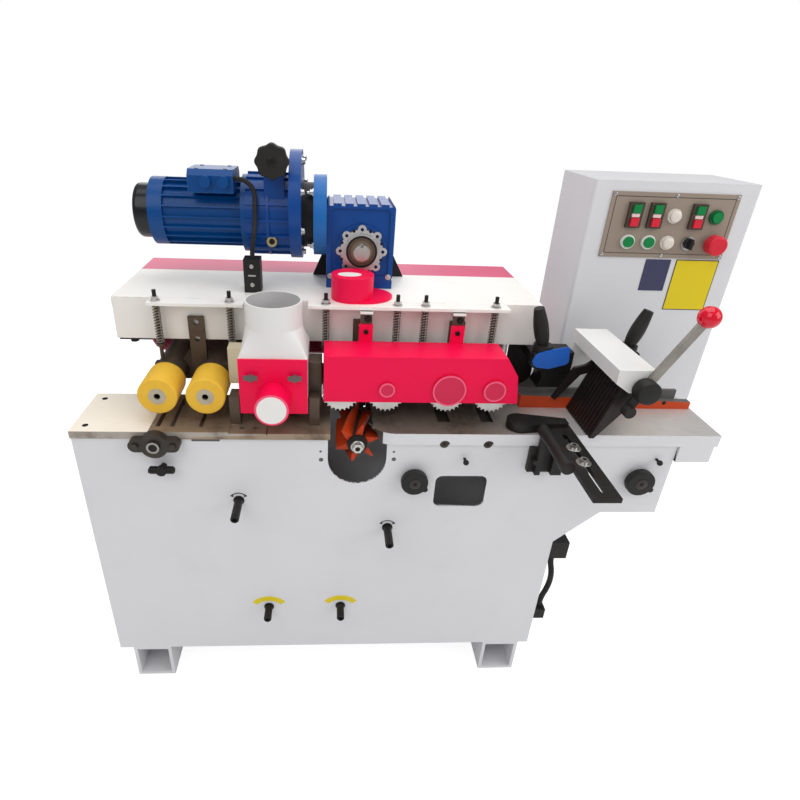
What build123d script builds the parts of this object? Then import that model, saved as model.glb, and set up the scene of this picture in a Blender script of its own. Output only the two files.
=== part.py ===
from build123d import *
import os
from math import atan2, cos, degrees, pi, radians, sin, sqrt

os.makedirs("parts", exist_ok=True)

# A broom stick machine: timber enters at the right, is pressed on the table by toothed wheels, passes
# between a lower and an upper shaped cutter, and leaves at the left under two smooth rollers.
# Sizes are in millimetres. x runs from the left edge of the front panel, y from the front face of the
# panel towards the back, z from the floor. The origin of the model is the middle of the footprint.

# Fits and thicknesses
RUNNING_CLEARANCE = 0.05
SLIDE_CLEARANCE = 0.3
SHEET = 4.0
WALL = 5.0

# Base cabinet
FOOT_HEIGHT = 100.0
FOOT_WIDTH = 90.0
FOOT_WALL = 8.0
FOOT_LEFT_X = 76.0
FOOT_RIGHT_INSET = 69.0
BED_HEIGHT = 605.0
BED_DEPTH = 155.0
BED_END_MARGIN = 118.0
ARM_LENGTH = 215.0
ARM_HEIGHT = 175.5
ARM_SLOPE_RUN = 90.0
ARM_SLOPE_RISE = 85.0
REAR_BOX_DEPTH = 275.0
REAR_BOX_DROP = 165.0
THROAT_RADIUS = 60.0
THROAT_DROP = 30.0
WINDOW_SETBACK = 144.0
WINDOW_WIDTH = 110.0
WINDOW_HEIGHT = 79.5
WINDOW_DROP = 79.0
WINDOW_CORNER = 15.0
SHELF_WIDTH = 200.0
SHELF_THICK = 15.0
SHELF_DROP = 104.5
SHELF_DEPTH = 291.0

# Tables
TABLE_OVERHANG = 5.0
TABLE_THICK = 16.0
OUTFEED_PLATE_LENGTH = 150.0
OUTFEED_BED_LENGTH = 355.0
INSERT_LENGTH = 200.0
INSERT_STEP = 2.5
INSERT_SPLIT = 75.0
BED_SLOT_WIDTH = 9.0
BED_SLOT_X = (14.0, 42.0, 98.0)
BED_SLOT_MARGIN = 22.0
BED_HOLE_RADIUS = 6.0
BED_HOLE_INSET = 24.0
INFEED_SETBACK = 23.5
INFEED_OVERHANG = 82.0
INFEED_DEPTH = 195.0
INFEED_WEB_DEPTH = 26.5
INFEED_TOP_THICK = 10.0
INFEED_NOSE_RADIUS = 52.0
END_WEB_DROP = 64.4
END_WEB_GAP = 2.0
END_WEB_RIGHT_INSET = 7.0
NOTCH_RADIUS = 11.0
WEB_NOTCHES = (153.0, 243.0)
WEB_THICK = 10.0
TABLE_POCKET_LENGTH = 60.0
TABLE_POCKET_WIDTH = 26.0
TABLE_POCKET_DEPTH = 6.0

# Feed rollers and toothed wheels
WORK_GAP = 24.0
ROLLER_RADIUS = 38.0
ROLLER_FRONT = 25.0
ROLLER_LENGTH = 80.0
WHEEL_RADIUS = 36.5
WHEEL_FRONT = 45.0
WHEEL_WIDTH = 56.0
WHEEL_TEETH = 24
WHEEL_HUB_RADIUS = 20.0
WHEEL_HUB_LENGTH = 5.0
WHEEL_NUT_RADIUS = 10.0
WHEEL_NUT_THICK = 5.0
ROLLER_EDGE = 2.0
ROLLER_HOLE_RADIUS = 6.0
ROLLER_HOLE_DEPTH = 16.0
ROLLER_RECESS = 3.0
TOOTH_DEPTH = 4.0
SHAFT_RADIUS = 12.0
HUB_RADIUS = 13.0
QUILL_RADIUS = 33.0
QUILL_FRONT = 107.0
QUILL_LENGTH = 225.0
SPROCKET_RADIUS = 26.0
SPROCKET_THICK = 8.0
SPROCKET_SETBACK = 24.0
SHAFT_END = 6.0
AXLE_PITCH = 92.0
ROLLER_AXLE_OFFSET = 225.2
WHEEL_AXLE_OFFSETS = (-35.9, 180.8)
BRIDGE_SETBACK = 48.0
BRIDGE_HEIGHT = 46.0

# Press beam and its columns
BEAM_LEFT_MARGIN = 103.3
BEAM_RIGHT_MARGIN = 112.2
BEAM_FRONT = 150.0
BEAM_DEPTH = 210.0
BEAM_HEIGHT = 87.5
BEAM_RISE = 70.5
BEAM_WALL = 8.0
FLANGE_INSET = 77.5
FLANGE_REACH = 34.0
FLANGE_THICK = 6.0
FLANGE_NOTCH_CLEARANCE = 9.0
UNDER_PLATE_THICK = 8.0
UNDER_PLATE_LENGTH = 66.0
UNDER_PLATE_INSET = 12.0
UNDER_BOLT_RADIUS = 9.0
UNDER_BOLT_HEIGHT = 12.0
COLUMN_RADIUS = 30.0
COLUMN_CUTTER_OFFSET = 52.0
COLUMN_END_INSET = 43.5
COLUMN_Y = 290.0
COLUMN_SLEEVE = 10.0
COLUMN_TOP_GAP = 12.0
COLUMN_FLANGE_RADIUS = 55.0
COLUMN_FLANGE_THICK = 14.0
REAR_COVER_DEPTH = 103.0
REAR_COVER_DROP = 205.0
REAR_COVER_CORNER = 40.0

# Spring bolts and guide straps
BOLT_Y = 132.0
BOLT_SPAN = 145.0
BOLT_OFFSETS = (11.8, 31.1, 45.8)
STUD_RADIUS = 4.0
STUD_ABOVE_FLANGE = 22.0
SPRING_RADIUS = 6.9
WIRE_RADIUS = 1.1
SPRING_TURNS = 10
SPRING_LENGTH = 84.0
COLLAR_RADIUS = 9.0
COLLAR_THICK = 5.0
NUT_RADIUS = 7.5
NUT_HEIGHT = 7.0
WASHER_RADIUS = 10.0
WASHER_THICK = 2.0
LUG_WIDTH = 28.0
LUG_DEPTH = 26.0
LUG_HEIGHT = 42.0
STRAP_WIDTH = 32.0
STRAP_THICK = 8.0
STRAP_TOP_DROP = 36.0
STRAP_HOLE_RADIUS = 6.0
STRAP_HOLE_PITCH = 36.0

# Cutters
CUTTER_BED_GAP = 10.5
LOWER_CUTTER_RADIUS = 45.0
LOWER_CUTTER_SINK = 35.0
UPPER_CUTTER_SETBACK = 111.0
UPPER_CUTTER_RADIUS = 50.0
LOWER_CUTTER_FRONT = 12.0
UPPER_CUTTER_RISE = 64.0
UPPER_CUTTER_FRONT = 40.0
CUTTER_BACK = 124.0
CUTTER_KNIVES = 6
KNIFE_WIDTH = 9.0
KNIFE_HEIGHT = 12.0
KNIFE_TWIST = 34.0
CUTTER_NUT_RADIUS = 17.0
CUTTER_NUT_THICK = 10.0
CUTTER_SHAFT_RADIUS = 12.0
CUTTER_PULLEY_RADIUS = 22.0
CUTTER_PULLEY_WIDTH = 30.0
CUTTER_HOUSING_RADIUS = 22.0
CUTTER_NOSE = 22.0
CUTTER_TABLE_GAP = 2.0
PEDESTAL_WIDTH = 96.0
PEDESTAL_DEPTH = 50.0
PEDESTAL_GAP = 8.0

# Dust hood
PIPE_RADIUS = 55.0
PIPE_HEIGHT = 48.0
PIPE_Y = 79.5
HOOD_WIDTH = 132.0
HOOD_FRONT = 25.0
HOOD_DEPTH = 117.0
HOOD_FUNNEL_HEIGHT = 51.0
HOOD_SIDE_HEIGHT = 116.0
HOOD_FOOT_GAP = 29.0
HOOD_STAY_WIDTH = 20.0
HOOD_STAY_THICK = 5.0
HOOD_STAY_RISE = 14.0
HOOD_BLOCK_FRONT = 75.0
WING_BOLT_RADIUS = 6.0
WING_BOLT_REACH = 12.0
WING_WIDTH = 26.0
WING_THICK = 5.0
NOSE_RADIUS = 33.5
NOSE_LENGTH = 50.0
NOSE_DISC_RADIUS = 28.0
NOSE_DISC_THICK = 3.0
WING_BOLT_SPACING = 84.0
WING_BOLT_DROP = 36.0
HOOD_BLOCK_LENGTH = 27.0
HOOD_BLOCK_HEIGHT = 77.0
HOOD_BLOCK_DEPTH = 30.0
CHIP_SHOE_THICK = 20.0
CHIP_SHOE_HEIGHT = 62.0
CHIP_SHOE_DEPTH = 38.0
CHIP_SHOE_FRONT = 30.0
CHIP_SHOE_GAP = 3.0

# Wheel cover
COVER_LEFT_OFFSET = 69.5
COVER_TOP_LENGTH = 361.0
COVER_LENGTH = 394.0
COVER_FRONT = 35.0
COVER_TOP_RISE = 87.0
COVER_FRONT_HEIGHT = 98.0
COVER_SLOPE_RISE = 61.0
COVER_SLOPE_RUN = 25.5
COVER_TAB_WIDTH = 28.0
COVER_TAB_HEIGHT = 38.0
COVER_TABS = (84.0, 272.0)
HANGER_WIDTH = 24.0
HANGER_THICK = 4.0
HANGER_DROP = 55.0
BULGE_DEPTH = 5.0
BULGE_RADII = (15.0, 33.0, 22.0)

# Drive on the beam
MOTOR_Y = 305.0
MOTOR_AXIS_RISE = 141.0
MOTOR_RADIUS = 68.0
MOTOR_INSET = 32.0
FAN_END_LENGTH = 33.0
FAN_END_RADIUS = 55.0
FAN_EDGE = 10.0
FAN_SLOTS = 18
FAN_SLOT_LENGTH = 26.0
FAN_SLOT_WIDTH = 4.0
FAN_SLOT_DEPTH = 5.0
COWL_GAP = 2.0
COWL_LENGTH = 29.0
MOTOR_BODY_LENGTH = 157.5
MOTOR_FINS = 20
FIN_HEIGHT = 7.0
FIN_THICK = 3.0
TERMINAL_WIDTH = 88.0
TERMINAL_DEPTH = 96.0
TERMINAL_HEIGHT = 43.0
TERMINAL_RISE = 50.0
TERMINAL_CHAMFER = 11.0
TERMINAL_OFFSET = 60.5
PLUG_RADIUS = 11.0
PLUG_SPACING = 35.0
VARIATOR_GAP = 10.0
VARIATOR_LENGTH = 89.0
VARIATOR_RADIUS = 80.0
VARIATOR_RIBS = 16
VARIATOR_RIB_HEIGHT = 4.0
VARIATOR_RIB_THICK = 5.0
VARIATOR_RING_LENGTH = 6.0
VARIATOR_FLANGE_LENGTH = 24.0
VARIATOR_FLANGE_RADIUS = 109.0
VARIATOR_FLANGE_LIFT = 20.0
MOTOR_FLANGE_RADIUS = 78.0
STAR_KNOB_SETBACK = 59.0
STAR_KNOB_RISE = 112.5
STAR_KNOB_RADIUS = 33.0
STAR_KNOB_LOBES = 8
STAR_LOBE_RADIUS = 12.0
STAR_KNOB_LENGTH = 26.0
STAR_STEM_RADIUS = 8.0
STAR_STEM_LENGTH = 10.0
STAR_BOSS_WIDTH = 40.0
STAR_BOSS_REACH = 69.0
ADAPTER_LENGTH = 24.0
ADAPTER_RADIUS = 66.0
DISC_LENGTH = 27.0
DISC_RADIUS = 82.0
GEARBOX_LENGTH = 143.0
GEARBOX_HEIGHT = 159.0
GEARBOX_DEPTH = 120.0
GEARBOX_CORNER = 10.0
GEARBOX_RIM = 10.0
GEARBOX_RECESS = 4.0
GEARBOX_SLOTS = 6
GEARBOX_SLOT_WIDTH = 8.0
GEARBOX_SLOT_DEPTH = 5.0
OUTPUT_SETBACK = 74.0
OUTPUT_RISE = 82.0
OUTPUT_FLANGE_RADIUS = 54.0
OUTPUT_FLANGE_LOBES = 8
OUTPUT_FLANGE_THICK = 10.0
OUTPUT_RING_RADIUS = 36.0
OUTPUT_SHAFT_RADIUS = 17.0
OUTPUT_SHAFT_REACH = 12.0
OUTPUT_RING_THICK = 4.0
OUTPUT_LOBE_RADIUS = 9.0
OUTPUT_HOLE_RADIUS = 3.5
SHAFT_GUARD_SETBACK = 54.5
SHAFT_GUARD_RADIUS = 43.5
SHAFT_GUARD_HEIGHT = 50.0
SHAFT_GUARD_BASE_LENGTH = 128.0
SHAFT_GUARD_BASE_WIDTH = 110.0
GEARBOX_FOOT_HEIGHT = 17.0
SHAFT_GUARD_FRONT = 133.0
GUSSET_THICK = 10.0
GUSSET_HEIGHT = 71.0
GUSSET_MARGIN = 5.0
LEFT_GUSSET_REACH = 31.0
RIGHT_GUSSET_REACH = 37.0
CLIP_LENGTH = 34.0
CLIP_DEPTH = 36.0
CLIP_SETBACK = 45.0
CLIP_LEAD = 5.0
CLIP_HEIGHT = 69.0
CABLE_RADIUS = 5.0

# Control cabinet on the rear shelf
CABINET_INSET = 180.5
CABINET_WIDTH = 363.0
CABINET_FRONT = 262.5
CABINET_DEPTH = 183.0
CABINET_HEIGHT = 588.0
CABINET_CORNER = 6.0
PLATE_INSET = 41.5
PLATE_WIDTH = 280.0
PLATE_HEIGHT = 136.0
PLATE_TOP_DROP = 21.0
PLATE_THICK = 3.0
SWITCH_WIDTH = 31.0
SWITCH_HEIGHT = 52.0
SWITCH_THICK = 8.0
SWITCH_BUTTON_SIZE = 17.0
BUTTON_TRAVEL = 3.0
BUTTON_REACH = 5.0
BEZEL_RADIUS = 15.0
BEZEL_THICK = 6.0
ROUND_BUTTON_RADIUS = 11.0
LAMP_RADIUS = 11.5
UPPER_ROW_DROP = 67.0
LOWER_ROW_DROP = 123.0
SWITCH_X = (97.0, 143.5, 236.5)
LAMP_X = 184.5
RESET_X = 278.0
FLUSH_X = (96.5, 142.5)
SELECTOR_X = 232.5
STOP_X = 285.5
STOP_RADIUS = 21.0
STOP_HEIGHT = 26.0
HINGE_LENGTH = 60.0
HINGE_RADIUS = 7.0
HINGE_DROP = 116.0

# Kickback guard and fence
GUARD_SETBACK = 121.0
GUARD_WIDTH = 72.0
GUARD_FRONT = -35.0
GUARD_DEPTH = 219.0
GUARD_TOP_RISE = 159.0
GUARD_SKIRT = 28.0
GUARD_LEG_THICK = 12.0
GUARD_FRONT_THICK = 8.0
FINGER_PIVOT_SETBACK = 53.0
FINGER_PIVOT_RISE = 124.0
FINGER_PIVOT_RADIUS = 8.0
FINGER_HUB_RADIUS = 24.0
FINGER_COUNT = 11
FINGER_PITCH = 12.0
FINGER_THICK = 9.0
FINGER_FRONT = -22.0
FINGER_TIP_REACH = 70.0
FINGER_TIP_GAP = 3.0
LEVER_THICK = 8.0
LEVER_WIDTH = 16.0
LEVER_REACH = 80.0
LEVER_RISE = 143.0
LEVER_BALL_RADIUS = 20.0
FENCE_SETBACK = 85.7
FENCE_LENGTH = 388.0
FENCE_FRONT = 111.0
FENCE_THICK = 16.0
FENCE_HEIGHT = 30.0
FENCE_END_HEIGHT = 17.0
ANGLE_HEIGHT = 39.0
ANGLE_THICK = 8.0
CASTING_SETBACK = 13.0
CASTING_WIDTH = 96.0
CASTING_HEIGHT = 134.0
CASTING_DEPTH = 50.0
GRIP_SETBACK = 31.0
GRIP_Y = 120.0
GRIP_NECK_RADIUS = 9.0
GRIP_RADIUS = 15.0
GRIP_TIP_RADIUS = 10.5
GRIP_BELLY = (0.3, 0.62)
ARM_DEPTH = 37.0
CASTING_HOLLOW = 42.0
CASTING_HOLLOW_RISE = 62.0
CASTING_HOLLOW_INSET = 8.0
GRIP_LENGTH = 88.0
GRIP_LEAN = 16.0
GRIP_WASHER_RADIUS = 20.0
GRIP_WASHER_THICK = 12.0
FENCE_POST_SETBACK = 234.0
FENCE_POST_WIDTH = 40.0
FENCE_POST_HEIGHT = 122.0
FENCE_POST_DEPTH = 40.0
GRIP_STEM_RADIUS = 6.0
GRIP_STEM_DEPTH = 25.0

# Side pressure shoe and its bracket
SHOE_BAR_SETBACK = 52.0
SHOE_BAR_WIDTH = 50.0
SHOE_BAR_THICK = 9.0
SHOE_BAR_BACK = 32.0
SHOE_BAR_LENGTH = 257.0
SHOE_SLOT_WIDTH = 10.0
SHOE_SLOT_FRONT_MARGIN = 17.0
SHOE_SLOT_LENGTH = 190.0
SHOE_CLAMP_Y = (-69.0, -118.0)
SHOE_PADDLE_SETBACK = 97.0
SHOE_PADDLE_LENGTH = 117.0
SHOE_PADDLE_THICK = 20.0
SHOE_PADDLE_HEIGHT = 18.0
SHOE_HORN_RADIUS = 26.0
SHOE_HORN_SETBACK = 19.0
BRACKET_SETBACK = 57.0
BRACKET_WIDTH = 71.0
BRACKET_HEIGHT = 59.0
BRACKET_THICK = 12.0
BARREL_RADIUS = 11.0
BARREL_REACH = 120.0
CLAMP_HEAD_RADIUS = 8.0
CLAMP_HEAD_HEIGHT = 8.0
CLAMP_STUD_RADIUS = 4.0
LOCK_KNOB_RADIUS = 13.0
LOCK_KNOB_LENGTH = 26.0
PLUNGER_OFFSET = 39.0
PLUNGER_RISE = 13.0
PLUNGER_BARREL_RADIUS = 12.0
PLUNGER_BARREL_LENGTH = 112.0
PLUNGER_PIN_RADIUS = 4.0

# Spindles, knobs and flange bearing on the front panel
SPINDLE_RADIUS = 9.0
SPINDLE_DEPTH = 60.0
SPINDLE_HOUSING_WALL = 8.0
SPINDLE_SQUARE = 12.0
SPINDLE_SQUARE_LENGTH = 22.0
SPINDLE_COLLAR_RADIUS = 14.0
SPINDLE_COLLAR_THICK = 6.0
# Spindles: x, depth below the bed and reach. Knobs: x from the infeed table, depth and radius.
SPINDLE_PLACES = ((315.0, 153.0, 65.0), (633.0, 227.0, 60.0), (366.0, 468.0, 40.0), (535.0, 467.0, 40.0))
KNOB_PLACES = ((96.5, 94.0, 28.0), (578.0, 93.0, 30.0))
KNOB_THICK = 17.0
KNOB_STUD_RADIUS = 6.0
KNOB_STANDOFF = 7.0
KNOB_EDGE = 3.0
KNOB_NUB_RADIUS = 6.0
STUD_PLACES = ((199.0, 46.0), (609.0, 45.0))
BALL_STUD_RADIUS = 6.0
BALL_STUD_REACH = 14.0
BEARING_X = 164.0
BEARING_DROP = 6.0
BEARING_RADIUS = 27.0
BEARING_BOLT_SPAN = 72.0
BEARING_THICK = 18.0
BEARING_SHAFT_RADIUS = 12.0
T_HANDLE_X = 171.0
T_HANDLE_DROP = 65.0
T_HANDLE_WIDTH = 50.0
T_HANDLE_REACH = 25.0
T_HANDLE_SCREW_RADIUS = 6.0
T_HANDLE_BAR_RADIUS = 5.0

# Conduit at the right end of the base
CONDUIT_RADIUS = 7.0
GLAND_LENGTH = 54.0
GLAND_HEIGHT = 48.0
GLAND_DEPTH = 36.0
LOWER_GLAND_LENGTH = 38.0
LOWER_GLAND_HEIGHT = 30.0

# Routes of the two leads. The conduit's points are from the foot of the arm's slope and from the panel,
# the cable's from the left end of the motor's axis.
CONDUIT_ROUTE = (
    (27.0, 40.0, -72.0),
    (27.0, 40.0, -96.0),
    (37.0, 40.0, -128.0),
    (40.0, 40.0, -160.0),
    (36.0, 40.0, -191.0),
    (27.0, 40.0, -220.0),
    (27.0, 40.0, -244.0),
)
CABLE_ROUTE = (
    (212.5, -72.0, 77.0),
    (228.5, -72.0, 77.0),
    (244.1, -74.0, 68.0),
    (253.1, -78.0, 52.0),
    (253.5, -89.0, 27.0),
    (252.5, -92.0, -1.0),
    (248.5, -92.0, -29.0),
    (244.5, -92.0, -53.0),
    (243.5, -92.0, -72.0),
)

# Levels and places that follow from the sizes above
BED_TOP = FOOT_HEIGHT + BED_HEIGHT
TABLE_TOP = BED_TOP + TABLE_THICK
TABLE_FRONT = -TABLE_OVERHANG
INFEED_SEAT = TABLE_TOP - INFEED_WEB_DEPTH
INFEED_BACK = TABLE_FRONT + INFEED_DEPTH
ARM_BOTTOM = INFEED_SEAT - ARM_HEIGHT
REAR_BOX_BACK = BED_DEPTH + REAR_BOX_DEPTH
REAR_BOX_TOP = BED_TOP - REAR_BOX_DROP
SHELF_TOP = INFEED_SEAT - SHELF_DROP
LOWER_CUTTER_AXIS = TABLE_TOP - LOWER_CUTTER_SINK
UPPER_CUTTER_AXIS = TABLE_TOP + UPPER_CUTTER_RISE
THROAT_CENTRE = LOWER_CUTTER_AXIS - THROAT_DROP
ROLLER_AXIS = TABLE_TOP + WORK_GAP + ROLLER_RADIUS
WHEEL_AXIS = TABLE_TOP + WORK_GAP + WHEEL_RADIUS
BEAM_UNDERSIDE = ROLLER_AXIS + BEAM_RISE
BEAM_TOP = BEAM_UNDERSIDE + BEAM_HEIGHT
BEAM_BACK = BEAM_FRONT + BEAM_DEPTH
REAR_COVER_BACK = BEAM_BACK + REAR_COVER_DEPTH
SHOE_BAR_FRONT = SHOE_BAR_BACK - SHOE_BAR_LENGTH
WORK_LINE = FENCE_FRONT - WORK_GAP / 2
WORK_AXIS = TABLE_TOP + WORK_GAP / 2
BEARING_Z = BED_TOP - BEARING_DROP
T_HANDLE_Z = BED_TOP - T_HANDLE_DROP

# Places along the machine, from the outfeed end to the infeed end
BED_LEFT = OUTFEED_PLATE_LENGTH
BED_RIGHT = BED_LEFT + OUTFEED_BED_LENGTH
UPPER_CUTTER_X = BED_RIGHT - UPPER_CUTTER_SETBACK
LOWER_CUTTER_X = BED_RIGHT + CUTTER_BED_GAP + LOWER_CUTTER_RADIUS
YOKE_AXLE_X = (
    UPPER_CUTTER_X - ROLLER_AXLE_OFFSET,
    LOWER_CUTTER_X + WHEEL_AXLE_OFFSETS[0],
    LOWER_CUTTER_X + WHEEL_AXLE_OFFSETS[1],
)
LAST_AXLE_X = YOKE_AXLE_X[2] + AXLE_PITCH
BOLT_LEFT_X = tuple(axle_x - offset_x for axle_x, offset_x in zip(YOKE_AXLE_X, BOLT_OFFSETS))
BEAM_LEFT = YOKE_AXLE_X[0] - BEAM_LEFT_MARGIN
BEAM_RIGHT = LAST_AXLE_X + BEAM_RIGHT_MARGIN
COLUMN_LEFT_X = UPPER_CUTTER_X - COLUMN_CUTTER_OFFSET
COLUMN_RIGHT_X = BEAM_RIGHT - COLUMN_END_INSET
COVER_LEFT = LOWER_CUTTER_X - COVER_LEFT_OFFSET
COVER_TAB_X = tuple(COVER_LEFT + tab for tab in COVER_TABS)
MOTOR_LEFT = BEAM_LEFT + MOTOR_INSET
FENCE_LEFT = LAST_AXLE_X + FENCE_SETBACK
CASTING_LEFT = FENCE_LEFT + CASTING_SETBACK
GRIP_X = FENCE_LEFT + GRIP_SETBACK
FENCE_POST_X = FENCE_LEFT + FENCE_POST_SETBACK
SHOE_BAR_X = FENCE_LEFT + SHOE_BAR_SETBACK
SHOE_PADDLE_LEFT = SHOE_BAR_X - SHOE_PADDLE_SETBACK
BRACKET_LEFT = SHOE_BAR_X - BRACKET_SETBACK
GUARD_LEFT = FENCE_LEFT + GUARD_SETBACK
FINGER_PIVOT_X = GUARD_LEFT + FINGER_PIVOT_SETBACK
BED_TOP_LENGTH = GUARD_LEFT + GUARD_WIDTH + BED_END_MARGIN
BED_FOOT_LENGTH = BED_TOP_LENGTH - ARM_LENGTH
FOOT_RIGHT_X = BED_FOOT_LENGTH - FOOT_RIGHT_INSET
INFEED_LEFT = LOWER_CUTTER_X + INFEED_SETBACK
INFEED_RIGHT = BED_TOP_LENGTH + INFEED_OVERHANG
WINDOW_LEFT = INFEED_LEFT + WINDOW_SETBACK
CABINET_LEFT = BED_TOP_LENGTH - CABINET_INSET
SPINDLES = [(x, BED_TOP - drop, reach) for x, drop, reach in SPINDLE_PLACES]
KNOBS = [(INFEED_LEFT + x, BED_TOP - drop, radius) for x, drop, radius in KNOB_PLACES]
BALL_STUDS = [(INFEED_LEFT + x, BED_TOP - drop) for x, drop in STUD_PLACES]
SLOPE_FOOT = ARM_BOTTOM - ARM_SLOPE_RISE
CONDUIT_POINTS = [(BED_FOOT_LENGTH + x, y, SLOPE_FOOT + z) for x, y, z in CONDUIT_ROUTE]
CENTRE_X = (CABINET_LEFT + CABINET_WIDTH) / 2
CENTRE_Y = (SHOE_BAR_FRONT + REAR_COVER_BACK) / 2


def facing_front(y):
    """Plane at depth y, seen from the front: its sketch coordinates are x and z."""
    return Plane(origin=(-CENTRE_X, y - CENTRE_Y, 0), x_dir=(1, 0, 0), z_dir=(0, -1, 0))


def facing_up(z):
    """Plane at height z, seen from above: its sketch coordinates are x and y."""
    return Plane(origin=(-CENTRE_X, -CENTRE_Y, z))


def facing_right(x):
    """Plane across the machine at x: its sketch coordinates are y and z."""
    return Plane(origin=(x - CENTRE_X, -CENTRE_Y, 0), x_dir=(0, 1, 0), z_dir=(1, 0, 0))


def place(x, y, z):
    """Point of the machine in the frame of the model."""
    return (x - CENTRE_X, y - CENTRE_Y, z)


def block(x, y, z, mode=Mode.ADD):
    """Box between the two ends given along each axis."""
    with Locations(place(sum(x) / 2, sum(y) / 2, sum(z) / 2)):
        Box(x[1] - x[0], y[1] - y[0], z[1] - z[0], mode=mode)


def rod_y(x, z, radius, front, back, mode=Mode.ADD):
    """Round bar that runs from front to back."""
    with BuildSketch(facing_front(front)) as section:
        with Locations((x, z)):
            Circle(radius)
    extrude(section.sketch, amount=front - back, mode=mode)


def rod_z(x, y, radius, low, high, mode=Mode.ADD):
    """Upright round bar."""
    with BuildSketch(facing_up(low)) as section:
        with Locations((x, y)):
            Circle(radius)
    extrude(section.sketch, amount=high - low, mode=mode)


def rod_x(y, z, radius, left, right, mode=Mode.ADD):
    """Round bar that runs from left to right."""
    with BuildSketch(facing_right(left)) as section:
        with Locations((y, z)):
            Circle(radius)
    extrude(section.sketch, amount=right - left, mode=mode)


def plate(plane, points, thickness, mode=Mode.ADD):
    """Flat plate with straight edges, as thick as the distance along the normal of its plane."""
    with BuildSketch(plane) as section:
        with BuildLine():
            Polyline(*points, close=True)
        make_face()
    extrude(section.sketch, amount=thickness, mode=mode)


def save(builder, name):
    """Label a finished piece and write it as its own file."""
    builder.part.label = name
    export_step(builder.part, f"parts/{name}.step")


# Base cabinet: a folded shell with an overhanging arm, a lower box behind it and two tubular feet
BED_OUTLINE = (
    (0, FOOT_HEIGHT),
    (BED_FOOT_LENGTH, FOOT_HEIGHT),
    (BED_FOOT_LENGTH, SLOPE_FOOT),
    (BED_FOOT_LENGTH + ARM_SLOPE_RUN, ARM_BOTTOM),
    (BED_TOP_LENGTH, ARM_BOTTOM),
    (BED_TOP_LENGTH, INFEED_SEAT),
    (LOWER_CUTTER_X, INFEED_SEAT),
    (LOWER_CUTTER_X, BED_TOP),
    (0, BED_TOP),
)
SPINDLE_BORE = SPINDLE_RADIUS + RUNNING_CLEARANCE
STUD_BORE = KNOB_STUD_RADIUS + RUNNING_CLEARANCE
T_SCREW_BORE = T_HANDLE_SCREW_RADIUS + RUNNING_CLEARANCE
CUTTER_BORE = CUTTER_SHAFT_RADIUS + RUNNING_CLEARANCE
CUTTER_HOUSING_FRONT = CUTTER_BACK + SLIDE_CLEARANCE
SHELF_LEFT = BED_TOP_LENGTH - SHELF_WIDTH

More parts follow.
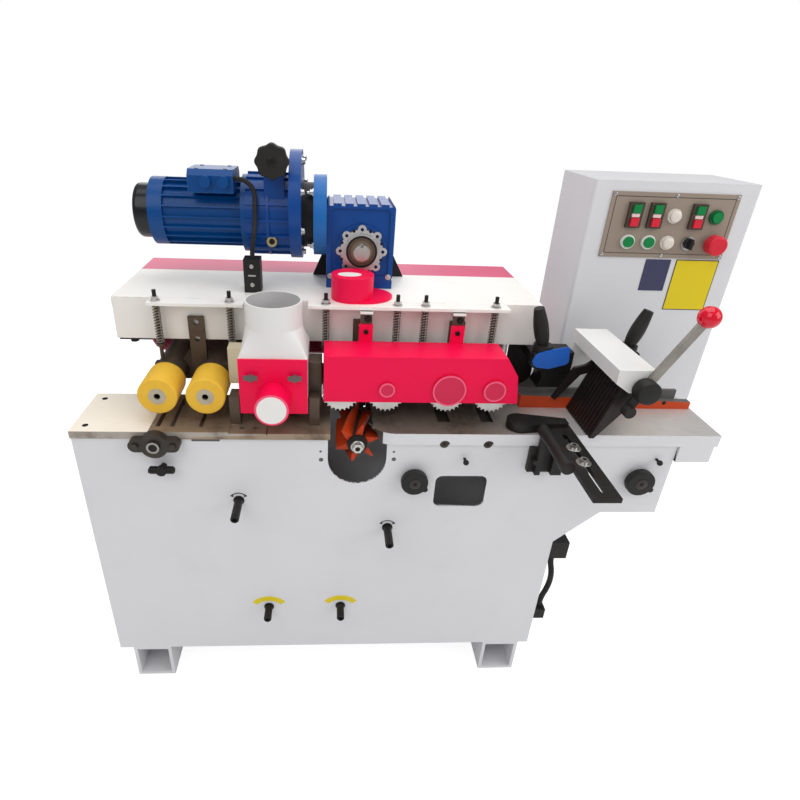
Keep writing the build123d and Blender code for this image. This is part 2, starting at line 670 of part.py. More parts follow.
with BuildPart() as base_cabinet:
    with BuildSketch(facing_front(0)):
        with BuildLine():
            Polyline(*BED_OUTLINE, close=True)
        make_face()
    extrude(amount=-BED_DEPTH)
    with BuildSketch(facing_front(WALL)):
        with BuildLine():
            Polyline(*BED_OUTLINE, close=True)
        make_face()
        offset(amount=-WALL, kind=Kind.INTERSECTION, mode=Mode.REPLACE)
    extrude(amount=-(BED_DEPTH - 2 * WALL), mode=Mode.SUBTRACT)
    # Throat round the lower cutter and the window in the arm
    with BuildSketch(facing_front(0)):
        with Locations((LOWER_CUTTER_X, THROAT_CENTRE)):
            Circle(THROAT_RADIUS)
            Rectangle(2 * THROAT_RADIUS, BED_TOP - THROAT_CENTRE, align=(Align.CENTER, Align.MIN))
    extrude(amount=-(BED_DEPTH - WALL), mode=Mode.SUBTRACT)
    with BuildSketch(facing_front(0)):
        with Locations((WINDOW_LEFT + WINDOW_WIDTH / 2, INFEED_SEAT - WINDOW_DROP - WINDOW_HEIGHT / 2)):
            RectangleRounded(WINDOW_WIDTH, WINDOW_HEIGHT, WINDOW_CORNER)
    extrude(amount=-WALL, mode=Mode.SUBTRACT)
    # Low box behind the bed
    block((0, BED_FOOT_LENGTH), (BED_DEPTH, REAR_BOX_BACK), (FOOT_HEIGHT, REAR_BOX_TOP))
    block(
        (WALL, BED_FOOT_LENGTH - WALL),
        (BED_DEPTH, REAR_BOX_BACK - WALL),
        (FOOT_HEIGHT + WALL, REAR_BOX_TOP - WALL),
        mode=Mode.SUBTRACT,
    )
    # Shelf for the control cabinet, with two gussets below it
    block(
        (SHELF_LEFT, BED_TOP_LENGTH),
        (BED_DEPTH, BED_DEPTH + SHELF_DEPTH),
        (SHELF_TOP - SHELF_THICK, SHELF_TOP),
    )
    for gusset_x in (SHELF_LEFT, BED_TOP_LENGTH - SHELF_THICK):
        plate(
            facing_right(gusset_x),
            (
                (BED_DEPTH, SHELF_TOP - SHELF_THICK),
                (BED_DEPTH + SHELF_DEPTH, SHELF_TOP - SHELF_THICK),
                (BED_DEPTH, ARM_BOTTOM),
            ),
            SHELF_THICK,
        )
    # Feet are tubes that a lifting fork enters
    for foot_x in (FOOT_LEFT_X, FOOT_RIGHT_X):
        block((foot_x - FOOT_WIDTH / 2, foot_x + FOOT_WIDTH / 2), (0, REAR_BOX_BACK), (0, FOOT_HEIGHT))
        block(
            (foot_x - FOOT_WIDTH / 2 + FOOT_WALL, foot_x + FOOT_WIDTH / 2 - FOOT_WALL),
            (0, REAR_BOX_BACK),
            (FOOT_WALL, FOOT_HEIGHT - FOOT_WALL),
            mode=Mode.SUBTRACT,
        )
    # Bearing of the lower cutter in the back wall
    rod_y(LOWER_CUTTER_X, LOWER_CUTTER_AXIS, CUTTER_HOUSING_RADIUS, CUTTER_HOUSING_FRONT, BED_DEPTH)
    rod_y(LOWER_CUTTER_X, LOWER_CUTTER_AXIS, CUTTER_BORE, CUTTER_HOUSING_FRONT, BED_DEPTH, Mode.SUBTRACT)
    # Housings of the crank spindles, knob studs and T-handle screw behind the panel
    for spindle_x, spindle_z, reach in SPINDLES:
        rod_y(spindle_x, spindle_z, SPINDLE_RADIUS + SPINDLE_HOUSING_WALL, WALL, SPINDLE_DEPTH)
        rod_y(spindle_x, spindle_z, SPINDLE_BORE, 0, SPINDLE_DEPTH, Mode.SUBTRACT)
    for knob_x, knob_z, knob_radius in KNOBS:
        rod_y(knob_x, knob_z, KNOB_STUD_RADIUS + SPINDLE_HOUSING_WALL, WALL, SPINDLE_DEPTH)
        rod_y(knob_x, knob_z, STUD_BORE, 0, SPINDLE_DEPTH, Mode.SUBTRACT)
    rod_y(T_HANDLE_X, T_HANDLE_Z, T_HANDLE_SCREW_RADIUS + SPINDLE_HOUSING_WALL, WALL, SPINDLE_DEPTH)
    rod_y(T_HANDLE_X, T_HANDLE_Z, T_SCREW_BORE, 0, SPINDLE_DEPTH, Mode.SUBTRACT)
save(base_cabinet, "base_cabinet")

# Outfeed end plate with its two countersunk holes
with BuildPart() as outfeed_plate:
    block((0, OUTFEED_PLATE_LENGTH), (TABLE_FRONT, BED_DEPTH), (BED_TOP, TABLE_TOP))
    hole_rows = (TABLE_FRONT + BED_HOLE_INSET, BED_DEPTH - BED_HOLE_INSET)
    with Locations(*[place(BED_HOLE_INSET, row, TABLE_TOP) for row in hole_rows]):
        CounterSinkHole(BED_HOLE_RADIUS / 2, BED_HOLE_RADIUS)
save(outfeed_plate, "outfeed_plate")

# Outfeed bed: slotted plate, two lower insert strips and the chip shoes on each side of the hood
INSERT_LEFT = BED_RIGHT - INSERT_LENGTH
INSERT_TOP = TABLE_TOP - INSERT_STEP
HOOD_LEFT = UPPER_CUTTER_X - HOOD_WIDTH / 2
HOOD_RIGHT = UPPER_CUTTER_X + HOOD_WIDTH / 2

with BuildPart() as outfeed_bed:
    block((BED_LEFT, INSERT_LEFT), (TABLE_FRONT, BED_DEPTH), (BED_TOP, TABLE_TOP))
    block((INSERT_LEFT, BED_RIGHT), (TABLE_FRONT, BED_DEPTH), (BED_TOP, INSERT_TOP))
    for slot_x in BED_SLOT_X:
        block(
            (BED_LEFT + slot_x - BED_SLOT_WIDTH / 2, BED_LEFT + slot_x + BED_SLOT_WIDTH / 2),
            (TABLE_FRONT + BED_SLOT_MARGIN, BED_DEPTH - BED_SLOT_MARGIN),
            (BED_TOP, TABLE_TOP),
            mode=Mode.SUBTRACT,
        )
    # Groove where the two insert strips meet, and their screw holes
    block(
        (INSERT_LEFT + INSERT_SPLIT - INSERT_STEP / 2, INSERT_LEFT + INSERT_SPLIT + INSERT_STEP / 2),
        (TABLE_FRONT, BED_DEPTH),
        (INSERT_TOP - INSERT_STEP, INSERT_TOP),
        mode=Mode.SUBTRACT,
    )
    for hole_x in (INSERT_LEFT + BED_HOLE_INSET, INSERT_LEFT + INSERT_SPLIT - BED_HOLE_INSET):
        rod_z(hole_x, TABLE_FRONT + BED_HOLE_INSET, BED_HOLE_RADIUS, BED_TOP, INSERT_TOP, Mode.SUBTRACT)
    shoe_spans = (
        (HOOD_LEFT - CHIP_SHOE_GAP - CHIP_SHOE_THICK, HOOD_LEFT - CHIP_SHOE_GAP),
        (HOOD_RIGHT + CHIP_SHOE_GAP, HOOD_RIGHT + CHIP_SHOE_GAP + CHIP_SHOE_THICK),
    )
    for shoe_span in shoe_spans:
        block(
            shoe_span,
            (CHIP_SHOE_FRONT, CHIP_SHOE_FRONT + CHIP_SHOE_DEPTH),
            (INSERT_TOP, INSERT_TOP + CHIP_SHOE_HEIGHT),
        )
save(outfeed_bed, "outfeed_bed")

# Infeed table: a ribbed casting with a round nose beside the cutter and an apron past the base
with BuildPart() as infeed_table:
    with BuildSketch(facing_up(INFEED_SEAT)):
        with BuildLine():
            Line((INFEED_LEFT, INFEED_BACK), (INFEED_RIGHT, INFEED_BACK))
            Line((INFEED_RIGHT, INFEED_BACK), (INFEED_RIGHT, TABLE_FRONT))
            Line((INFEED_RIGHT, TABLE_FRONT), (INFEED_LEFT + INFEED_NOSE_RADIUS, TABLE_FRONT))
            RadiusArc(
                (INFEED_LEFT + INFEED_NOSE_RADIUS, TABLE_FRONT),
                (INFEED_LEFT, TABLE_FRONT + INFEED_NOSE_RADIUS),
                INFEED_NOSE_RADIUS,
            )
            Line((INFEED_LEFT, TABLE_FRONT + INFEED_NOSE_RADIUS), (INFEED_LEFT, INFEED_BACK))
        make_face()
    extrude(amount=INFEED_WEB_DEPTH)
    pocket_ends = (INFEED_LEFT + INFEED_NOSE_RADIUS, BED_TOP_LENGTH, INFEED_RIGHT)
    for pocket_left, pocket_right in zip(pocket_ends, pocket_ends[1:]):
        block(
            (pocket_left + WEB_THICK / 2, pocket_right - WEB_THICK / 2),
            (TABLE_FRONT + WEB_THICK, INFEED_BACK - WEB_THICK),
            (INFEED_SEAT, TABLE_TOP - INFEED_TOP_THICK),
            mode=Mode.SUBTRACT,
        )
    block(
        (BED_TOP_LENGTH + END_WEB_GAP, INFEED_RIGHT - END_WEB_RIGHT_INSET),
        (TABLE_FRONT, TABLE_FRONT + WEB_THICK),
        (TABLE_TOP - END_WEB_DROP, INFEED_SEAT),
    )
    for notch_x in WEB_NOTCHES:
        rod_y(
            INFEED_LEFT + notch_x,
            INFEED_SEAT,
            NOTCH_RADIUS,
            TABLE_FRONT,
            TABLE_FRONT + WEB_THICK,
            Mode.SUBTRACT,
        )
    rod_y(
        LOWER_CUTTER_X,
        LOWER_CUTTER_AXIS,
        LOWER_CUTTER_RADIUS + CUTTER_TABLE_GAP,
        TABLE_FRONT,
        CUTTER_BACK + CUTTER_TABLE_GAP,
        Mode.SUBTRACT,
    )
    for pocket_x in (YOKE_AXLE_X[2], YOKE_AXLE_X[2] + AXLE_PITCH):
        block(
            (pocket_x - TABLE_POCKET_WIDTH / 2, pocket_x + TABLE_POCKET_WIDTH / 2),
            (WHEEL_FRONT, WHEEL_FRONT + TABLE_POCKET_LENGTH),
            (TABLE_TOP - TABLE_POCKET_DEPTH, TABLE_TOP),
            mode=Mode.SUBTRACT,
        )
save(infeed_table, "infeed_table")


def cutter_head(axis_x, axis_z, radius, front):
    """Twisted knives round a plain hub, with the half-round groove that shapes the stick."""
    rod_y(axis_x, axis_z, radius - KNIFE_HEIGHT / 2, front, CUTTER_BACK)
    for knife in range(CUTTER_KNIVES):
        sections = []
        for depth, turn in ((front, 0), (CUTTER_BACK, KNIFE_TWIST)):
            with BuildSketch(facing_front(depth)) as knife_end:
                with Locations((axis_x, axis_z)):
                    with PolarLocations(radius - KNIFE_HEIGHT / 2, 1, 360 * knife / CUTTER_KNIVES + turn):
                        Rectangle(KNIFE_HEIGHT, KNIFE_WIDTH)
            sections.append(knife_end.sketch)
        loft(sections, ruled=True)
    with Locations(place(axis_x, WORK_LINE, axis_z)):
        Torus(abs(axis_z - WORK_AXIS), WORK_GAP / 2, rotation=(90, 0, 0), mode=Mode.SUBTRACT)


def hex_nut_y(x, z, radius, front, back):
    """Six-sided nut on a shaft that runs from front to back."""
    with BuildSketch(facing_front(front)) as flats:
        with Locations((x, z)):
            RegularPolygon(radius, 6)
    extrude(flats.sketch, amount=front - back)


def belt_pulley(x, z, front):
    """Pulley with one belt groove."""
    groove = CUTTER_PULLEY_WIDTH / 3
    rod_y(x, z, CUTTER_PULLEY_RADIUS, front, front + groove)
    rod_y(x, z, CUTTER_PULLEY_RADIUS - groove / 2, front + groove, front + 2 * groove)
    rod_y(x, z, CUTTER_PULLEY_RADIUS, front + 2 * groove, front + 3 * groove)


# Lower cutter in the throat of the base, on a shaft that passes through the back wall
LOWER_PULLEY_FRONT = BED_DEPTH + PEDESTAL_GAP
with BuildPart() as lower_cutter:
    cutter_head(LOWER_CUTTER_X, LOWER_CUTTER_AXIS, LOWER_CUTTER_RADIUS, LOWER_CUTTER_FRONT)
    rod_y(
        LOWER_CUTTER_X,
        LOWER_CUTTER_AXIS,
        CUTTER_SHAFT_RADIUS,
        LOWER_CUTTER_FRONT - CUTTER_NOSE,
        LOWER_PULLEY_FRONT + CUTTER_PULLEY_WIDTH,
    )
    hex_nut_y(
        LOWER_CUTTER_X,
        LOWER_CUTTER_AXIS,
        CUTTER_NUT_RADIUS,
        LOWER_CUTTER_FRONT - CUTTER_NUT_THICK,
        LOWER_CUTTER_FRONT,
    )
    belt_pulley(LOWER_CUTTER_X, LOWER_CUTTER_AXIS, LOWER_PULLEY_FRONT)
save(lower_cutter, "lower_cutter")

# Upper cutter under the hood, carried by a pedestal behind the bed
PEDESTAL_FRONT = BED_DEPTH + PEDESTAL_GAP
PEDESTAL_BACK = PEDESTAL_FRONT + PEDESTAL_DEPTH
UPPER_PULLEY_FRONT = PEDESTAL_BACK + PEDESTAL_GAP
with BuildPart() as upper_cutter:
    cutter_head(UPPER_CUTTER_X, UPPER_CUTTER_AXIS, UPPER_CUTTER_RADIUS, UPPER_CUTTER_FRONT)
    rod_y(
        UPPER_CUTTER_X,
        UPPER_CUTTER_AXIS,
        CUTTER_SHAFT_RADIUS,
        UPPER_CUTTER_FRONT - CUTTER_NUT_THICK,
        UPPER_PULLEY_FRONT + CUTTER_PULLEY_WIDTH,
    )
    belt_pulley(UPPER_CUTTER_X, UPPER_CUTTER_AXIS, UPPER_PULLEY_FRONT)
save(upper_cutter, "upper_cutter")

# Two ground columns and the cutter pedestal stand on the low box
COLUMN_TOP = BEAM_TOP - BEAM_WALL - COLUMN_TOP_GAP
PEDESTAL_TOP = UPPER_CUTTER_AXIS + CUTTER_HOUSING_RADIUS
with BuildPart() as rear_supports:
    for column_x in (COLUMN_LEFT_X, COLUMN_RIGHT_X):
        rod_z(column_x, COLUMN_Y, COLUMN_RADIUS, REAR_BOX_TOP, COLUMN_TOP)
        rod_z(column_x, COLUMN_Y, COLUMN_FLANGE_RADIUS, REAR_BOX_TOP, REAR_BOX_TOP + COLUMN_FLANGE_THICK)
    with BuildSketch(facing_front(PEDESTAL_FRONT)):
        with BuildLine():
            Polyline(
                (UPPER_CUTTER_X - CUTTER_HOUSING_RADIUS, UPPER_CUTTER_AXIS),
                (UPPER_CUTTER_X - PEDESTAL_WIDTH / 2, REAR_BOX_TOP),
                (UPPER_CUTTER_X + PEDESTAL_WIDTH / 2, REAR_BOX_TOP),
                (UPPER_CUTTER_X + CUTTER_HOUSING_RADIUS, UPPER_CUTTER_AXIS),
            )
            ThreePointArc(
                (UPPER_CUTTER_X + CUTTER_HOUSING_RADIUS, UPPER_CUTTER_AXIS),
                (UPPER_CUTTER_X, PEDESTAL_TOP),
                (UPPER_CUTTER_X - CUTTER_HOUSING_RADIUS, UPPER_CUTTER_AXIS),
            )
        make_face()
    extrude(amount=-PEDESTAL_DEPTH)
    rod_y(UPPER_CUTTER_X, UPPER_CUTTER_AXIS, CUTTER_BORE, PEDESTAL_FRONT, PEDESTAL_BACK, Mode.SUBTRACT)
save(rear_supports, "rear_supports")

# Pressure yokes: two quills joined by a bridge, a guide strap and two studs with nuts above the flange
QUILL_BACK = QUILL_FRONT + QUILL_LENGTH
FLANGE_UNDERSIDE = BEAM_TOP - FLANGE_THICK
SPRING_SEAT = FLANGE_UNDERSIDE - SPRING_LENGTH
STRAP_BACK = BEAM_FRONT - SLIDE_CLEARANCE
AXLE_BORE = SHAFT_RADIUS + RUNNING_CLEARANCE
YOKE_AXIS = (ROLLER_AXIS, WHEEL_AXIS, WHEEL_AXIS)

for index, (first_x, bolt_x, axis_z) in enumerate(zip(YOKE_AXLE_X, BOLT_LEFT_X, YOKE_AXIS), start=1):
    second_x = first_x + AXLE_PITCH
    strap_x = bolt_x + BOLT_SPAN / 2
    with BuildPart() as pressure_yoke:
        for axle_x in (first_x, second_x):
            rod_y(axle_x, axis_z, QUILL_RADIUS, QUILL_FRONT, QUILL_BACK)
        block(
            (first_x, second_x),
            (QUILL_FRONT + BRIDGE_SETBACK, QUILL_BACK),
            (axis_z - BRIDGE_HEIGHT / 2, axis_z + BRIDGE_HEIGHT / 2),
        )
        # Strap on the front of the beam, with a foot back to the bridge
        strap_top = BEAM_TOP - STRAP_TOP_DROP
        block(
            (strap_x - STRAP_WIDTH / 2, strap_x + STRAP_WIDTH / 2),
            (STRAP_BACK - STRAP_THICK, STRAP_BACK),
            (axis_z, strap_top),
        )
        block(
            (strap_x - STRAP_WIDTH / 2, strap_x + STRAP_WIDTH / 2),
            (STRAP_BACK - STRAP_THICK, QUILL_FRONT + BRIDGE_SETBACK),
            (axis_z - BRIDGE_HEIGHT / 2, axis_z + BRIDGE_HEIGHT / 2),
        )
        for drop in (STRAP_HOLE_RADIUS, STRAP_HOLE_RADIUS + STRAP_HOLE_PITCH):
            rod_y(
                strap_x,
                strap_top - drop - STRAP_HOLE_RADIUS,
                STRAP_HOLE_RADIUS,
                STRAP_BACK - STRAP_THICK,
                STRAP_BACK,
                Mode.SUBTRACT,
            )
        for stud_x, axle_x in ((bolt_x, first_x), (bolt_x + BOLT_SPAN, second_x)):
            block(
                (min(stud_x - LUG_WIDTH / 2, axle_x), max(stud_x + LUG_WIDTH / 2, axle_x)),
                (BOLT_Y - LUG_DEPTH / 2, BOLT_Y + LUG_DEPTH / 2 - STRAP_THICK),
                (axis_z - LUG_HEIGHT / 3, axis_z + 2 * LUG_HEIGHT / 3),
            )
            rod_z(stud_x, BOLT_Y, STUD_RADIUS, axis_z, BEAM_TOP + STUD_ABOVE_FLANGE)
            rod_z(stud_x, BOLT_Y, COLLAR_RADIUS, SPRING_SEAT - COLLAR_THICK, SPRING_SEAT)
            washer_low = BEAM_TOP + SLIDE_CLEARANCE
            rod_z(stud_x, BOLT_Y, WASHER_RADIUS, washer_low, washer_low + WASHER_THICK)
            with BuildSketch(facing_up(washer_low + WASHER_THICK)):
                with Locations((stud_x, BOLT_Y)):
                    RegularPolygon(NUT_RADIUS, 6)
            extrude(amount=NUT_HEIGHT)
        for axle_x in (first_x, second_x):
            rod_y(axle_x, axis_z, AXLE_BORE, QUILL_FRONT, QUILL_BACK, Mode.SUBTRACT)
    save(pressure_yoke, f"pressure_yoke_{index}")


def driven_shaft(x, z, front):
    """Axle through a quill, with the chain sprocket on its back end."""
    sprocket_front = QUILL_BACK + SPROCKET_SETBACK
    rod_y(x, z, SHAFT_RADIUS, front, sprocket_front + SPROCKET_THICK + SHAFT_END)
    rod_y(x, z, SPROCKET_RADIUS, sprocket_front, sprocket_front + SPROCKET_THICK)


# Smooth rollers press the finished stick on the outfeed bed
for index, offset_x in enumerate((0, AXLE_PITCH), start=1):
    roller_x = YOKE_AXLE_X[0] + offset_x
    roller_back = ROLLER_FRONT + ROLLER_LENGTH
    with BuildPart() as feed_roller:
        rod_y(roller_x, ROLLER_AXIS, ROLLER_RADIUS, ROLLER_FRONT, roller_back)
        chamfer(feed_roller.edges().filter_by(GeomType.CIRCLE), ROLLER_EDGE)
        rod_y(roller_x, ROLLER_AXIS, HUB_RADIUS, ROLLER_FRONT, ROLLER_FRONT + ROLLER_RECESS, Mode.SUBTRACT)
        driven_shaft(roller_x, ROLLER_AXIS, roller_back)
        rod_y(
            roller_x,
            ROLLER_AXIS,
            ROLLER_HOLE_RADIUS,
            ROLLER_FRONT,
            ROLLER_FRONT + ROLLER_HOLE_DEPTH,
            Mode.SUBTRACT,
        )
    save(feed_roller, f"feed_roller_{index}")

# Toothed wheels grip the rough stick and push it into the cutters
WHEEL_X = [first_x + offset_x for first_x in YOKE_AXLE_X[1:] for offset_x in (0, AXLE_PITCH)]
for index, wheel_x in enumerate(WHEEL_X, start=1):
    root_radius = WHEEL_RADIUS - TOOTH_DEPTH
    half_tooth = pi * root_radius / WHEEL_TEETH / 2
    wheel_back = WHEEL_FRONT + WHEEL_WIDTH
    with BuildPart() as feed_wheel:
        with BuildSketch(facing_front(WHEEL_FRONT)):
            with Locations((wheel_x, WHEEL_AXIS)):
                Circle(root_radius)
                with PolarLocations(root_radius, WHEEL_TEETH):
                    Polygon(
                        (-TOOTH_DEPTH / 2, -half_tooth),
                        (0, -half_tooth),
                        (TOOTH_DEPTH, -half_tooth / 3),
                        (TOOTH_DEPTH, half_tooth / 3),
                        (0, half_tooth),
                        (-TOOTH_DEPTH / 2, half_tooth),
                        align=None,
                    )
        extrude(amount=-WHEEL_WIDTH)
        rod_y(wheel_x, WHEEL_AXIS, WHEEL_HUB_RADIUS, wheel_back, wheel_back + WHEEL_HUB_LENGTH)
        hex_nut_y(wheel_x, WHEEL_AXIS, WHEEL_NUT_RADIUS, WHEEL_FRONT - WHEEL_NUT_THICK, WHEEL_FRONT)
        driven_shaft(wheel_x, WHEEL_AXIS, wheel_back)
    save(feed_wheel, f"feed_wheel_{index}")

# Press beam: a welded box on column sleeves, with the spring flange along its front edge
SLEEVE_BORE = COLUMN_RADIUS + RUNNING_CLEARANCE
NOTCH_HALF = PIPE_RADIUS + FLANGE_NOTCH_CLEARANCE
with BuildPart() as press_beam:
    block((BEAM_LEFT, BEAM_RIGHT), (BEAM_FRONT, BEAM_BACK), (BEAM_UNDERSIDE, BEAM_TOP))
    block(
        (BEAM_LEFT + BEAM_WALL, BEAM_RIGHT - BEAM_WALL),
        (BEAM_FRONT + BEAM_WALL, BEAM_BACK - BEAM_WALL),
        (BEAM_UNDERSIDE + BEAM_WALL, BEAM_TOP - BEAM_WALL),
        mode=Mode.SUBTRACT,
    )
    block(
        (BEAM_LEFT + FLANGE_INSET, BEAM_RIGHT - FLANGE_INSET),
        (BEAM_FRONT - FLANGE_REACH, BEAM_FRONT),
        (FLANGE_UNDERSIDE, BEAM_TOP),
    )
    block(
        (UPPER_CUTTER_X - NOTCH_HALF, UPPER_CUTTER_X + NOTCH_HALF),
        (BEAM_FRONT - FLANGE_REACH, BEAM_FRONT),
        (FLANGE_UNDERSIDE, BEAM_TOP),
        mode=Mode.SUBTRACT,
    )
    for bolt_x in BOLT_LEFT_X:
        for stud_x in (bolt_x, bolt_x + BOLT_SPAN):
            rod_z(stud_x, BOLT_Y, STUD_RADIUS + SLIDE_CLEARANCE, FLANGE_UNDERSIDE, BEAM_TOP, Mode.SUBTRACT)
    for column_x in (COLUMN_LEFT_X, COLUMN_RIGHT_X):
        rod_z(column_x, COLUMN_Y, COLUMN_RADIUS + COLUMN_SLEEVE, BEAM_UNDERSIDE, BEAM_TOP - BEAM_WALL)
        rod_z(column_x, COLUMN_Y, SLEEVE_BORE, BEAM_UNDERSIDE, BEAM_TOP - BEAM_WALL, Mode.SUBTRACT)
save(press_beam, "press_beam")

# Chain cover on the back of the beam
with BuildPart() as rear_cover:
    with BuildSketch(facing_front(BEAM_BACK)):
        with BuildLine():
            FilletPolyline(
                (BEAM_LEFT, BEAM_TOP),
                (BEAM_LEFT, BEAM_TOP - REAR_COVER_DROP),
                (BEAM_RIGHT, BEAM_TOP - REAR_COVER_DROP),
                (BEAM_RIGHT, BEAM_TOP),
                radius=REAR_COVER_CORNER,
            )
            Line((BEAM_RIGHT, BEAM_TOP), (BEAM_LEFT, BEAM_TOP))
        make_face()
    extrude(amount=-REAR_COVER_DEPTH)
    offset(amount=-SHEET, openings=rear_cover.faces().sort_by(Axis.Y)[0])
save(rear_cover, "rear_cover")


def biarc(start, start_direction, end, end_direction):
    """Two tangent arcs from start to end, leaving and arriving along the given directions."""
    span = end - start
    turn = 2 * (1 - start_direction.dot(end_direction))
    drift = 2 * span.dot(start_direction + end_direction)
    reach = (sqrt(drift**2 + 4 * turn * span.dot(span)) - drift) / (2 * turn)
    first_corner = start + start_direction * reach
    last_corner = end - end_direction * reach
    TangentArc(start, (first_corner + last_corner) / 2, tangent=start_direction)
    TangentArc((first_corner + last_corner) / 2, end, tangent=last_corner - first_corner)


# Compression springs between the flange and the collars of the studs, wound as one wire each
END_RUN = 2 * WIRE_RADIUS
END_TURN = 60.0
WOUND_LENGTH = SPRING_LENGTH - 2 * END_RUN
SPRING_PITCH = WOUND_LENGTH / SPRING_TURNS


def wound_point(stud_x, angle):
    """Point on the centre line of the wire after an angle in degrees, counted from the collar."""
    height = SPRING_SEAT + END_RUN + SPRING_PITCH * angle / 360
    sideways = SPRING_RADIUS * cos(radians(angle))
    return Vector(*place(stud_x + sideways, BOLT_Y + SPRING_RADIUS * sin(radians(angle)), height))


def wound_direction(angle):
    """Direction of the wire after an angle in degrees."""
    rise = SPRING_PITCH / (2 * pi * SPRING_RADIUS)
    return Vector(-sin(radians(angle)), cos(radians(angle)), rise).normalized()


for index, bolt_x in enumerate(BOLT_LEFT_X, start=1):
    with BuildPart() as pressure_springs:
        for stud_x in (bolt_x, bolt_x + BOLT_SPAN):
            wound_end = 360 * SPRING_TURNS
            half_turns = [END_TURN]
            while half_turns[-1] < wound_end - END_TURN:
                half_turns.append(min(half_turns[-1] + 180, wound_end - END_TURN))
            low_end = wound_point(stud_x, 0)
            high_end = wound_point(stud_x, wound_end)
            upward = Vector(0, 0, 1)
            with BuildLine():
                Line(low_end - upward * END_RUN, low_end)
                biarc(low_end, upward, wound_point(stud_x, END_TURN), wound_direction(END_TURN))
                for begin, finish in zip(half_turns, half_turns[1:]):
                    biarc(
                        wound_point(stud_x, begin),
                        wound_direction(begin),
                        wound_point(stud_x, finish),
                        wound_direction(finish),
                    )
                last = half_turns[-1]
                biarc(wound_point(stud_x, last), wound_direction(last), high_end, upward)
                Line(high_end, high_end + upward * END_RUN)
            with BuildSketch(Plane(origin=low_end - upward * END_RUN, z_dir=upward)):
                RegularPolygon(WIRE_RADIUS, 6)
            sweep()
    save(pressure_springs, f"pressure_springs_{index}")

wire_samples = [wound_point(0, angle) for angle in range(0, 360 * SPRING_TURNS + 1, 15)]
quarter = 360 // 15 // 4
gaps = [
    (wire_samples[one] - wire_samples[other]).length
    for one in range(len(wire_samples))
    for other in range(one + quarter, len(wire_samples))
]
print("spring least gap to itself", round(min(gaps) - 2 * WIRE_RADIUS, 2))

# Wheel cover: a folded sheet over the toothed wheels, hung from the flange
COVER_TOP = WHEEL_AXIS + COVER_TOP_RISE
COVER_RIGHT = COVER_LEFT + COVER_LENGTH
HANGER_FRONT = BEAM_FRONT - FLANGE_REACH
with BuildPart() as wheel_cover:
    plate(
        facing_front(COVER_FRONT),
        (
            (COVER_LEFT, COVER_TOP),
            (COVER_LEFT, COVER_TOP - COVER_FRONT_HEIGHT),
            (COVER_RIGHT, COVER_TOP - COVER_FRONT_HEIGHT),
            (COVER_RIGHT - COVER_SLOPE_RUN / 3, COVER_TOP - COVER_FRONT_HEIGHT + COVER_SLOPE_RISE),
            (COVER_LEFT + COVER_TOP_LENGTH, COVER_TOP),
        ),
        -SHEET,
    )
    block(
        (COVER_LEFT, COVER_LEFT + COVER_TOP_LENGTH),
        (COVER_FRONT, HANGER_FRONT),
        (COVER_TOP - SHEET, COVER_TOP),
    )
    for tab_x in COVER_TAB_X:
        block(
            (tab_x - COVER_TAB_WIDTH / 2, tab_x + COVER_TAB_WIDTH / 2),
            (HANGER_FRONT - SHEET, HANGER_FRONT),
            (COVER_TOP, COVER_TOP + COVER_TAB_HEIGHT),
        )
    for wheel_x, bulge_radius in zip(WHEEL_X[1:], BULGE_RADII):
        rod_y(wheel_x, WHEEL_AXIS + WHEEL_RADIUS / 2, bulge_radius, COVER_FRONT - BULGE_DEPTH, COVER_FRONT)
save(wheel_cover, "wheel_cover")

# Levels of the drive on top of the beam
DRIVE_AXIS = BEAM_TOP + MOTOR_AXIS_RISE
GEARBOX_BASE = BEAM_TOP + GEARBOX_FOOT_HEIGHT
COWL_LEFT = MOTOR_LEFT + FAN_END_LENGTH + COWL_GAP
BODY_LEFT = COWL_LEFT + COWL_LENGTH
BODY_RIGHT = BODY_LEFT + MOTOR_BODY_LENGTH
VARIATOR_LEFT = BODY_RIGHT + VARIATOR_GAP
VARIATOR_RIGHT = VARIATOR_LEFT + VARIATOR_LENGTH
ADAPTER_LEFT = VARIATOR_RIGHT + VARIATOR_FLANGE_LENGTH
DISC_LEFT = ADAPTER_LEFT + ADAPTER_LENGTH
GEARBOX_LEFT = DISC_LEFT + DISC_LENGTH
GEARBOX_RIGHT = GEARBOX_LEFT + GEARBOX_LENGTH
OUTPUT_X = GEARBOX_LEFT + OUTPUT_SETBACK
SHAFT_GUARD_X = GEARBOX_LEFT + SHAFT_GUARD_SETBACK
STAR_KNOB_X = VARIATOR_LEFT + STAR_KNOB_SETBACK
GEARBOX_FRONT = MOTOR_Y - GEARBOX_DEPTH / 2
GEARBOX_BACK = MOTOR_Y + GEARBOX_DEPTH / 2
OUTPUT_Z = BEAM_TOP + OUTPUT_RISE
STAR_BOSS_FRONT = MOTOR_Y - STAR_BOSS_REACH
MOTOR_CABLE_POINTS = [(MOTOR_LEFT + x, MOTOR_Y + y, DRIVE_AXIS + z) for x, y, z in CABLE_ROUTE]

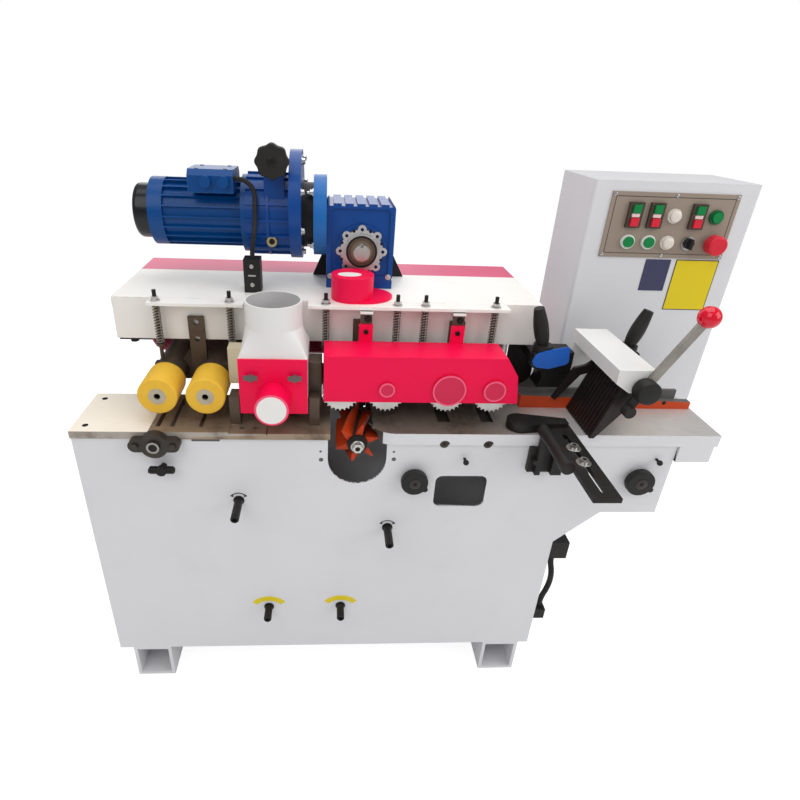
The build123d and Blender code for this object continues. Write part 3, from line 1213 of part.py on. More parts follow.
# Steel fittings on the beam: under plate, gearbox foot and gussets, cover hangers, cable clip
with BuildPart() as beam_brackets:
    under_bottom = BEAM_UNDERSIDE - UNDER_PLATE_THICK
    block(
        (BEAM_LEFT, BEAM_LEFT + UNDER_PLATE_LENGTH),
        (BEAM_FRONT + UNDER_PLATE_INSET, BEAM_BACK - UNDER_PLATE_INSET),
        (under_bottom, BEAM_UNDERSIDE),
    )
    with BuildSketch(facing_up(under_bottom)):
        with Locations((BEAM_LEFT + UNDER_PLATE_LENGTH / 3, BEAM_FRONT + 3 * UNDER_PLATE_INSET)):
            RegularPolygon(UNDER_BOLT_RADIUS, 6)
    extrude(amount=-UNDER_BOLT_HEIGHT)
    block(
        (GEARBOX_LEFT, GEARBOX_RIGHT),
        (GEARBOX_FRONT, BEAM_BACK - GUSSET_MARGIN),
        (BEAM_TOP, GEARBOX_BASE),
    )
    gusset_back = BEAM_BACK - GUSSET_MARGIN
    gusset_sides = ((GEARBOX_LEFT, -LEFT_GUSSET_REACH), (GEARBOX_RIGHT, RIGHT_GUSSET_REACH))
    for gusset_x, gusset_reach in gusset_sides:
        plate(
            facing_front(gusset_back - GUSSET_THICK),
            (
                (gusset_x, BEAM_TOP),
                (gusset_x + gusset_reach, BEAM_TOP),
                (gusset_x, BEAM_TOP + GUSSET_HEIGHT),
            ),
            -GUSSET_THICK,
        )
    for tab_x in COVER_TAB_X:
        block(
            (tab_x - HANGER_WIDTH / 2, tab_x + HANGER_WIDTH / 2),
            (HANGER_FRONT, HANGER_FRONT + HANGER_THICK),
            (FLANGE_UNDERSIDE - HANGER_DROP, FLANGE_UNDERSIDE),
        )
    block(
        (VARIATOR_LEFT - CLIP_LEAD, VARIATOR_LEFT - CLIP_LEAD + CLIP_LENGTH),
        (BEAM_FRONT + CLIP_SETBACK, BEAM_FRONT + CLIP_SETBACK + CLIP_DEPTH),
        (BEAM_TOP, BEAM_TOP + CLIP_HEIGHT),
    )
save(beam_brackets, "beam_brackets")

# Shaft guard in front of the gearbox: a round cover on an oval foot
with BuildPart() as shaft_guard:
    with BuildSketch(facing_up(BEAM_TOP)):
        foot_x = SHAFT_GUARD_X + SHAFT_GUARD_BASE_LENGTH / 2 - SHAFT_GUARD_RADIUS
        with Locations((foot_x, SHAFT_GUARD_FRONT + SHAFT_GUARD_BASE_WIDTH / 2)):
            Ellipse(SHAFT_GUARD_BASE_LENGTH / 2, SHAFT_GUARD_BASE_WIDTH / 2)
    extrude(amount=SHEET)
    guard_y = SHAFT_GUARD_FRONT + SHAFT_GUARD_RADIUS
    rod_z(SHAFT_GUARD_X, guard_y, SHAFT_GUARD_RADIUS, BEAM_TOP, BEAM_TOP + SHAFT_GUARD_HEIGHT)
save(shaft_guard, "shaft_guard")

# Worm gearbox with its input disc and the lobed output flange
with BuildPart() as worm_gearbox:
    with BuildSketch(facing_front(GEARBOX_FRONT)):
        with Locations(((GEARBOX_LEFT + GEARBOX_RIGHT) / 2, GEARBOX_BASE + GEARBOX_HEIGHT / 2)):
            RectangleRounded(GEARBOX_LENGTH, GEARBOX_HEIGHT, GEARBOX_CORNER)
    extrude(amount=-GEARBOX_DEPTH)
    # Recessed faces inside a rim, with a round boss at the output, and grooves across the top
    for face_front in (GEARBOX_FRONT, GEARBOX_BACK - GEARBOX_RECESS):
        with BuildSketch(facing_front(face_front)):
            with Locations(((GEARBOX_LEFT + GEARBOX_RIGHT) / 2, GEARBOX_BASE + GEARBOX_HEIGHT / 2)):
                RectangleRounded(
                    GEARBOX_LENGTH - 2 * GEARBOX_RIM,
                    GEARBOX_HEIGHT - 2 * GEARBOX_RIM,
                    GEARBOX_RIM,
                )
            with Locations((OUTPUT_X, OUTPUT_Z)):
                Circle(OUTPUT_FLANGE_RADIUS, mode=Mode.SUBTRACT)
        extrude(amount=-GEARBOX_RECESS, mode=Mode.SUBTRACT)
    gearbox_top = GEARBOX_BASE + GEARBOX_HEIGHT
    slot_pitch = (GEARBOX_LENGTH - 2 * GEARBOX_CORNER) / (GEARBOX_SLOTS - 1)
    for slot in range(GEARBOX_SLOTS):
        slot_x = GEARBOX_LEFT + GEARBOX_CORNER + slot * slot_pitch
        block(
            (slot_x - GEARBOX_SLOT_WIDTH / 2, slot_x + GEARBOX_SLOT_WIDTH / 2),
            (GEARBOX_FRONT, GEARBOX_BACK),
            (gearbox_top - GEARBOX_SLOT_DEPTH, gearbox_top),
            mode=Mode.SUBTRACT,
        )
    rod_x(MOTOR_Y, DRIVE_AXIS, DISC_RADIUS, DISC_LEFT, GEARBOX_LEFT)
    with BuildSketch(facing_front(GEARBOX_FRONT - OUTPUT_FLANGE_THICK)):
        with Locations((OUTPUT_X, OUTPUT_Z)):
            Circle(OUTPUT_FLANGE_RADIUS - OUTPUT_LOBE_RADIUS)
            with PolarLocations(OUTPUT_FLANGE_RADIUS - OUTPUT_LOBE_RADIUS, OUTPUT_FLANGE_LOBES):
                Circle(OUTPUT_LOBE_RADIUS)
                Circle(OUTPUT_HOLE_RADIUS, mode=Mode.SUBTRACT)
    extrude(amount=-OUTPUT_FLANGE_THICK)
    rod_y(
        OUTPUT_X,
        OUTPUT_Z,
        OUTPUT_RING_RADIUS,
        GEARBOX_FRONT - OUTPUT_FLANGE_THICK - OUTPUT_RING_THICK,
        GEARBOX_FRONT,
    )
    rod_y(
        OUTPUT_X,
        OUTPUT_Z,
        OUTPUT_SHAFT_RADIUS + RUNNING_CLEARANCE,
        GEARBOX_FRONT - OUTPUT_FLANGE_THICK - OUTPUT_RING_THICK,
        GEARBOX_BACK,
        Mode.SUBTRACT,
    )
save(worm_gearbox, "worm_gearbox")

# Output shaft of the gearbox, with a keyway in its front end
with BuildPart() as output_shaft:
    shaft_front = GEARBOX_FRONT - OUTPUT_FLANGE_THICK - OUTPUT_RING_THICK - OUTPUT_SHAFT_REACH
    rod_y(OUTPUT_X, OUTPUT_Z, OUTPUT_SHAFT_RADIUS, shaft_front, GEARBOX_BACK + OUTPUT_SHAFT_REACH)
    block(
        (OUTPUT_X - OUTPUT_SHAFT_RADIUS / 6, OUTPUT_X + OUTPUT_SHAFT_RADIUS / 6),
        (shaft_front, shaft_front + OUTPUT_SHAFT_REACH),
        (OUTPUT_Z + 2 * OUTPUT_SHAFT_RADIUS / 3, OUTPUT_Z + OUTPUT_SHAFT_RADIUS),
        mode=Mode.SUBTRACT,
    )
save(output_shaft, "output_shaft")

# Variator with its raised flange, the boss of the speed knob and the adapter to the gearbox
STAR_KNOB_Z = DRIVE_AXIS + STAR_KNOB_RISE
STAR_BORE = STAR_STEM_RADIUS + RUNNING_CLEARANCE
with BuildPart() as variator_housing:
    rod_x(MOTOR_Y, DRIVE_AXIS, VARIATOR_RADIUS, VARIATOR_LEFT, VARIATOR_RIGHT)
    # Ribs along the drum and the ring where its two halves meet
    with BuildSketch(facing_right(VARIATOR_LEFT)):
        with Locations((MOTOR_Y, DRIVE_AXIS)):
            with PolarLocations(VARIATOR_RADIUS, VARIATOR_RIBS):
                Rectangle(2 * VARIATOR_RIB_HEIGHT, VARIATOR_RIB_THICK)
    extrude(amount=VARIATOR_LENGTH)
    ring_left = (VARIATOR_LEFT + VARIATOR_RIGHT - VARIATOR_RING_LENGTH) / 2
    rod_x(
        MOTOR_Y,
        DRIVE_AXIS,
        VARIATOR_RADIUS + VARIATOR_RIB_HEIGHT,
        ring_left,
        ring_left + VARIATOR_RING_LENGTH,
    )
    rod_x(
        MOTOR_Y,
        DRIVE_AXIS + VARIATOR_FLANGE_LIFT,
        VARIATOR_FLANGE_RADIUS,
        VARIATOR_RIGHT,
        ADAPTER_LEFT,
    )
    rod_x(MOTOR_Y, DRIVE_AXIS, ADAPTER_RADIUS, ADAPTER_LEFT, DISC_LEFT)
    block(
        (STAR_KNOB_X - STAR_BOSS_WIDTH / 2, STAR_KNOB_X + STAR_BOSS_WIDTH / 2),
        (STAR_BOSS_FRONT, MOTOR_Y),
        (DRIVE_AXIS, STAR_KNOB_Z + STAR_BOSS_WIDTH / 3),
    )
    rod_y(STAR_KNOB_X, STAR_KNOB_Z, STAR_BORE, STAR_BOSS_FRONT, MOTOR_Y, Mode.SUBTRACT)
save(variator_housing, "variator_housing")

# Star knob that sets the speed
with BuildPart() as variator_knob:
    knob_back = STAR_BOSS_FRONT - STAR_STEM_LENGTH
    with BuildSketch(facing_front(knob_back - STAR_KNOB_LENGTH)):
        with Locations((STAR_KNOB_X, STAR_KNOB_Z)):
            Circle(STAR_KNOB_RADIUS - STAR_LOBE_RADIUS / 2)
            with PolarLocations(STAR_KNOB_RADIUS - STAR_LOBE_RADIUS, STAR_KNOB_LOBES):
                Circle(STAR_LOBE_RADIUS)
    extrude(amount=-STAR_KNOB_LENGTH)
    rod_y(STAR_KNOB_X, STAR_KNOB_Z, STAR_STEM_RADIUS, knob_back, MOTOR_Y)
save(variator_knob, "variator_knob")

# Motor: finned body, cowl, fan end and terminal box
with BuildPart() as motor_body:
    rod_x(MOTOR_Y, DRIVE_AXIS, FAN_END_RADIUS, MOTOR_LEFT, MOTOR_LEFT + FAN_END_LENGTH)
    fillet(motor_body.edges().filter_by(GeomType.CIRCLE).sort_by(Axis.X)[0], FAN_EDGE)
    with BuildSketch(facing_right(MOTOR_LEFT)):
        with Locations((MOTOR_Y, DRIVE_AXIS)):
            with PolarLocations(FAN_END_RADIUS / 2, FAN_SLOTS):
                Rectangle(FAN_SLOT_LENGTH, FAN_SLOT_WIDTH)
    extrude(amount=FAN_SLOT_DEPTH, mode=Mode.SUBTRACT)
    rod_x(MOTOR_Y, DRIVE_AXIS, MOTOR_RADIUS - FIN_HEIGHT, MOTOR_LEFT + FAN_END_LENGTH, BODY_RIGHT)
    rod_x(MOTOR_Y, DRIVE_AXIS, MOTOR_RADIUS, COWL_LEFT, BODY_LEFT)
    rod_x(MOTOR_Y, DRIVE_AXIS, MOTOR_FLANGE_RADIUS, BODY_RIGHT, VARIATOR_LEFT)
    with BuildSketch(facing_right(BODY_LEFT)):
        with Locations((MOTOR_Y, DRIVE_AXIS)):
            with PolarLocations(MOTOR_RADIUS - FIN_HEIGHT, MOTOR_FINS):
                Rectangle(2 * FIN_HEIGHT, FIN_THICK)
    extrude(amount=MOTOR_BODY_LENGTH)
    terminal_left = BODY_LEFT + TERMINAL_OFFSET
    terminal_base = DRIVE_AXIS + TERMINAL_RISE
    terminal_top = terminal_base + TERMINAL_HEIGHT
    terminal_front = MOTOR_Y - TERMINAL_DEPTH + PLUG_RADIUS
    terminal_back = MOTOR_Y + PLUG_RADIUS
    plate(
        facing_right(terminal_left),
        (
            (terminal_front, terminal_base),
            (terminal_back, terminal_base),
            (terminal_back, terminal_top - TERMINAL_CHAMFER),
            (terminal_back - TERMINAL_CHAMFER, terminal_top),
            (terminal_front + TERMINAL_CHAMFER, terminal_top),
            (terminal_front, terminal_top - TERMINAL_CHAMFER),
        ),
        TERMINAL_WIDTH,
    )
    plug_front = MOTOR_Y - TERMINAL_DEPTH
    for plug_x in (terminal_left + PLUG_SPACING, terminal_left + 2 * PLUG_SPACING):
        rod_y(plug_x, terminal_top - TERMINAL_HEIGHT / 2, PLUG_RADIUS, plug_front, plug_front + PLUG_RADIUS)
save(motor_body, "motor_body")

# Dust hood: box over the upper cutter, funnel and outlet pipe
HOOD_BOTTOM = TABLE_TOP + HOOD_FOOT_GAP
HOOD_TOP = HOOD_BOTTOM + HOOD_SIDE_HEIGHT
HOOD_BACK = HOOD_FRONT + HOOD_DEPTH
HOOD_MIDDLE = HOOD_FRONT + HOOD_DEPTH / 2
PIPE_BASE = HOOD_TOP + HOOD_FUNNEL_HEIGHT
PIPE_TOP = PIPE_BASE + PIPE_HEIGHT


def funnel(inset, mode):
    """Loft from the rectangle of the hood box to the circle of the pipe, drawn in by the sheet."""
    with BuildSketch(facing_up(HOOD_TOP)) as mouth:
        with Locations((UPPER_CUTTER_X, HOOD_MIDDLE)):
            RectangleRounded(HOOD_WIDTH - 2 * inset, HOOD_DEPTH - 2 * inset, SHEET)
    with BuildSketch(facing_up(PIPE_BASE)) as neck:
        with Locations((UPPER_CUTTER_X, PIPE_Y)):
            Circle(PIPE_RADIUS - inset)
    loft([mouth.sketch, neck.sketch], mode=mode)


with BuildPart() as dust_hood:
    block((HOOD_LEFT, HOOD_RIGHT), (HOOD_FRONT, HOOD_BACK), (HOOD_BOTTOM, HOOD_TOP))
    funnel(0, Mode.ADD)
    rod_z(UPPER_CUTTER_X, PIPE_Y, PIPE_RADIUS, PIPE_BASE, PIPE_TOP)
    block(
        (HOOD_LEFT + SHEET, HOOD_RIGHT - SHEET),
        (HOOD_FRONT, HOOD_BACK - SHEET),
        (HOOD_BOTTOM, HOOD_TOP),
        mode=Mode.SUBTRACT,
    )
    funnel(SHEET, Mode.SUBTRACT)
    rod_z(UPPER_CUTTER_X, PIPE_Y, PIPE_RADIUS - SHEET, PIPE_BASE, PIPE_TOP, Mode.SUBTRACT)
    # Hole for the cutter shaft, stay to the pedestal and the block on the left side
    rod_y(
        UPPER_CUTTER_X,
        UPPER_CUTTER_AXIS,
        CUTTER_SHAFT_RADIUS + CUTTER_TABLE_GAP,
        HOOD_BACK - SHEET,
        HOOD_BACK,
        Mode.SUBTRACT,
    )
    block(
        (UPPER_CUTTER_X - HOOD_STAY_WIDTH / 2, UPPER_CUTTER_X + HOOD_STAY_WIDTH / 2),
        (HOOD_BACK, PEDESTAL_FRONT),
        (UPPER_CUTTER_AXIS + HOOD_STAY_RISE, UPPER_CUTTER_AXIS + HOOD_STAY_RISE + HOOD_STAY_THICK),
    )
    block(
        (HOOD_LEFT - HOOD_BLOCK_LENGTH, HOOD_LEFT),
        (HOOD_BLOCK_FRONT, HOOD_BLOCK_FRONT + HOOD_BLOCK_DEPTH),
        (HOOD_TOP - HOOD_BLOCK_HEIGHT, HOOD_TOP),
    )
save(dust_hood, "dust_hood")

# Front plate of the hood with the round nose and two wing bolts
with BuildPart() as hood_front:
    plate_front = HOOD_FRONT - SHEET
    block((HOOD_LEFT, HOOD_RIGHT), (plate_front, HOOD_FRONT), (HOOD_BOTTOM, HOOD_TOP))
    rod_y(UPPER_CUTTER_X, UPPER_CUTTER_AXIS, NOSE_RADIUS, plate_front - NOSE_LENGTH, plate_front)
    rod_y(
        UPPER_CUTTER_X,
        UPPER_CUTTER_AXIS,
        NOSE_DISC_RADIUS,
        plate_front - NOSE_LENGTH - NOSE_DISC_THICK,
        plate_front - NOSE_LENGTH,
    )
    for side in (-1, 1):
        bolt_x = UPPER_CUTTER_X + side * WING_BOLT_SPACING / 2
        bolt_z = HOOD_TOP - WING_BOLT_DROP
        rod_y(bolt_x, bolt_z, WING_BOLT_RADIUS, plate_front - WING_BOLT_REACH, plate_front)
        block(
            (bolt_x - WING_WIDTH / 2, bolt_x + WING_WIDTH / 2),
            (plate_front - WING_BOLT_REACH, plate_front - WING_BOLT_REACH + WING_THICK),
            (bolt_z - WING_THICK / 2, bolt_z + WING_BOLT_RADIUS),
        )
save(hood_front, "hood_front")

# Fence: tapered bar, angle behind it, casting of the clamp grip and post of the second grip
GRIP_BASE = TABLE_TOP + CASTING_HEIGHT
POST_TOP = TABLE_TOP + FENCE_POST_HEIGHT
FENCE_BACK = FENCE_FRONT + FENCE_THICK
ANGLE_BACK = FENCE_BACK + ANGLE_THICK
CASTING_BACK = ANGLE_BACK + CASTING_DEPTH
GRIP_BORE = GRIP_STEM_RADIUS + RUNNING_CLEARANCE
POST_Y = ANGLE_BACK + FENCE_POST_DEPTH / 2
with BuildPart() as fence:
    plate(
        facing_front(FENCE_FRONT),
        (
            (FENCE_LEFT, TABLE_TOP),
            (FENCE_LEFT + FENCE_LENGTH, TABLE_TOP),
            (FENCE_LEFT + FENCE_LENGTH, TABLE_TOP + FENCE_END_HEIGHT),
            (FENCE_LEFT, TABLE_TOP + FENCE_HEIGHT),
        ),
        -FENCE_THICK,
    )
    block(
        (FENCE_LEFT, FENCE_LEFT + FENCE_LENGTH - FENCE_HEIGHT),
        (FENCE_BACK, ANGLE_BACK),
        (TABLE_TOP, TABLE_TOP + ANGLE_HEIGHT),
    )
    block(
        (CASTING_LEFT, CASTING_LEFT + CASTING_WIDTH),
        (ANGLE_BACK, CASTING_BACK),
        (TABLE_TOP, GRIP_BASE - GRIP_WASHER_THICK),
    )
    rod_y(
        CASTING_LEFT - CASTING_HOLLOW_INSET,
        TABLE_TOP + CASTING_HOLLOW_RISE,
        CASTING_HOLLOW,
        ANGLE_BACK,
        CASTING_BACK,
        Mode.SUBTRACT,
    )
    rod_z(GRIP_X, GRIP_Y, GRIP_WASHER_RADIUS, GRIP_BASE - ARM_DEPTH, GRIP_BASE)
    block(
        (GRIP_X - GRIP_WASHER_RADIUS, GRIP_X + GRIP_WASHER_RADIUS),
        (GRIP_Y, ANGLE_BACK),
        (GRIP_BASE - ARM_DEPTH, GRIP_BASE - GRIP_WASHER_THICK),
    )
    block(
        (FENCE_POST_X - FENCE_POST_WIDTH / 2, FENCE_POST_X + FENCE_POST_WIDTH / 2),
        (ANGLE_BACK, ANGLE_BACK + FENCE_POST_DEPTH),
        (TABLE_TOP, POST_TOP),
    )
    rod_z(GRIP_X, GRIP_Y, GRIP_BORE, GRIP_BASE - GRIP_STEM_DEPTH, GRIP_BASE, Mode.SUBTRACT)
    rod_z(FENCE_POST_X, POST_Y, GRIP_BORE, POST_TOP - GRIP_STEM_DEPTH, POST_TOP, Mode.SUBTRACT)
save(fence, "fence")


def clamp_grip(x, y, base, lean):
    """Upright stem, washer and a leaning bellied grip, lean in degrees to the left."""
    seat = base + SLIDE_CLEARANCE
    rod_z(x, y, GRIP_STEM_RADIUS, base - GRIP_STEM_DEPTH + SLIDE_CLEARANCE, seat + GRIP_WASHER_THICK)
    rod_z(x, y, GRIP_WASHER_RADIUS, seat, seat + GRIP_WASHER_THICK)
    direction = Vector(-sin(radians(lean)), 0, cos(radians(lean)))
    root = Vector(*place(x, y, seat + GRIP_WASHER_THICK / 2))
    rings = (
        (0, GRIP_NECK_RADIUS),
        (GRIP_BELLY[0] * GRIP_LENGTH, GRIP_RADIUS),
        (GRIP_BELLY[1] * GRIP_LENGTH, GRIP_RADIUS),
        (GRIP_LENGTH, GRIP_TIP_RADIUS),
    )
    sections = []
    for along, radius in rings:
        with BuildSketch(Plane(origin=root + direction * along, x_dir=(0, 1, 0), z_dir=direction)) as ring:
            Circle(radius)
        sections.append(ring.sketch)
    loft(sections)


with BuildPart() as lift_handle:
    clamp_grip(GRIP_X, GRIP_Y, GRIP_BASE, GRIP_LEAN)
save(lift_handle, "lift_handle")

with BuildPart() as fence_clamp:
    clamp_grip(FENCE_POST_X, POST_Y, POST_TOP, -GRIP_LEAN)
save(fence_clamp, "fence_clamp")

# Kickback guard: cover on a rear leg, with a front plate that carries the finger pivot
GUARD_TOP = TABLE_TOP + GUARD_TOP_RISE
GUARD_RIGHT = GUARD_LEFT + GUARD_WIDTH
GUARD_BACK = GUARD_FRONT + GUARD_DEPTH
PIVOT_Z = TABLE_TOP + FINGER_PIVOT_RISE
PIVOT_BORE = FINGER_PIVOT_RADIUS + RUNNING_CLEARANCE
with BuildPart() as kickback_cover:
    block((GUARD_LEFT, GUARD_RIGHT), (GUARD_FRONT, GUARD_BACK), (GUARD_TOP - SHEET, GUARD_TOP))
    block((GUARD_LEFT, GUARD_LEFT + SHEET), (GUARD_FRONT, GUARD_BACK), (GUARD_TOP - GUARD_SKIRT, GUARD_TOP))
    block((GUARD_LEFT, GUARD_RIGHT), (GUARD_BACK - GUARD_LEG_THICK, GUARD_BACK), (TABLE_TOP, GUARD_TOP))
    plate(
        facing_front(GUARD_FRONT),
        (
            (GUARD_LEFT, GUARD_TOP),
            (GUARD_LEFT, GUARD_TOP - GUARD_SKIRT),
            (FINGER_PIVOT_X - FINGER_HUB_RADIUS, PIVOT_Z - FINGER_HUB_RADIUS / 2),
            (FINGER_PIVOT_X + FINGER_HUB_RADIUS / 2, PIVOT_Z - FINGER_HUB_RADIUS / 2),
            (GUARD_RIGHT, GUARD_TOP - GUARD_SKIRT),
            (GUARD_RIGHT, GUARD_TOP),
        ),
        -GUARD_FRONT_THICK,
    )
    rod_y(FINGER_PIVOT_X, PIVOT_Z, PIVOT_BORE, GUARD_FRONT, GUARD_BACK, Mode.SUBTRACT)
save(kickback_cover, "kickback_cover")

# Kickback fingers on their pivot, with the lifting lever and its ball
TIP_X = FINGER_PIVOT_X - FINGER_TIP_REACH
TIP_Z = TABLE_TOP + FINGER_TIP_GAP
LEVER_FRONT = GUARD_FRONT - SLIDE_CLEARANCE - LEVER_THICK
with BuildPart() as kickback_fingers:
    rod_y(FINGER_PIVOT_X, PIVOT_Z, FINGER_PIVOT_RADIUS, LEVER_FRONT, GUARD_BACK)
    rod_y(
        FINGER_PIVOT_X,
        PIVOT_Z,
        FINGER_HUB_RADIUS / 2,
        FINGER_FRONT,
        FINGER_FRONT + FINGER_COUNT * FINGER_PITCH,
    )
    for finger in range(FINGER_COUNT):
        finger_front = FINGER_FRONT + finger * FINGER_PITCH
        plate(
            facing_front(finger_front),
            (
                (FINGER_PIVOT_X + FINGER_HUB_RADIUS / 2, PIVOT_Z + FINGER_HUB_RADIUS / 2),
                (FINGER_PIVOT_X - FINGER_HUB_RADIUS, PIVOT_Z + FINGER_HUB_RADIUS / 2),
                (TIP_X, TIP_Z),
                (TIP_X + FINGER_THICK, TIP_Z),
                (FINGER_PIVOT_X + FINGER_HUB_RADIUS / 2, PIVOT_Z - FINGER_HUB_RADIUS),
            ),
            -FINGER_THICK,
        )
    # Flat lever in front of the cover
    lever_angle = degrees(atan2(LEVER_RISE, LEVER_REACH))
    lever_length = sqrt(LEVER_RISE**2 + LEVER_REACH**2)
    with BuildSketch(facing_front(LEVER_FRONT)):
        with Locations((FINGER_PIVOT_X, PIVOT_Z)):
            Circle(LEVER_WIDTH)
        with Locations((FINGER_PIVOT_X + LEVER_REACH / 2, PIVOT_Z + LEVER_RISE / 2)):
            Rectangle(lever_length, LEVER_WIDTH, rotation=lever_angle)
    extrude(amount=-LEVER_THICK)
    with Locations(place(FINGER_PIVOT_X + LEVER_REACH, LEVER_FRONT + LEVER_THICK / 2, PIVOT_Z + LEVER_RISE)):
        Sphere(LEVER_BALL_RADIUS)
save(kickback_fingers, "kickback_fingers")

# Side pressure shoe: slotted bar that slides towards the work, with a rounded horn on its inner end
BAR_BOTTOM = TABLE_TOP + SLIDE_CLEARANCE
BAR_TOP = BAR_BOTTOM + SHOE_BAR_THICK
SLOT_FRONT = SHOE_BAR_FRONT + SHOE_SLOT_FRONT_MARGIN
with BuildPart() as pressure_shoe:
    block(
        (SHOE_BAR_X - SHOE_BAR_WIDTH / 2, SHOE_BAR_X + SHOE_BAR_WIDTH / 2),
        (SHOE_BAR_FRONT, SHOE_BAR_BACK),
        (BAR_BOTTOM, BAR_TOP),
    )
    with BuildSketch(facing_up(BAR_BOTTOM)):
        with Locations((SHOE_BAR_X, SLOT_FRONT + SHOE_SLOT_LENGTH / 2)):
            SlotOverall(SHOE_SLOT_LENGTH, SHOE_SLOT_WIDTH, rotation=90)
    extrude(amount=SHOE_BAR_THICK, mode=Mode.SUBTRACT)
    with BuildSketch(facing_up(BAR_BOTTOM)):
        horn_x = SHOE_PADDLE_LEFT + SHOE_HORN_SETBACK
        with BuildLine():
            Polyline(
                (horn_x, SHOE_HORN_RADIUS + SHOE_HORN_RADIUS),
                (horn_x, 0),
                (SHOE_PADDLE_LEFT + SHOE_PADDLE_LENGTH, SHOE_BAR_BACK - SHOE_PADDLE_THICK),
                (SHOE_PADDLE_LEFT + SHOE_PADDLE_LENGTH, SHOE_BAR_BACK),
                close=True,
            )
        make_face()
        with Locations((horn_x, SHOE_HORN_RADIUS)):
            Circle(SHOE_HORN_RADIUS)
    extrude(amount=SHOE_PADDLE_HEIGHT)
save(pressure_shoe, "pressure_shoe")

# Brackets on the panel: flange bearing of the outfeed and the carrier of the pressure shoe
BRACKET_TOP = INFEED_SEAT - SLIDE_CLEARANCE
BRACKET_RIGHT = BRACKET_LEFT + BRACKET_WIDTH
BARREL_Z = TABLE_TOP - BARREL_RADIUS
BARREL_FRONT = TABLE_FRONT - BARREL_REACH
BEARING_BACK = TABLE_FRONT - SLIDE_CLEARANCE
with BuildPart() as panel_brackets:
    # Carrier: wall plate, arm under the bar and two clamp screws through its slot
    block((BRACKET_LEFT, BRACKET_RIGHT), (-BRACKET_THICK, 0), (BRACKET_TOP - BRACKET_HEIGHT, BRACKET_TOP))
    rod_y(
        BRACKET_LEFT + BARREL_RADIUS,
        BRACKET_TOP - BRACKET_HEIGHT / 2,
        BARREL_RADIUS / 2,
        -2 * BRACKET_THICK,
        0,
    )
    block(
        (SHOE_BAR_X - BARREL_RADIUS, SHOE_BAR_X + BARREL_RADIUS),
        (-2 * BRACKET_THICK, -BRACKET_THICK),
        (BRACKET_TOP - BRACKET_HEIGHT, BARREL_Z),
    )
    rod_y(SHOE_BAR_X, BARREL_Z, BARREL_RADIUS, BARREL_FRONT, -BRACKET_THICK)
    for clamp_y in SHOE_CLAMP_Y:
        rod_z(SHOE_BAR_X, clamp_y, CLAMP_STUD_RADIUS, BARREL_Z, BAR_TOP + SLIDE_CLEARANCE)
        head_base = BAR_TOP + SLIDE_CLEARANCE
        rod_z(SHOE_BAR_X, clamp_y, CLAMP_HEAD_RADIUS, head_base, head_base + CLAMP_HEAD_HEIGHT)
    # Spring barrel beside the bar, its plunger towards the horn and its end knob
    plunger_x = SHOE_BAR_X - PLUNGER_OFFSET
    plunger_z = TABLE_TOP + PLUNGER_RISE
    barrel_back = TABLE_FRONT - SLIDE_CLEARANCE
    barrel_front = barrel_back - PLUNGER_BARREL_LENGTH
    rod_y(plunger_x, plunger_z, PLUNGER_BARREL_RADIUS, barrel_front, barrel_back)
    rod_y(plunger_x, plunger_z, PLUNGER_PIN_RADIUS, barrel_back, 0)
    rod_y(plunger_x, plunger_z, LOCK_KNOB_RADIUS, barrel_front - LOCK_KNOB_LENGTH, barrel_front)
    block(
        (plunger_x - BARREL_RADIUS / 2, plunger_x + BARREL_RADIUS / 2),
        (-2 * BRACKET_THICK, -BRACKET_THICK),
        (BRACKET_TOP - BRACKET_HEIGHT, plunger_z),
    )
    # Flange bearing with its two bolts, on a pad below the end plate
    bearing_front = BEARING_BACK - BEARING_THICK
    with BuildSketch(facing_front(bearing_front)):
        with Locations((BEARING_X, BEARING_Z)):
            Circle(BEARING_RADIUS)
            SlotCenterToCenter(BEARING_BOLT_SPAN, BEARING_RADIUS)
    extrude(amount=-BEARING_THICK)
    rod_y(BEARING_X, BEARING_Z, BEARING_SHAFT_RADIUS, bearing_front - WALL, bearing_front)
    for side in (-1, 1):
        hex_nut_y(
            BEARING_X + side * BEARING_BOLT_SPAN / 2,
            BEARING_Z,
            NUT_RADIUS,
            bearing_front - WALL,
            bearing_front,
        )
    block(
        (BEARING_X - BEARING_BOLT_SPAN / 2, BEARING_X + BEARING_BOLT_SPAN / 2),
        (BEARING_BACK, 0),
        (BEARING_Z - BEARING_RADIUS / 2, BED_TOP),
    )
    # Junction box of the conduit and the gland where it enters the base again
    conduit_top = CONDUIT_POINTS[0]
    conduit_end = CONDUIT_POINTS[-1]
    for gland_length, gland_depth, gland_low, gland_high in (
        (GLAND_LENGTH, conduit_top[1], conduit_top[2], conduit_top[2] + GLAND_HEIGHT),
        (LOWER_GLAND_LENGTH, conduit_end[1], conduit_end[2] - LOWER_GLAND_HEIGHT, conduit_end[2]),
    ):
        block(
            (BED_FOOT_LENGTH, BED_FOOT_LENGTH + gland_length),
            (gland_depth - GLAND_DEPTH / 2, gland_depth + GLAND_DEPTH / 2),
            (gland_low, gland_high),
        )
    # Ball-headed lock studs
    for stud_x, stud_z in BALL_STUDS:
        rod_y(stud_x, stud_z, BALL_STUD_RADIUS / 2, -BALL_STUD_REACH, 0)
        with Locations(place(stud_x, -BALL_STUD_REACH, stud_z)):
            Sphere(BALL_STUD_RADIUS)
save(panel_brackets, "panel_brackets")

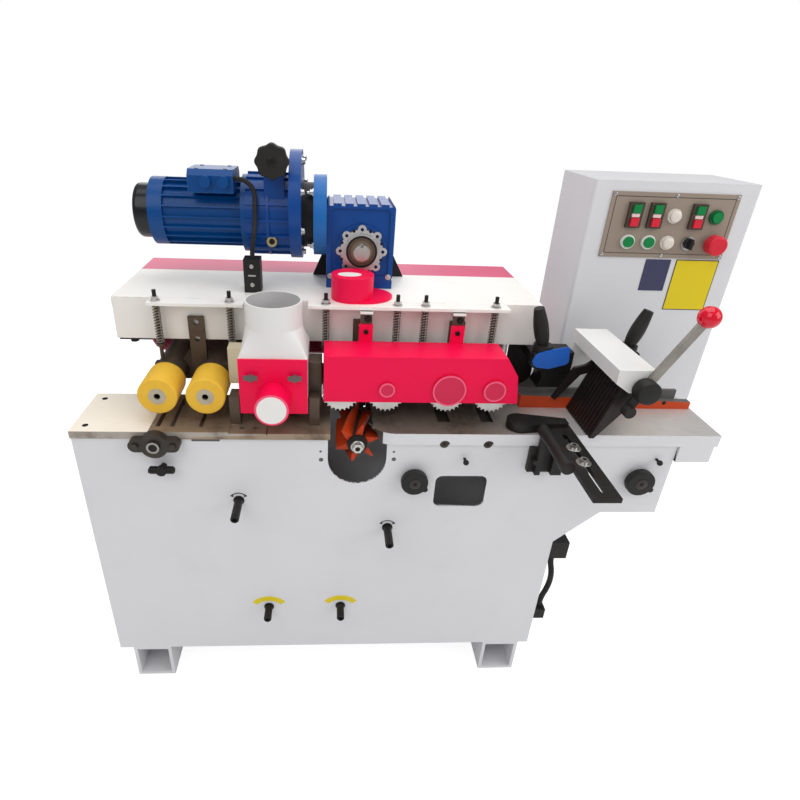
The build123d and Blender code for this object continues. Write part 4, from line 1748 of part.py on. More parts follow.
# T-handle screw under the flange bearing
with BuildPart() as t_handle:
    rod_y(T_HANDLE_X, T_HANDLE_Z, T_HANDLE_SCREW_RADIUS, -T_HANDLE_REACH, SPINDLE_DEPTH)
    rod_y(T_HANDLE_X, T_HANDLE_Z, 2 * T_HANDLE_BAR_RADIUS, -T_HANDLE_REACH, -T_HANDLE_REACH / 2)
    rod_x(
        -T_HANDLE_REACH + T_HANDLE_BAR_RADIUS,
        T_HANDLE_Z,
        T_HANDLE_BAR_RADIUS,
        T_HANDLE_X - T_HANDLE_WIDTH / 2,
        T_HANDLE_X + T_HANDLE_WIDTH / 2,
    )
save(t_handle, "t_handle")

# Crank spindles with a stop collar and a square end for the loose crank
for index, (spindle_x, spindle_z, reach) in enumerate(SPINDLES, start=1):
    with BuildPart() as crank_spindle:
        rod_y(spindle_x, spindle_z, SPINDLE_RADIUS, SPINDLE_SQUARE_LENGTH - reach, SPINDLE_DEPTH)
        rod_y(
            spindle_x,
            spindle_z,
            SPINDLE_COLLAR_RADIUS,
            -SPINDLE_COLLAR_THICK - SLIDE_CLEARANCE,
            -SLIDE_CLEARANCE,
        )
        with BuildSketch(facing_front(-reach)):
            with Locations((spindle_x, spindle_z)):
                Rectangle(SPINDLE_SQUARE, SPINDLE_SQUARE)
        extrude(amount=-SPINDLE_SQUARE_LENGTH)
    save(crank_spindle, f"crank_spindle_{index}")

# Hand knobs that lock the infeed table
for index, (knob_x, knob_z, knob_radius) in enumerate(KNOBS, start=1):
    with BuildPart() as hand_knob:
        rod_y(knob_x, knob_z, knob_radius, -KNOB_STANDOFF - KNOB_THICK, -KNOB_STANDOFF)
        fillet(hand_knob.edges().filter_by(GeomType.CIRCLE), KNOB_EDGE)
        rod_y(knob_x, knob_z, KNOB_STUD_RADIUS, -KNOB_STANDOFF, SPINDLE_DEPTH)
        rod_y(
            knob_x + knob_radius - KNOB_NUB_RADIUS,
            knob_z - knob_radius / 2,
            KNOB_NUB_RADIUS,
            -KNOB_STANDOFF - KNOB_THICK,
            -KNOB_STANDOFF,
        )
    save(hand_knob, f"hand_knob_{index}")

# Control cabinet on the rear shelf, hinged at its back edge
CABINET_RIGHT = CABINET_LEFT + CABINET_WIDTH
CABINET_BACK = CABINET_FRONT + CABINET_DEPTH
CABINET_TOP = SHELF_TOP + CABINET_HEIGHT
with BuildPart() as control_cabinet:
    block((CABINET_LEFT, CABINET_RIGHT), (CABINET_FRONT, CABINET_BACK), (SHELF_TOP, CABINET_TOP))
    fillet(control_cabinet.edges().filter_by(Axis.Z), CABINET_CORNER)
    block(
        (CABINET_LEFT + SHEET, CABINET_RIGHT - SHEET),
        (CABINET_FRONT + SHEET, CABINET_BACK - SHEET),
        (SHELF_TOP + SHEET, CABINET_TOP - SHEET),
        mode=Mode.SUBTRACT,
    )
    for hinge_z in (CABINET_TOP - HINGE_DROP, SHELF_TOP + HINGE_DROP):
        rod_z(
            CABINET_LEFT + CABINET_CORNER + HINGE_RADIUS,
            CABINET_BACK,
            HINGE_RADIUS,
            hinge_z - HINGE_LENGTH / 2,
            hinge_z + HINGE_LENGTH / 2,
        )
save(control_cabinet, "control_cabinet")

# Control plate with switch housings, bezels and lamps
PLATE_LEFT = CABINET_LEFT + PLATE_INSET
PLATE_TOP = CABINET_TOP - PLATE_TOP_DROP
PLATE_FRONT = CABINET_FRONT - PLATE_THICK
SWITCH_FRONT = PLATE_FRONT - SWITCH_THICK
BEZEL_FRONT = PLATE_FRONT - BEZEL_THICK
UPPER_ROW = CABINET_TOP - UPPER_ROW_DROP
LOWER_ROW = CABINET_TOP - LOWER_ROW_DROP
START_Z = UPPER_ROW + SWITCH_HEIGHT / 2 - SWITCH_BUTTON_SIZE / 2 - SHEET
STOP_Z = UPPER_ROW - SWITCH_HEIGHT / 2 + SWITCH_BUTTON_SIZE / 2 + SHEET
SWITCH_HOLE = SWITCH_BUTTON_SIZE + 2 * SLIDE_CLEARANCE
ROUND_HOLE = ROUND_BUTTON_RADIUS + SLIDE_CLEARANCE
ROUND_PLACES = (
    (CABINET_LEFT + RESET_X, UPPER_ROW),
    (CABINET_LEFT + FLUSH_X[0], LOWER_ROW),
    (CABINET_LEFT + FLUSH_X[1], LOWER_ROW),
    (CABINET_LEFT + SELECTOR_X, LOWER_ROW),
    (CABINET_LEFT + STOP_X, LOWER_ROW),
)
with BuildPart() as control_panel:
    block(
        (PLATE_LEFT, PLATE_LEFT + PLATE_WIDTH),
        (PLATE_FRONT, CABINET_FRONT),
        (PLATE_TOP - PLATE_HEIGHT, PLATE_TOP),
    )
    for switch_x in SWITCH_X:
        switch_centre = CABINET_LEFT + switch_x
        block(
            (switch_centre - SWITCH_WIDTH / 2, switch_centre + SWITCH_WIDTH / 2),
            (SWITCH_FRONT, PLATE_FRONT),
            (UPPER_ROW - SWITCH_HEIGHT / 2, UPPER_ROW + SWITCH_HEIGHT / 2),
        )
        for button_z in (START_Z, STOP_Z):
            block(
                (switch_centre - SWITCH_HOLE / 2, switch_centre + SWITCH_HOLE / 2),
                (SWITCH_FRONT, PLATE_FRONT),
                (button_z - SWITCH_HOLE / 2, button_z + SWITCH_HOLE / 2),
                mode=Mode.SUBTRACT,
            )
    for lamp_z in (UPPER_ROW, LOWER_ROW):
        rod_y(CABINET_LEFT + LAMP_X, lamp_z, LAMP_RADIUS, BEZEL_FRONT - BEZEL_THICK, PLATE_FRONT)
        rod_y(CABINET_LEFT + LAMP_X, lamp_z, BEZEL_RADIUS, BEZEL_FRONT, PLATE_FRONT)
    for button_x, button_z in ROUND_PLACES:
        rod_y(button_x, button_z, BEZEL_RADIUS, BEZEL_FRONT, PLATE_FRONT)
        rod_y(button_x, button_z, ROUND_HOLE, BEZEL_FRONT, PLATE_FRONT, Mode.SUBTRACT)
save(control_panel, "control_panel")

# Square start and stop buttons of the three double switches
for index, switch_x in enumerate(SWITCH_X, start=1):
    switch_centre = CABINET_LEFT + switch_x
    for name, button_z in (("start_button", START_Z), ("stop_button", STOP_Z)):
        with BuildPart() as square_button:
            block(
                (switch_centre - SWITCH_BUTTON_SIZE / 2, switch_centre + SWITCH_BUTTON_SIZE / 2),
                (SWITCH_FRONT - BUTTON_REACH, PLATE_FRONT - BUTTON_TRAVEL - SLIDE_CLEARANCE),
                (button_z - SWITCH_BUTTON_SIZE / 2, button_z + SWITCH_BUTTON_SIZE / 2),
            )
        save(square_button, f"{name}_{index}")

# Round buttons, in the order of their places
ROUND_BACK = PLATE_FRONT - BUTTON_TRAVEL - SLIDE_CLEARANCE
ROUND_BUTTONS = zip(("reset_button", "flush_button_1", "flush_button_2"), ROUND_PLACES)
for name, (button_x, button_z) in ROUND_BUTTONS:
    with BuildPart() as round_button:
        rod_y(button_x, button_z, ROUND_BUTTON_RADIUS, BEZEL_FRONT - BUTTON_REACH, ROUND_BACK)
    save(round_button, name)

with BuildPart() as selector_knob:
    selector_x, selector_z = ROUND_PLACES[3]
    rod_y(selector_x, selector_z, ROUND_BUTTON_RADIUS, BEZEL_FRONT - BUTTON_REACH, ROUND_BACK)
    block(
        (selector_x - BUTTON_REACH / 2, selector_x + BUTTON_REACH / 2),
        (BEZEL_FRONT - 3 * BUTTON_REACH, BEZEL_FRONT - BUTTON_REACH),
        (selector_z - ROUND_BUTTON_RADIUS, selector_z + ROUND_BUTTON_RADIUS),
    )
save(selector_knob, "selector_knob")

with BuildPart() as estop_button:
    stop_x, stop_z = ROUND_PLACES[4]
    cap_back = BEZEL_FRONT - BUTTON_TRAVEL - SLIDE_CLEARANCE
    rod_y(stop_x, stop_z, STOP_RADIUS, BEZEL_FRONT - STOP_HEIGHT, cap_back)
    fillet(estop_button.edges().filter_by(GeomType.CIRCLE).sort_by(Axis.Y)[0], STOP_RADIUS / 4)
    rod_y(stop_x, stop_z, ROUND_BUTTON_RADIUS, cap_back, ROUND_BACK)
save(estop_button, "estop_button")


def lead_radii(points):
    """Bend radius at each inner point: as large as the shorter of its two runs allows."""
    corners = []
    for before, corner, after in zip(points, points[1:], points[2:]):
        arriving = corner - before
        leaving = after - corner
        half_turn = radians(arriving.get_angle(leaving)) / 2
        corners.append(0.45 * min(arriving.length, leaving.length) * cos(half_turn) / sin(half_turn))
    return corners


# The conduit beside the base and the motor cable, each a tube along its route
for name, route, lead_radius in (
    ("conduit", CONDUIT_POINTS, CONDUIT_RADIUS),
    ("motor_cable", MOTOR_CABLE_POINTS, CABLE_RADIUS),
):
    points = [Vector(*place(*point)) for point in route]
    bends = lead_radii(points)
    with BuildPart() as lead:
        with BuildLine() as lead_path:
            FilletPolyline(*points, radius=bends)
        with BuildSketch(Plane(origin=points[0], z_dir=points[1] - points[0])):
            Circle(lead_radius)
        sweep()
    save(lead, name)
    lead_length = sum(edge.length for edge in lead_path.edges())
    print(name, "bend radii", [round(bend, 1) for bend in bends], "length", round(lead_length, 1))
    lead_volume = pi * lead_radius**2 * lead_length
    print(name, "volume", round(lead.part.volume), "section by length", round(lead_volume))
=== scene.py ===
"""Looks of a broom stick making machine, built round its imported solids.

Lengths in the classes are millimetres of the machine: x from the left edge of the front panel, y from
the panel's face towards the back, z from the floor. Meshes are written in metres in the row frame.
"""

from __future__ import annotations

import logging
import math
from abc import ABC, abstractmethod
from collections.abc import Sequence
from dataclasses import dataclass, replace
from enum import Enum
from functools import cache

import bmesh
import bpy
import numpy as np
from mathutils import Matrix, Vector

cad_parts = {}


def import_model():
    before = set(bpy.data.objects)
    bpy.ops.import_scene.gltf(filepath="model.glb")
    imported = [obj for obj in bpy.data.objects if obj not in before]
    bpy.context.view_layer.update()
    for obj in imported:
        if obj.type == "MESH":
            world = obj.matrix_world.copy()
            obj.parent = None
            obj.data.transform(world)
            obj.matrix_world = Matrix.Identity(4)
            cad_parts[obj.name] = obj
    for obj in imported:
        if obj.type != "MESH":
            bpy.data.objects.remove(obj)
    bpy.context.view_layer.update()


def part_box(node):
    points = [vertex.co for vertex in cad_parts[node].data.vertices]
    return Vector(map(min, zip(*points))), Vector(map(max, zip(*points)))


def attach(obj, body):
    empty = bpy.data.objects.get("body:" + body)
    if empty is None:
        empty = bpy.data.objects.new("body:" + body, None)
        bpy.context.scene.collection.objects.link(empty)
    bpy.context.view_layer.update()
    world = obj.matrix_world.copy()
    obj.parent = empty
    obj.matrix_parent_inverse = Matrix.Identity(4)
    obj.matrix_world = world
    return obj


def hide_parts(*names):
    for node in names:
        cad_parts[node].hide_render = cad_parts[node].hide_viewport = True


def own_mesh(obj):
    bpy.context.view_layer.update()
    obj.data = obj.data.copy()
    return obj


LOG = logging.getLogger("broom_stick_machine")
CENTRE = np.array((706.25, 119.0, 0.0))
METRE = 0.001
FAR = 9000.0
DIP = 0.2
FULL_TURN = 2 * math.pi
SHARP_ANGLE = math.radians(38)
RIM_SHARE = 0.3
SCREW_SHARES = ((1.0, 0.8), (0.85, 1.0), (0.5, 1.0), (0.45, 0.35))
WASHER_HEIGHT, WASHER_RADIUS, HEAD_EDGE = 0.22, 0.78, 0.12
MERGE_METRES = 1e-6
RIGHT, BACK, UP = (1.0, 0.0, 0.0), (0.0, 1.0, 0.0), (0.0, 0.0, 1.0)
LEFT, FRONT = (-1.0, 0.0, 0.0), (0.0, -1.0, 0.0)
Point = tuple[float, float, float]
Pair = tuple[float, float]
Points = tuple[Point, ...]
Pairs = tuple[Pair, ...]
Box = tuple[Point, Point]
Colour = tuple[int, int, int]


def row(points: Sequence) -> np.ndarray:
    """Machine millimetres turned into row frame metres: centre taken away, then scaled."""
    return (np.asarray(points, float) - CENTRE) * METRE


def machine(points: np.ndarray) -> np.ndarray:
    """Row frame metres, flat or in rows, turned into rows of machine millimetres."""
    return np.reshape(points, (-1, 3)) / METRE + CENTRE


def unit(vectors: Sequence) -> np.ndarray:
    """Vectors of length one in the same directions."""
    array = np.asarray(vectors, float)
    return array / np.linalg.norm(array, axis=-1, keepdims=True)


def across(axis: Point) -> tuple[np.ndarray, np.ndarray]:
    """Two unit vectors that make a right-handed set with an axis.

    Args:
        axis: direction of the axis.
    Returns:
        Vectors u and v with u cross v along the axis.
    """
    w = unit(axis)
    helper = RIGHT if abs(w[0]) < 0.8 else UP
    u = unit(np.cross(np.cross(w, helper), w))
    return u, np.cross(w, u)


def circle(u: np.ndarray, v: np.ndarray, steps: int) -> np.ndarray:
    """Directions cos t * u + sin t * v for t over a full turn, from one pair of vectors or from many."""
    turn = np.linspace(0, FULL_TURN, steps, endpoint=False)[:, None]
    return np.cos(turn) * u[..., None, :] + np.sin(turn) * v[..., None, :]


def ring_outline(radius: float, steps: int = 32, start: float = 0.0, end: float = FULL_TURN) -> np.ndarray:
    """Points of a circle: radius * (cos t, sin t) from start to end, the end left out of a full turn."""
    turn = np.linspace(start, end, steps, endpoint=end - start < FULL_TURN - 1e-6)
    return radius * np.stack((np.cos(turn), np.sin(turn)), axis=-1)


def soft_box(width: float, height: float, corner: float, steps: int = 5) -> np.ndarray:
    """Rectangle about zero whose corners are quarter circles: signed corner centre + corner * (cos t, sin t).

    Args:
        width: whole width.
        height: whole height.
        corner: radius of the corners.
        steps: points in each corner.
    Returns:
        Corners of the outline, anticlockwise.
    """
    quarter = np.linspace(0, math.pi / 2, steps)
    turns = (quarter + np.arange(4)[:, None] * math.pi / 2).reshape(-1)
    signs = np.repeat(((1, 1), (-1, 1), (-1, -1), (1, -1)), steps, axis=0)
    middle = signs * np.array((width / 2 - corner, height / 2 - corner))
    return middle + corner * np.stack((np.cos(turns), np.sin(turns)), axis=-1)


def sector(inner: float, outer: float, start: float, end: float) -> np.ndarray:
    """Part of a ring between two angles in degrees: the outer arc onwards, then the inner arc back."""
    outside, inside = (ring_outline(radius, 24, *np.radians((start, end))) for radius in (outer, inner))
    return np.concatenate((outside, inside[::-1]))


def hexagon(across_flats: float) -> np.ndarray:
    """Six corners with the given distance between opposite flats."""
    return ring_outline(across_flats / math.sqrt(3), 6)


class Shape:
    """Surfaces of one piece, gathered as arrays and written to one mesh. The calls that add to it chain."""

    def __init__(self) -> None:
        """Start with no surface."""
        self.points: list[np.ndarray] = []
        self.faces: list[list[int]] = []
        self.slots: list[int] = []
        self.count = 0

    def _take(self, points: np.ndarray, faces: np.ndarray, slot: int) -> None:
        """Add points with faces that number them from zero.

        Args:
            points: rows of x, y, z in millimetres.
            faces: rows of point numbers.
            slot: material slot.
        """
        self.points.append(points)
        self.faces += (faces + self.count).tolist()
        self.slots += [slot] * len(faces)
        self.count += len(points)

    def grid(self, points: np.ndarray, wrap: bool = True, caps: bool = True, slot: int = 0) -> Shape:
        """Quads between neighbouring rows of a grid of points.

        Args:
            points: array of rows by columns by 3, in millimetres.
            wrap: join the last column to the first.
            caps: close the first and the last row with one face each.
            slot: material slot.
        Returns:
            The shape.
        """
        rows, columns = points.shape[:2]
        numbers = np.arange(rows * columns).reshape(rows, columns)
        right = np.roll(numbers, -1, axis=1)
        if not wrap:
            numbers, right = numbers[:, :-1], right[:, :-1]
        quads = np.stack((numbers[:-1], right[:-1], right[1:], numbers[1:]), axis=-1).reshape(-1, 4)
        self._take(points.reshape(-1, 3), quads, slot)
        if caps:
            ring = np.arange(columns)[None]
            self._take(points[0], ring[:, ::-1], slot)
            self._take(points[-1], ring, slot)
        return self

    def turned(self, origin: Point, axis: Point, profile: Sequence[Pair], steps: int = 32, slot: int = 0,
               caps: bool = True) -> Shape:
        """Turned piece: each profile point (radius, height) goes round the axis, so that a point is
        origin + height * axis + radius * (cos t * u + sin t * v) for t from 0 to a full turn.

        Args:
            origin: point on the axis.
            axis: direction in which the heights run.
            profile: radii and heights from the first end to the last.
            steps: points round the axis.
            slot: material slot.
            caps: close both ends.
        Returns:
            The shape.
        """
        radius, height = np.asarray(profile, float).T[:, :, None, None]
        points = np.asarray(origin) + height * unit(axis) + radius * circle(*across(axis), steps)
        return self.grid(points, caps=caps, slot=slot)

    def prism(self, outline: Sequence[Pair], origin: Point, u: Point, v: Point, thickness: float,
              slot: int = 0, edge: float = 0.0) -> Shape:
        """Flat piece: an outline in the plane of u and v, carried along u cross v. With an edge, the
        last face shrinks towards the outline's middle by that much and the wall is chamfered.

        Args:
            outline: corners (a, b), anticlockwise seen against the direction of travel.
            origin: point of the machine where the outline's zero lies.
            u: direction of the first coordinate.
            v: direction of the second coordinate.
            thickness: length of travel.
            slot: material slot.
            edge: chamfer of the far face.
        Returns:
            The shape.
        """
        flat = np.asarray(outline, float)
        low, high = flat.min(axis=0), flat.max(axis=0)
        levels = [(0.0, flat), (thickness - edge, flat)]
        if edge > 0:
            middle = (low + high) / 2
            levels.append((thickness, middle + (flat - middle) * (1 - 2 * edge / (high - low))))
        rings = [origin + level @ np.array((u, v)) + lift * np.cross(u, v) for lift, level in levels]
        return self.grid(np.stack(rings), slot=slot)

    def face(self, outline: Sequence[Pair], origin: Point, thickness: float, slot: int = 0,
             edge: float = 0.0) -> Shape:
        """Flat piece that stands in x and z and grows towards the front."""
        return self.prism(outline, origin, RIGHT, UP, thickness, slot, edge)

    def tube(self, path: np.ndarray, across_u: np.ndarray, across_v: np.ndarray, radius: float | np.ndarray,
             sides: int) -> Shape:
        """Round tube: points path + radius * (cos t * across_u + sin t * across_v) all along a path."""
        return self.grid(path[:, None] + np.reshape(radius, (-1, 1, 1)) * circle(across_u, across_v, sides))

    def disc(self, place: Point, axis: Point, radius: float, proud: float, slot: int = 0) -> Shape:
        """Round plate with a chamfered rim that stands proud of a surface and dips just under it."""
        rim = min(proud, radius) * RIM_SHARE
        return self.turned(place, axis, ((radius, -DIP), (radius, proud - rim), (radius - rim, proud)),
                           slot=slot)

    def ring(self, place: Point, axis: Point, inner: float, outer: float, proud: float,
             slot: int = 0) -> Shape:
        """Flat ring: a closed profile (outer foot, outer top, inner top, inner foot) turned round."""
        profile = ((outer, -DIP), (outer, proud), (inner, proud), (inner, -DIP), (outer, -DIP))
        return self.turned(place, axis, profile, 48, slot, caps=False)

    def screw(self, place: Point, axis: Point, radius: float, height: float, slot: int = 0) -> Shape:
        """Socket screw: a round head whose profile turns down into the socket at half its radius."""
        profile = ((radius, -DIP), *(np.array(SCREW_SHARES) * (radius, height)))
        return self.turned(place, axis, profile, 24, slot)

    def bolt(self, place: Point, axis: Point, flats: float, height: float, slot: int = 0) -> Shape:
        """Hexagon head on a flat washer.

        Args:
            place: middle of the washer's foot.
            axis: outward direction.
            flats: distance across the flats.
            height: height of washer and head.
            slot: material slot.
        Returns:
            The shape.
        """
        washer, radius = WASHER_HEIGHT * height, WASHER_RADIUS * flats
        self.turned(place, axis, ((radius, -DIP), (radius, washer)), 24, slot)
        foot = np.asarray(place) + (washer - 0.05) * unit(axis)
        return self.prism(hexagon(flats), foot, *across(axis), height - washer, slot, HEAD_EDGE * height)

    def piece(self, name: str, body: str, finishes: Sequence[Finish], bevel: float = 0.0,
              slot_name: str = "", node: str = "") -> bpy.types.Object:
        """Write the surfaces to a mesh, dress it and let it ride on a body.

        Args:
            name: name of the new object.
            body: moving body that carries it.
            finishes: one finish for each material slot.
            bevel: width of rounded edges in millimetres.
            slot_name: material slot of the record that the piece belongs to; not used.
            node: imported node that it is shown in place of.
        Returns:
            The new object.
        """
        mesh = bpy.data.meshes.new(name)
        mesh.from_pydata(row(np.concatenate(self.points)).tolist(), [], self.faces)
        mesh.polygons.foreach_set("material_index", np.asarray(self.slots, np.int32))
        mesh.polygons.foreach_set("use_smooth", np.ones(len(self.faces), bool))
        for finish in finishes:
            mesh.materials.append(finish.material())
        mesh.update()
        merge_points(mesh)
        mesh.set_sharp_from_angle(angle=SHARP_ANGLE)
        piece = bpy.data.objects.new(name, mesh)
        bpy.context.scene.collection.objects.link(piece)
        if bevel > 0:
            round_edges = piece.modifiers.new("edges", "BEVEL")
            round_edges.width = bevel * METRE
            round_edges.segments = 2
            round_edges.limit_method = "ANGLE"
            round_edges.angle_limit = SHARP_ANGLE
            round_edges.harden_normals = True
        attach(piece, body)
        if node:
            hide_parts(node)
        LOG.info("piece %s on %s: %d faces", name, body, len(self.faces))
        return piece


def merge_points(mesh: bpy.types.Mesh) -> None:
    """Join points that lie on each other, so that caps share the wall's edge."""
    work = bmesh.new()
    work.from_mesh(mesh)
    bmesh.ops.remove_doubles(work, verts=work.verts, dist=MERGE_METRES)
    work.to_mesh(mesh)
    work.free()


class Wiring:
    """Short way to place and join the nodes of one tree."""

    def __init__(self, tree: bpy.types.NodeTree) -> None:
        """Keep the tree that the nodes go into."""
        self.tree = tree

    def node(self, kind: str, **settings: object) -> bpy.types.Node:
        """New node of a kind, with its properties set.

        Args:
            kind: type name of the node without its prefix.
            settings: properties by name.
        Returns:
            The node.
        """
        made = self.tree.nodes.new(kind if kind.startswith("Node") else "ShaderNode" + kind)
        for name, value in settings.items():
            setattr(made, name, value)
        return made

    def feed(self, node: bpy.types.Node, **values: object) -> None:
        """Link sockets to a node's inputs, or set the inputs' own values.

        Args:
            node: node that is fed.
            values: sockets or plain values by input name, with _ for a space.
        """
        for label, value in values.items():
            self.join(node.inputs[label.replace("_", " ")], value)

    def join(self, target: bpy.types.NodeSocket, value: object) -> None:
        """Link a socket to the target, or set the target's own value."""
        if isinstance(value, bpy.types.NodeSocket):
            self.tree.links.new(value, target)
        else:
            target.default_value = value

    def _step(self, kind: str, operation: str, values: Sequence[object]) -> bpy.types.Node:
        """Node of one operation with its inputs filled in order."""
        made = self.node(kind, operation=operation)
        for target, value in zip(made.inputs, values):
            self.join(target, value)
        return made

    def math(self, operation: str, *values: object, clamp: bool = False) -> bpy.types.NodeSocket:
        """Result of one arithmetic step on numbers."""
        made = self._step("Math", operation, values)
        made.use_clamp = clamp
        return made.outputs[0]

    def vector(self, operation: str, *values: object) -> bpy.types.NodeSocket:
        """Result of one step on vectors."""
        return self._step("VectorMath", operation, values).outputs["Vector"]

    def tint(self, colour: object, mask: object, base: float, gain: float) -> bpy.types.NodeSocket:
        """Colour scaled by base + gain * mask."""
        tone = self.vector("SCALE", colour)
        self.feed(tone.node, Scale=self.math("MULTIPLY_ADD", mask, gain, base))
        return tone

    def smooth(self, value: object, low: object, high: object) -> bpy.types.NodeSocket:
        """Smooth step from 0 at low to 1 at high."""
        made = self.node("MapRange", interpolation_type="SMOOTHSTEP")
        self.feed(made, Value=value, From_Min=low, From_Max=high)
        return made.outputs["Result"]

    def mix(self, share: object, first: object, second: object) -> bpy.types.NodeSocket:
        """Colour between two colours."""
        made = self.node("Mix", data_type="RGBA")
        for target, value in ((0, share), (6, first), (7, second)):
            self.join(made.inputs[target], value)
        return made.outputs[2]

    def noise(self, where: object, scale: object, detail: float, rough: float = 0.5) -> bpy.types.NodeSocket:
        """Noise from 0 to 1 at places given by a vector."""
        made = self.node("TexNoise")
        self.feed(made, Vector=where, Scale=scale, Detail=detail, Roughness=rough)
        return made.outputs["Fac"]

    def point(self) -> bpy.types.NodeSocket:
        """Place on the object, in metres of the row frame."""
        return self.node("TexCoord").outputs["Object"]

    def along(self, vector: object) -> bpy.types.bpy_prop_collection:
        """The three numbers of a vector."""
        parts = self.node("SeparateXYZ")
        self.join(parts.inputs[0], vector)
        return parts.outputs


class GroupKit:
    """Node groups that several finishes share, each built the first time it is asked for."""

    SKIN_IN = {"Colour": "Color", "Dirt": "Color", "Dirt Amount": "Float", "Roughness": "Float"}
    SKIN_OUT = {"Color": "Color", "Roughness": "Float", "Height": "Float"}

    @staticmethod
    def _new(name: str, inputs: dict[str, str], outputs: dict[str, str]) -> tuple:
        """Empty group with its sockets.

        Args:
            name: name of the group.
            inputs: socket names with their kinds.
            outputs: socket names with their kinds.
        Returns:
            The wiring of the group, its input sockets and its output node.
        """
        tree = bpy.data.node_groups.new(name, "ShaderNodeTree")
        for side, sockets in (("INPUT", inputs), ("OUTPUT", outputs)):
            for label, kind in sockets.items():
                tree.interface.new_socket(label, in_out=side, socket_type="NodeSocket" + kind)
        wires = Wiring(tree)
        return wires, wires.node("NodeGroupInput").outputs, wires.node("NodeGroupOutput")

    @classmethod
    @cache
    def paint(cls) -> bpy.types.NodeTree:
        """Paint: slow drift of shade, blotches of workshop soil, fine specks and an orange peel skin."""
        more = {"Gloss Loss": "Float", "Peel": "Float"}
        wires, given, out = cls._new("paint_skin", cls.SKIN_IN | more, cls.SKIN_OUT)
        point = wires.point()
        drift = wires.noise(point, 3.5, 3.0)
        tone = wires.tint(given["Colour"], drift, 0.945, 0.10)
        blotch = wires.smooth(wires.noise(point, 9.0, 6.0, 0.62), 0.50, 0.78)
        speck = wires.smooth(wires.noise(point, 310.0, 2.0, 0.6), 0.70, 0.76)
        soil = wires.math("ADD", wires.math("MULTIPLY", blotch, 0.8), wires.math("MULTIPLY", speck, 0.45))
        mask = wires.math("MULTIPLY", soil, given["Dirt Amount"], clamp=True)
        dull = wires.math("MULTIPLY", wires.math("MULTIPLY_ADD", drift, 0.25, mask), given["Gloss Loss"])
        wires.feed(out, Color=wires.mix(mask, tone, given["Dirt"]),
                   Roughness=wires.math("ADD", given["Roughness"], dull, clamp=True),
                   Height=wires.math("MULTIPLY", wires.noise(point, 620.0, 1.5), given["Peel"]))
        return wires.tree

    @classmethod
    @cache
    def edges(cls) -> bpy.types.NodeTree:
        """Rubbed edges of a box: for each axis the distance to the nearer face gives a nearness inside the
        box, the largest product of two nearnesses marks the box's edges, and noise breaks the mark up."""
        inputs = {"Low": "Vector", "High": "Vector", "Width": "Float", "Amount": "Float"}
        wires, given, out = cls._new("rubbed_edges", inputs, {"Mask": "Float"})
        point = wires.point()
        gap = wires.vector("MINIMUM", wires.vector("SUBTRACT", point, given["Low"]),
                           wires.vector("SUBTRACT", given["High"], point))
        near = [wires.math("MULTIPLY", wires.math("GREATER_THAN", axis, -0.001),
                           wires.math("SUBTRACT", 1.0, wires.smooth(axis, 0.0, given["Width"])))
                for axis in wires.along(gap)]
        pairs = [wires.math("MULTIPLY", near[a], near[b]) for a, b in ((0, 1), (1, 2), (2, 0))]
        edge = wires.math("MAXIMUM", wires.math("MAXIMUM", pairs[0], pairs[1]), pairs[2])
        broken = wires.smooth(wires.noise(point, 75.0, 5.0, 0.65), 0.44, 0.62)
        worn = wires.math("MULTIPLY", edge, broken)
        wires.feed(out, Mask=wires.math("MULTIPLY", worn, given["Amount"], clamp=True))
        return wires.tree

    @classmethod
    @cache
    def metal(cls) -> bpy.types.NodeTree:
        """Bare metal: fine streaks of noise stretched along one direction, and slow stains."""
        wires, given, out = cls._new("metal_streaks", cls.SKIN_IN | {"Streaks": "Vector"}, cls.SKIN_OUT)
        point = wires.point()
        streak = wires.noise(wires.vector("MULTIPLY", point, given["Streaks"]), 1.0, 3.0, 0.6)
        stain = wires.smooth(wires.noise(point, 16.0, 6.0, 0.65), 0.42, 0.74)
        mask = wires.math("MULTIPLY", stain, given["Dirt Amount"], clamp=True)
        tone = wires.tint(given["Colour"], streak, 0.82, 0.36)
        change = wires.math("MULTIPLY", wires.math("SUBTRACT", streak, 0.5), 0.25)
        rough = wires.math("ADD", given["Roughness"], change)
        wires.feed(out, Color=wires.mix(mask, tone, given["Dirt"]), Height=streak,
                   Roughness=wires.math("ADD", rough, wires.math("MULTIPLY", mask, 0.2), clamp=True))
        return wires.tree

    @classmethod
    @cache
    def grains(cls) -> bpy.types.NodeTree:
        """Cast or moulded surface: fine grain, with dust in slow patches."""
        wires, given, out = cls._new("cast_grain", cls.SKIN_IN | {"Scale": "Float"}, cls.SKIN_OUT)
        point = wires.point()
        grain = wires.noise(point, given["Scale"], 3.0, 0.6)
        slow = wires.smooth(wires.noise(point, 22.0, 5.0, 0.6), 0.45, 0.75)
        low = wires.math("MULTIPLY", slow, given["Dirt Amount"], clamp=True)
        tone = wires.tint(given["Colour"], grain, 0.85, 0.30)
        change = wires.math("MULTIPLY", wires.math("SUBTRACT", grain, 0.5), 0.2)
        wires.feed(out, Color=wires.mix(low, tone, given["Dirt"]), Height=grain,
                   Roughness=wires.math("ADD", given["Roughness"], change, clamp=True))
        return wires.tree


def linear(colour: Colour) -> tuple[float, float, float, float]:
    """Colour of 0 to 255 steps turned into linear light by the sRGB curve, with full alpha.

    Args:
        colour: red, green and blue as written for a screen.
    Returns:
        Linear red, green, blue and alpha.
    """
    share = np.asarray(colour, float) / 255
    light = np.where(share <= 0.04045, share / 12.92, ((share + 0.055) / 1.055) ** 2.4)
    return (*light.tolist(), 1.0)


class Grain(Enum):
    """Direction of the fine streaks in bare metal, as noise scales along x, y and z."""

    ALONG_X = (30.0, 900.0, 900.0)
    ALONG_Y = (700.0, 90.0, 700.0)
    EVEN = (460.0, 460.0, 460.0)


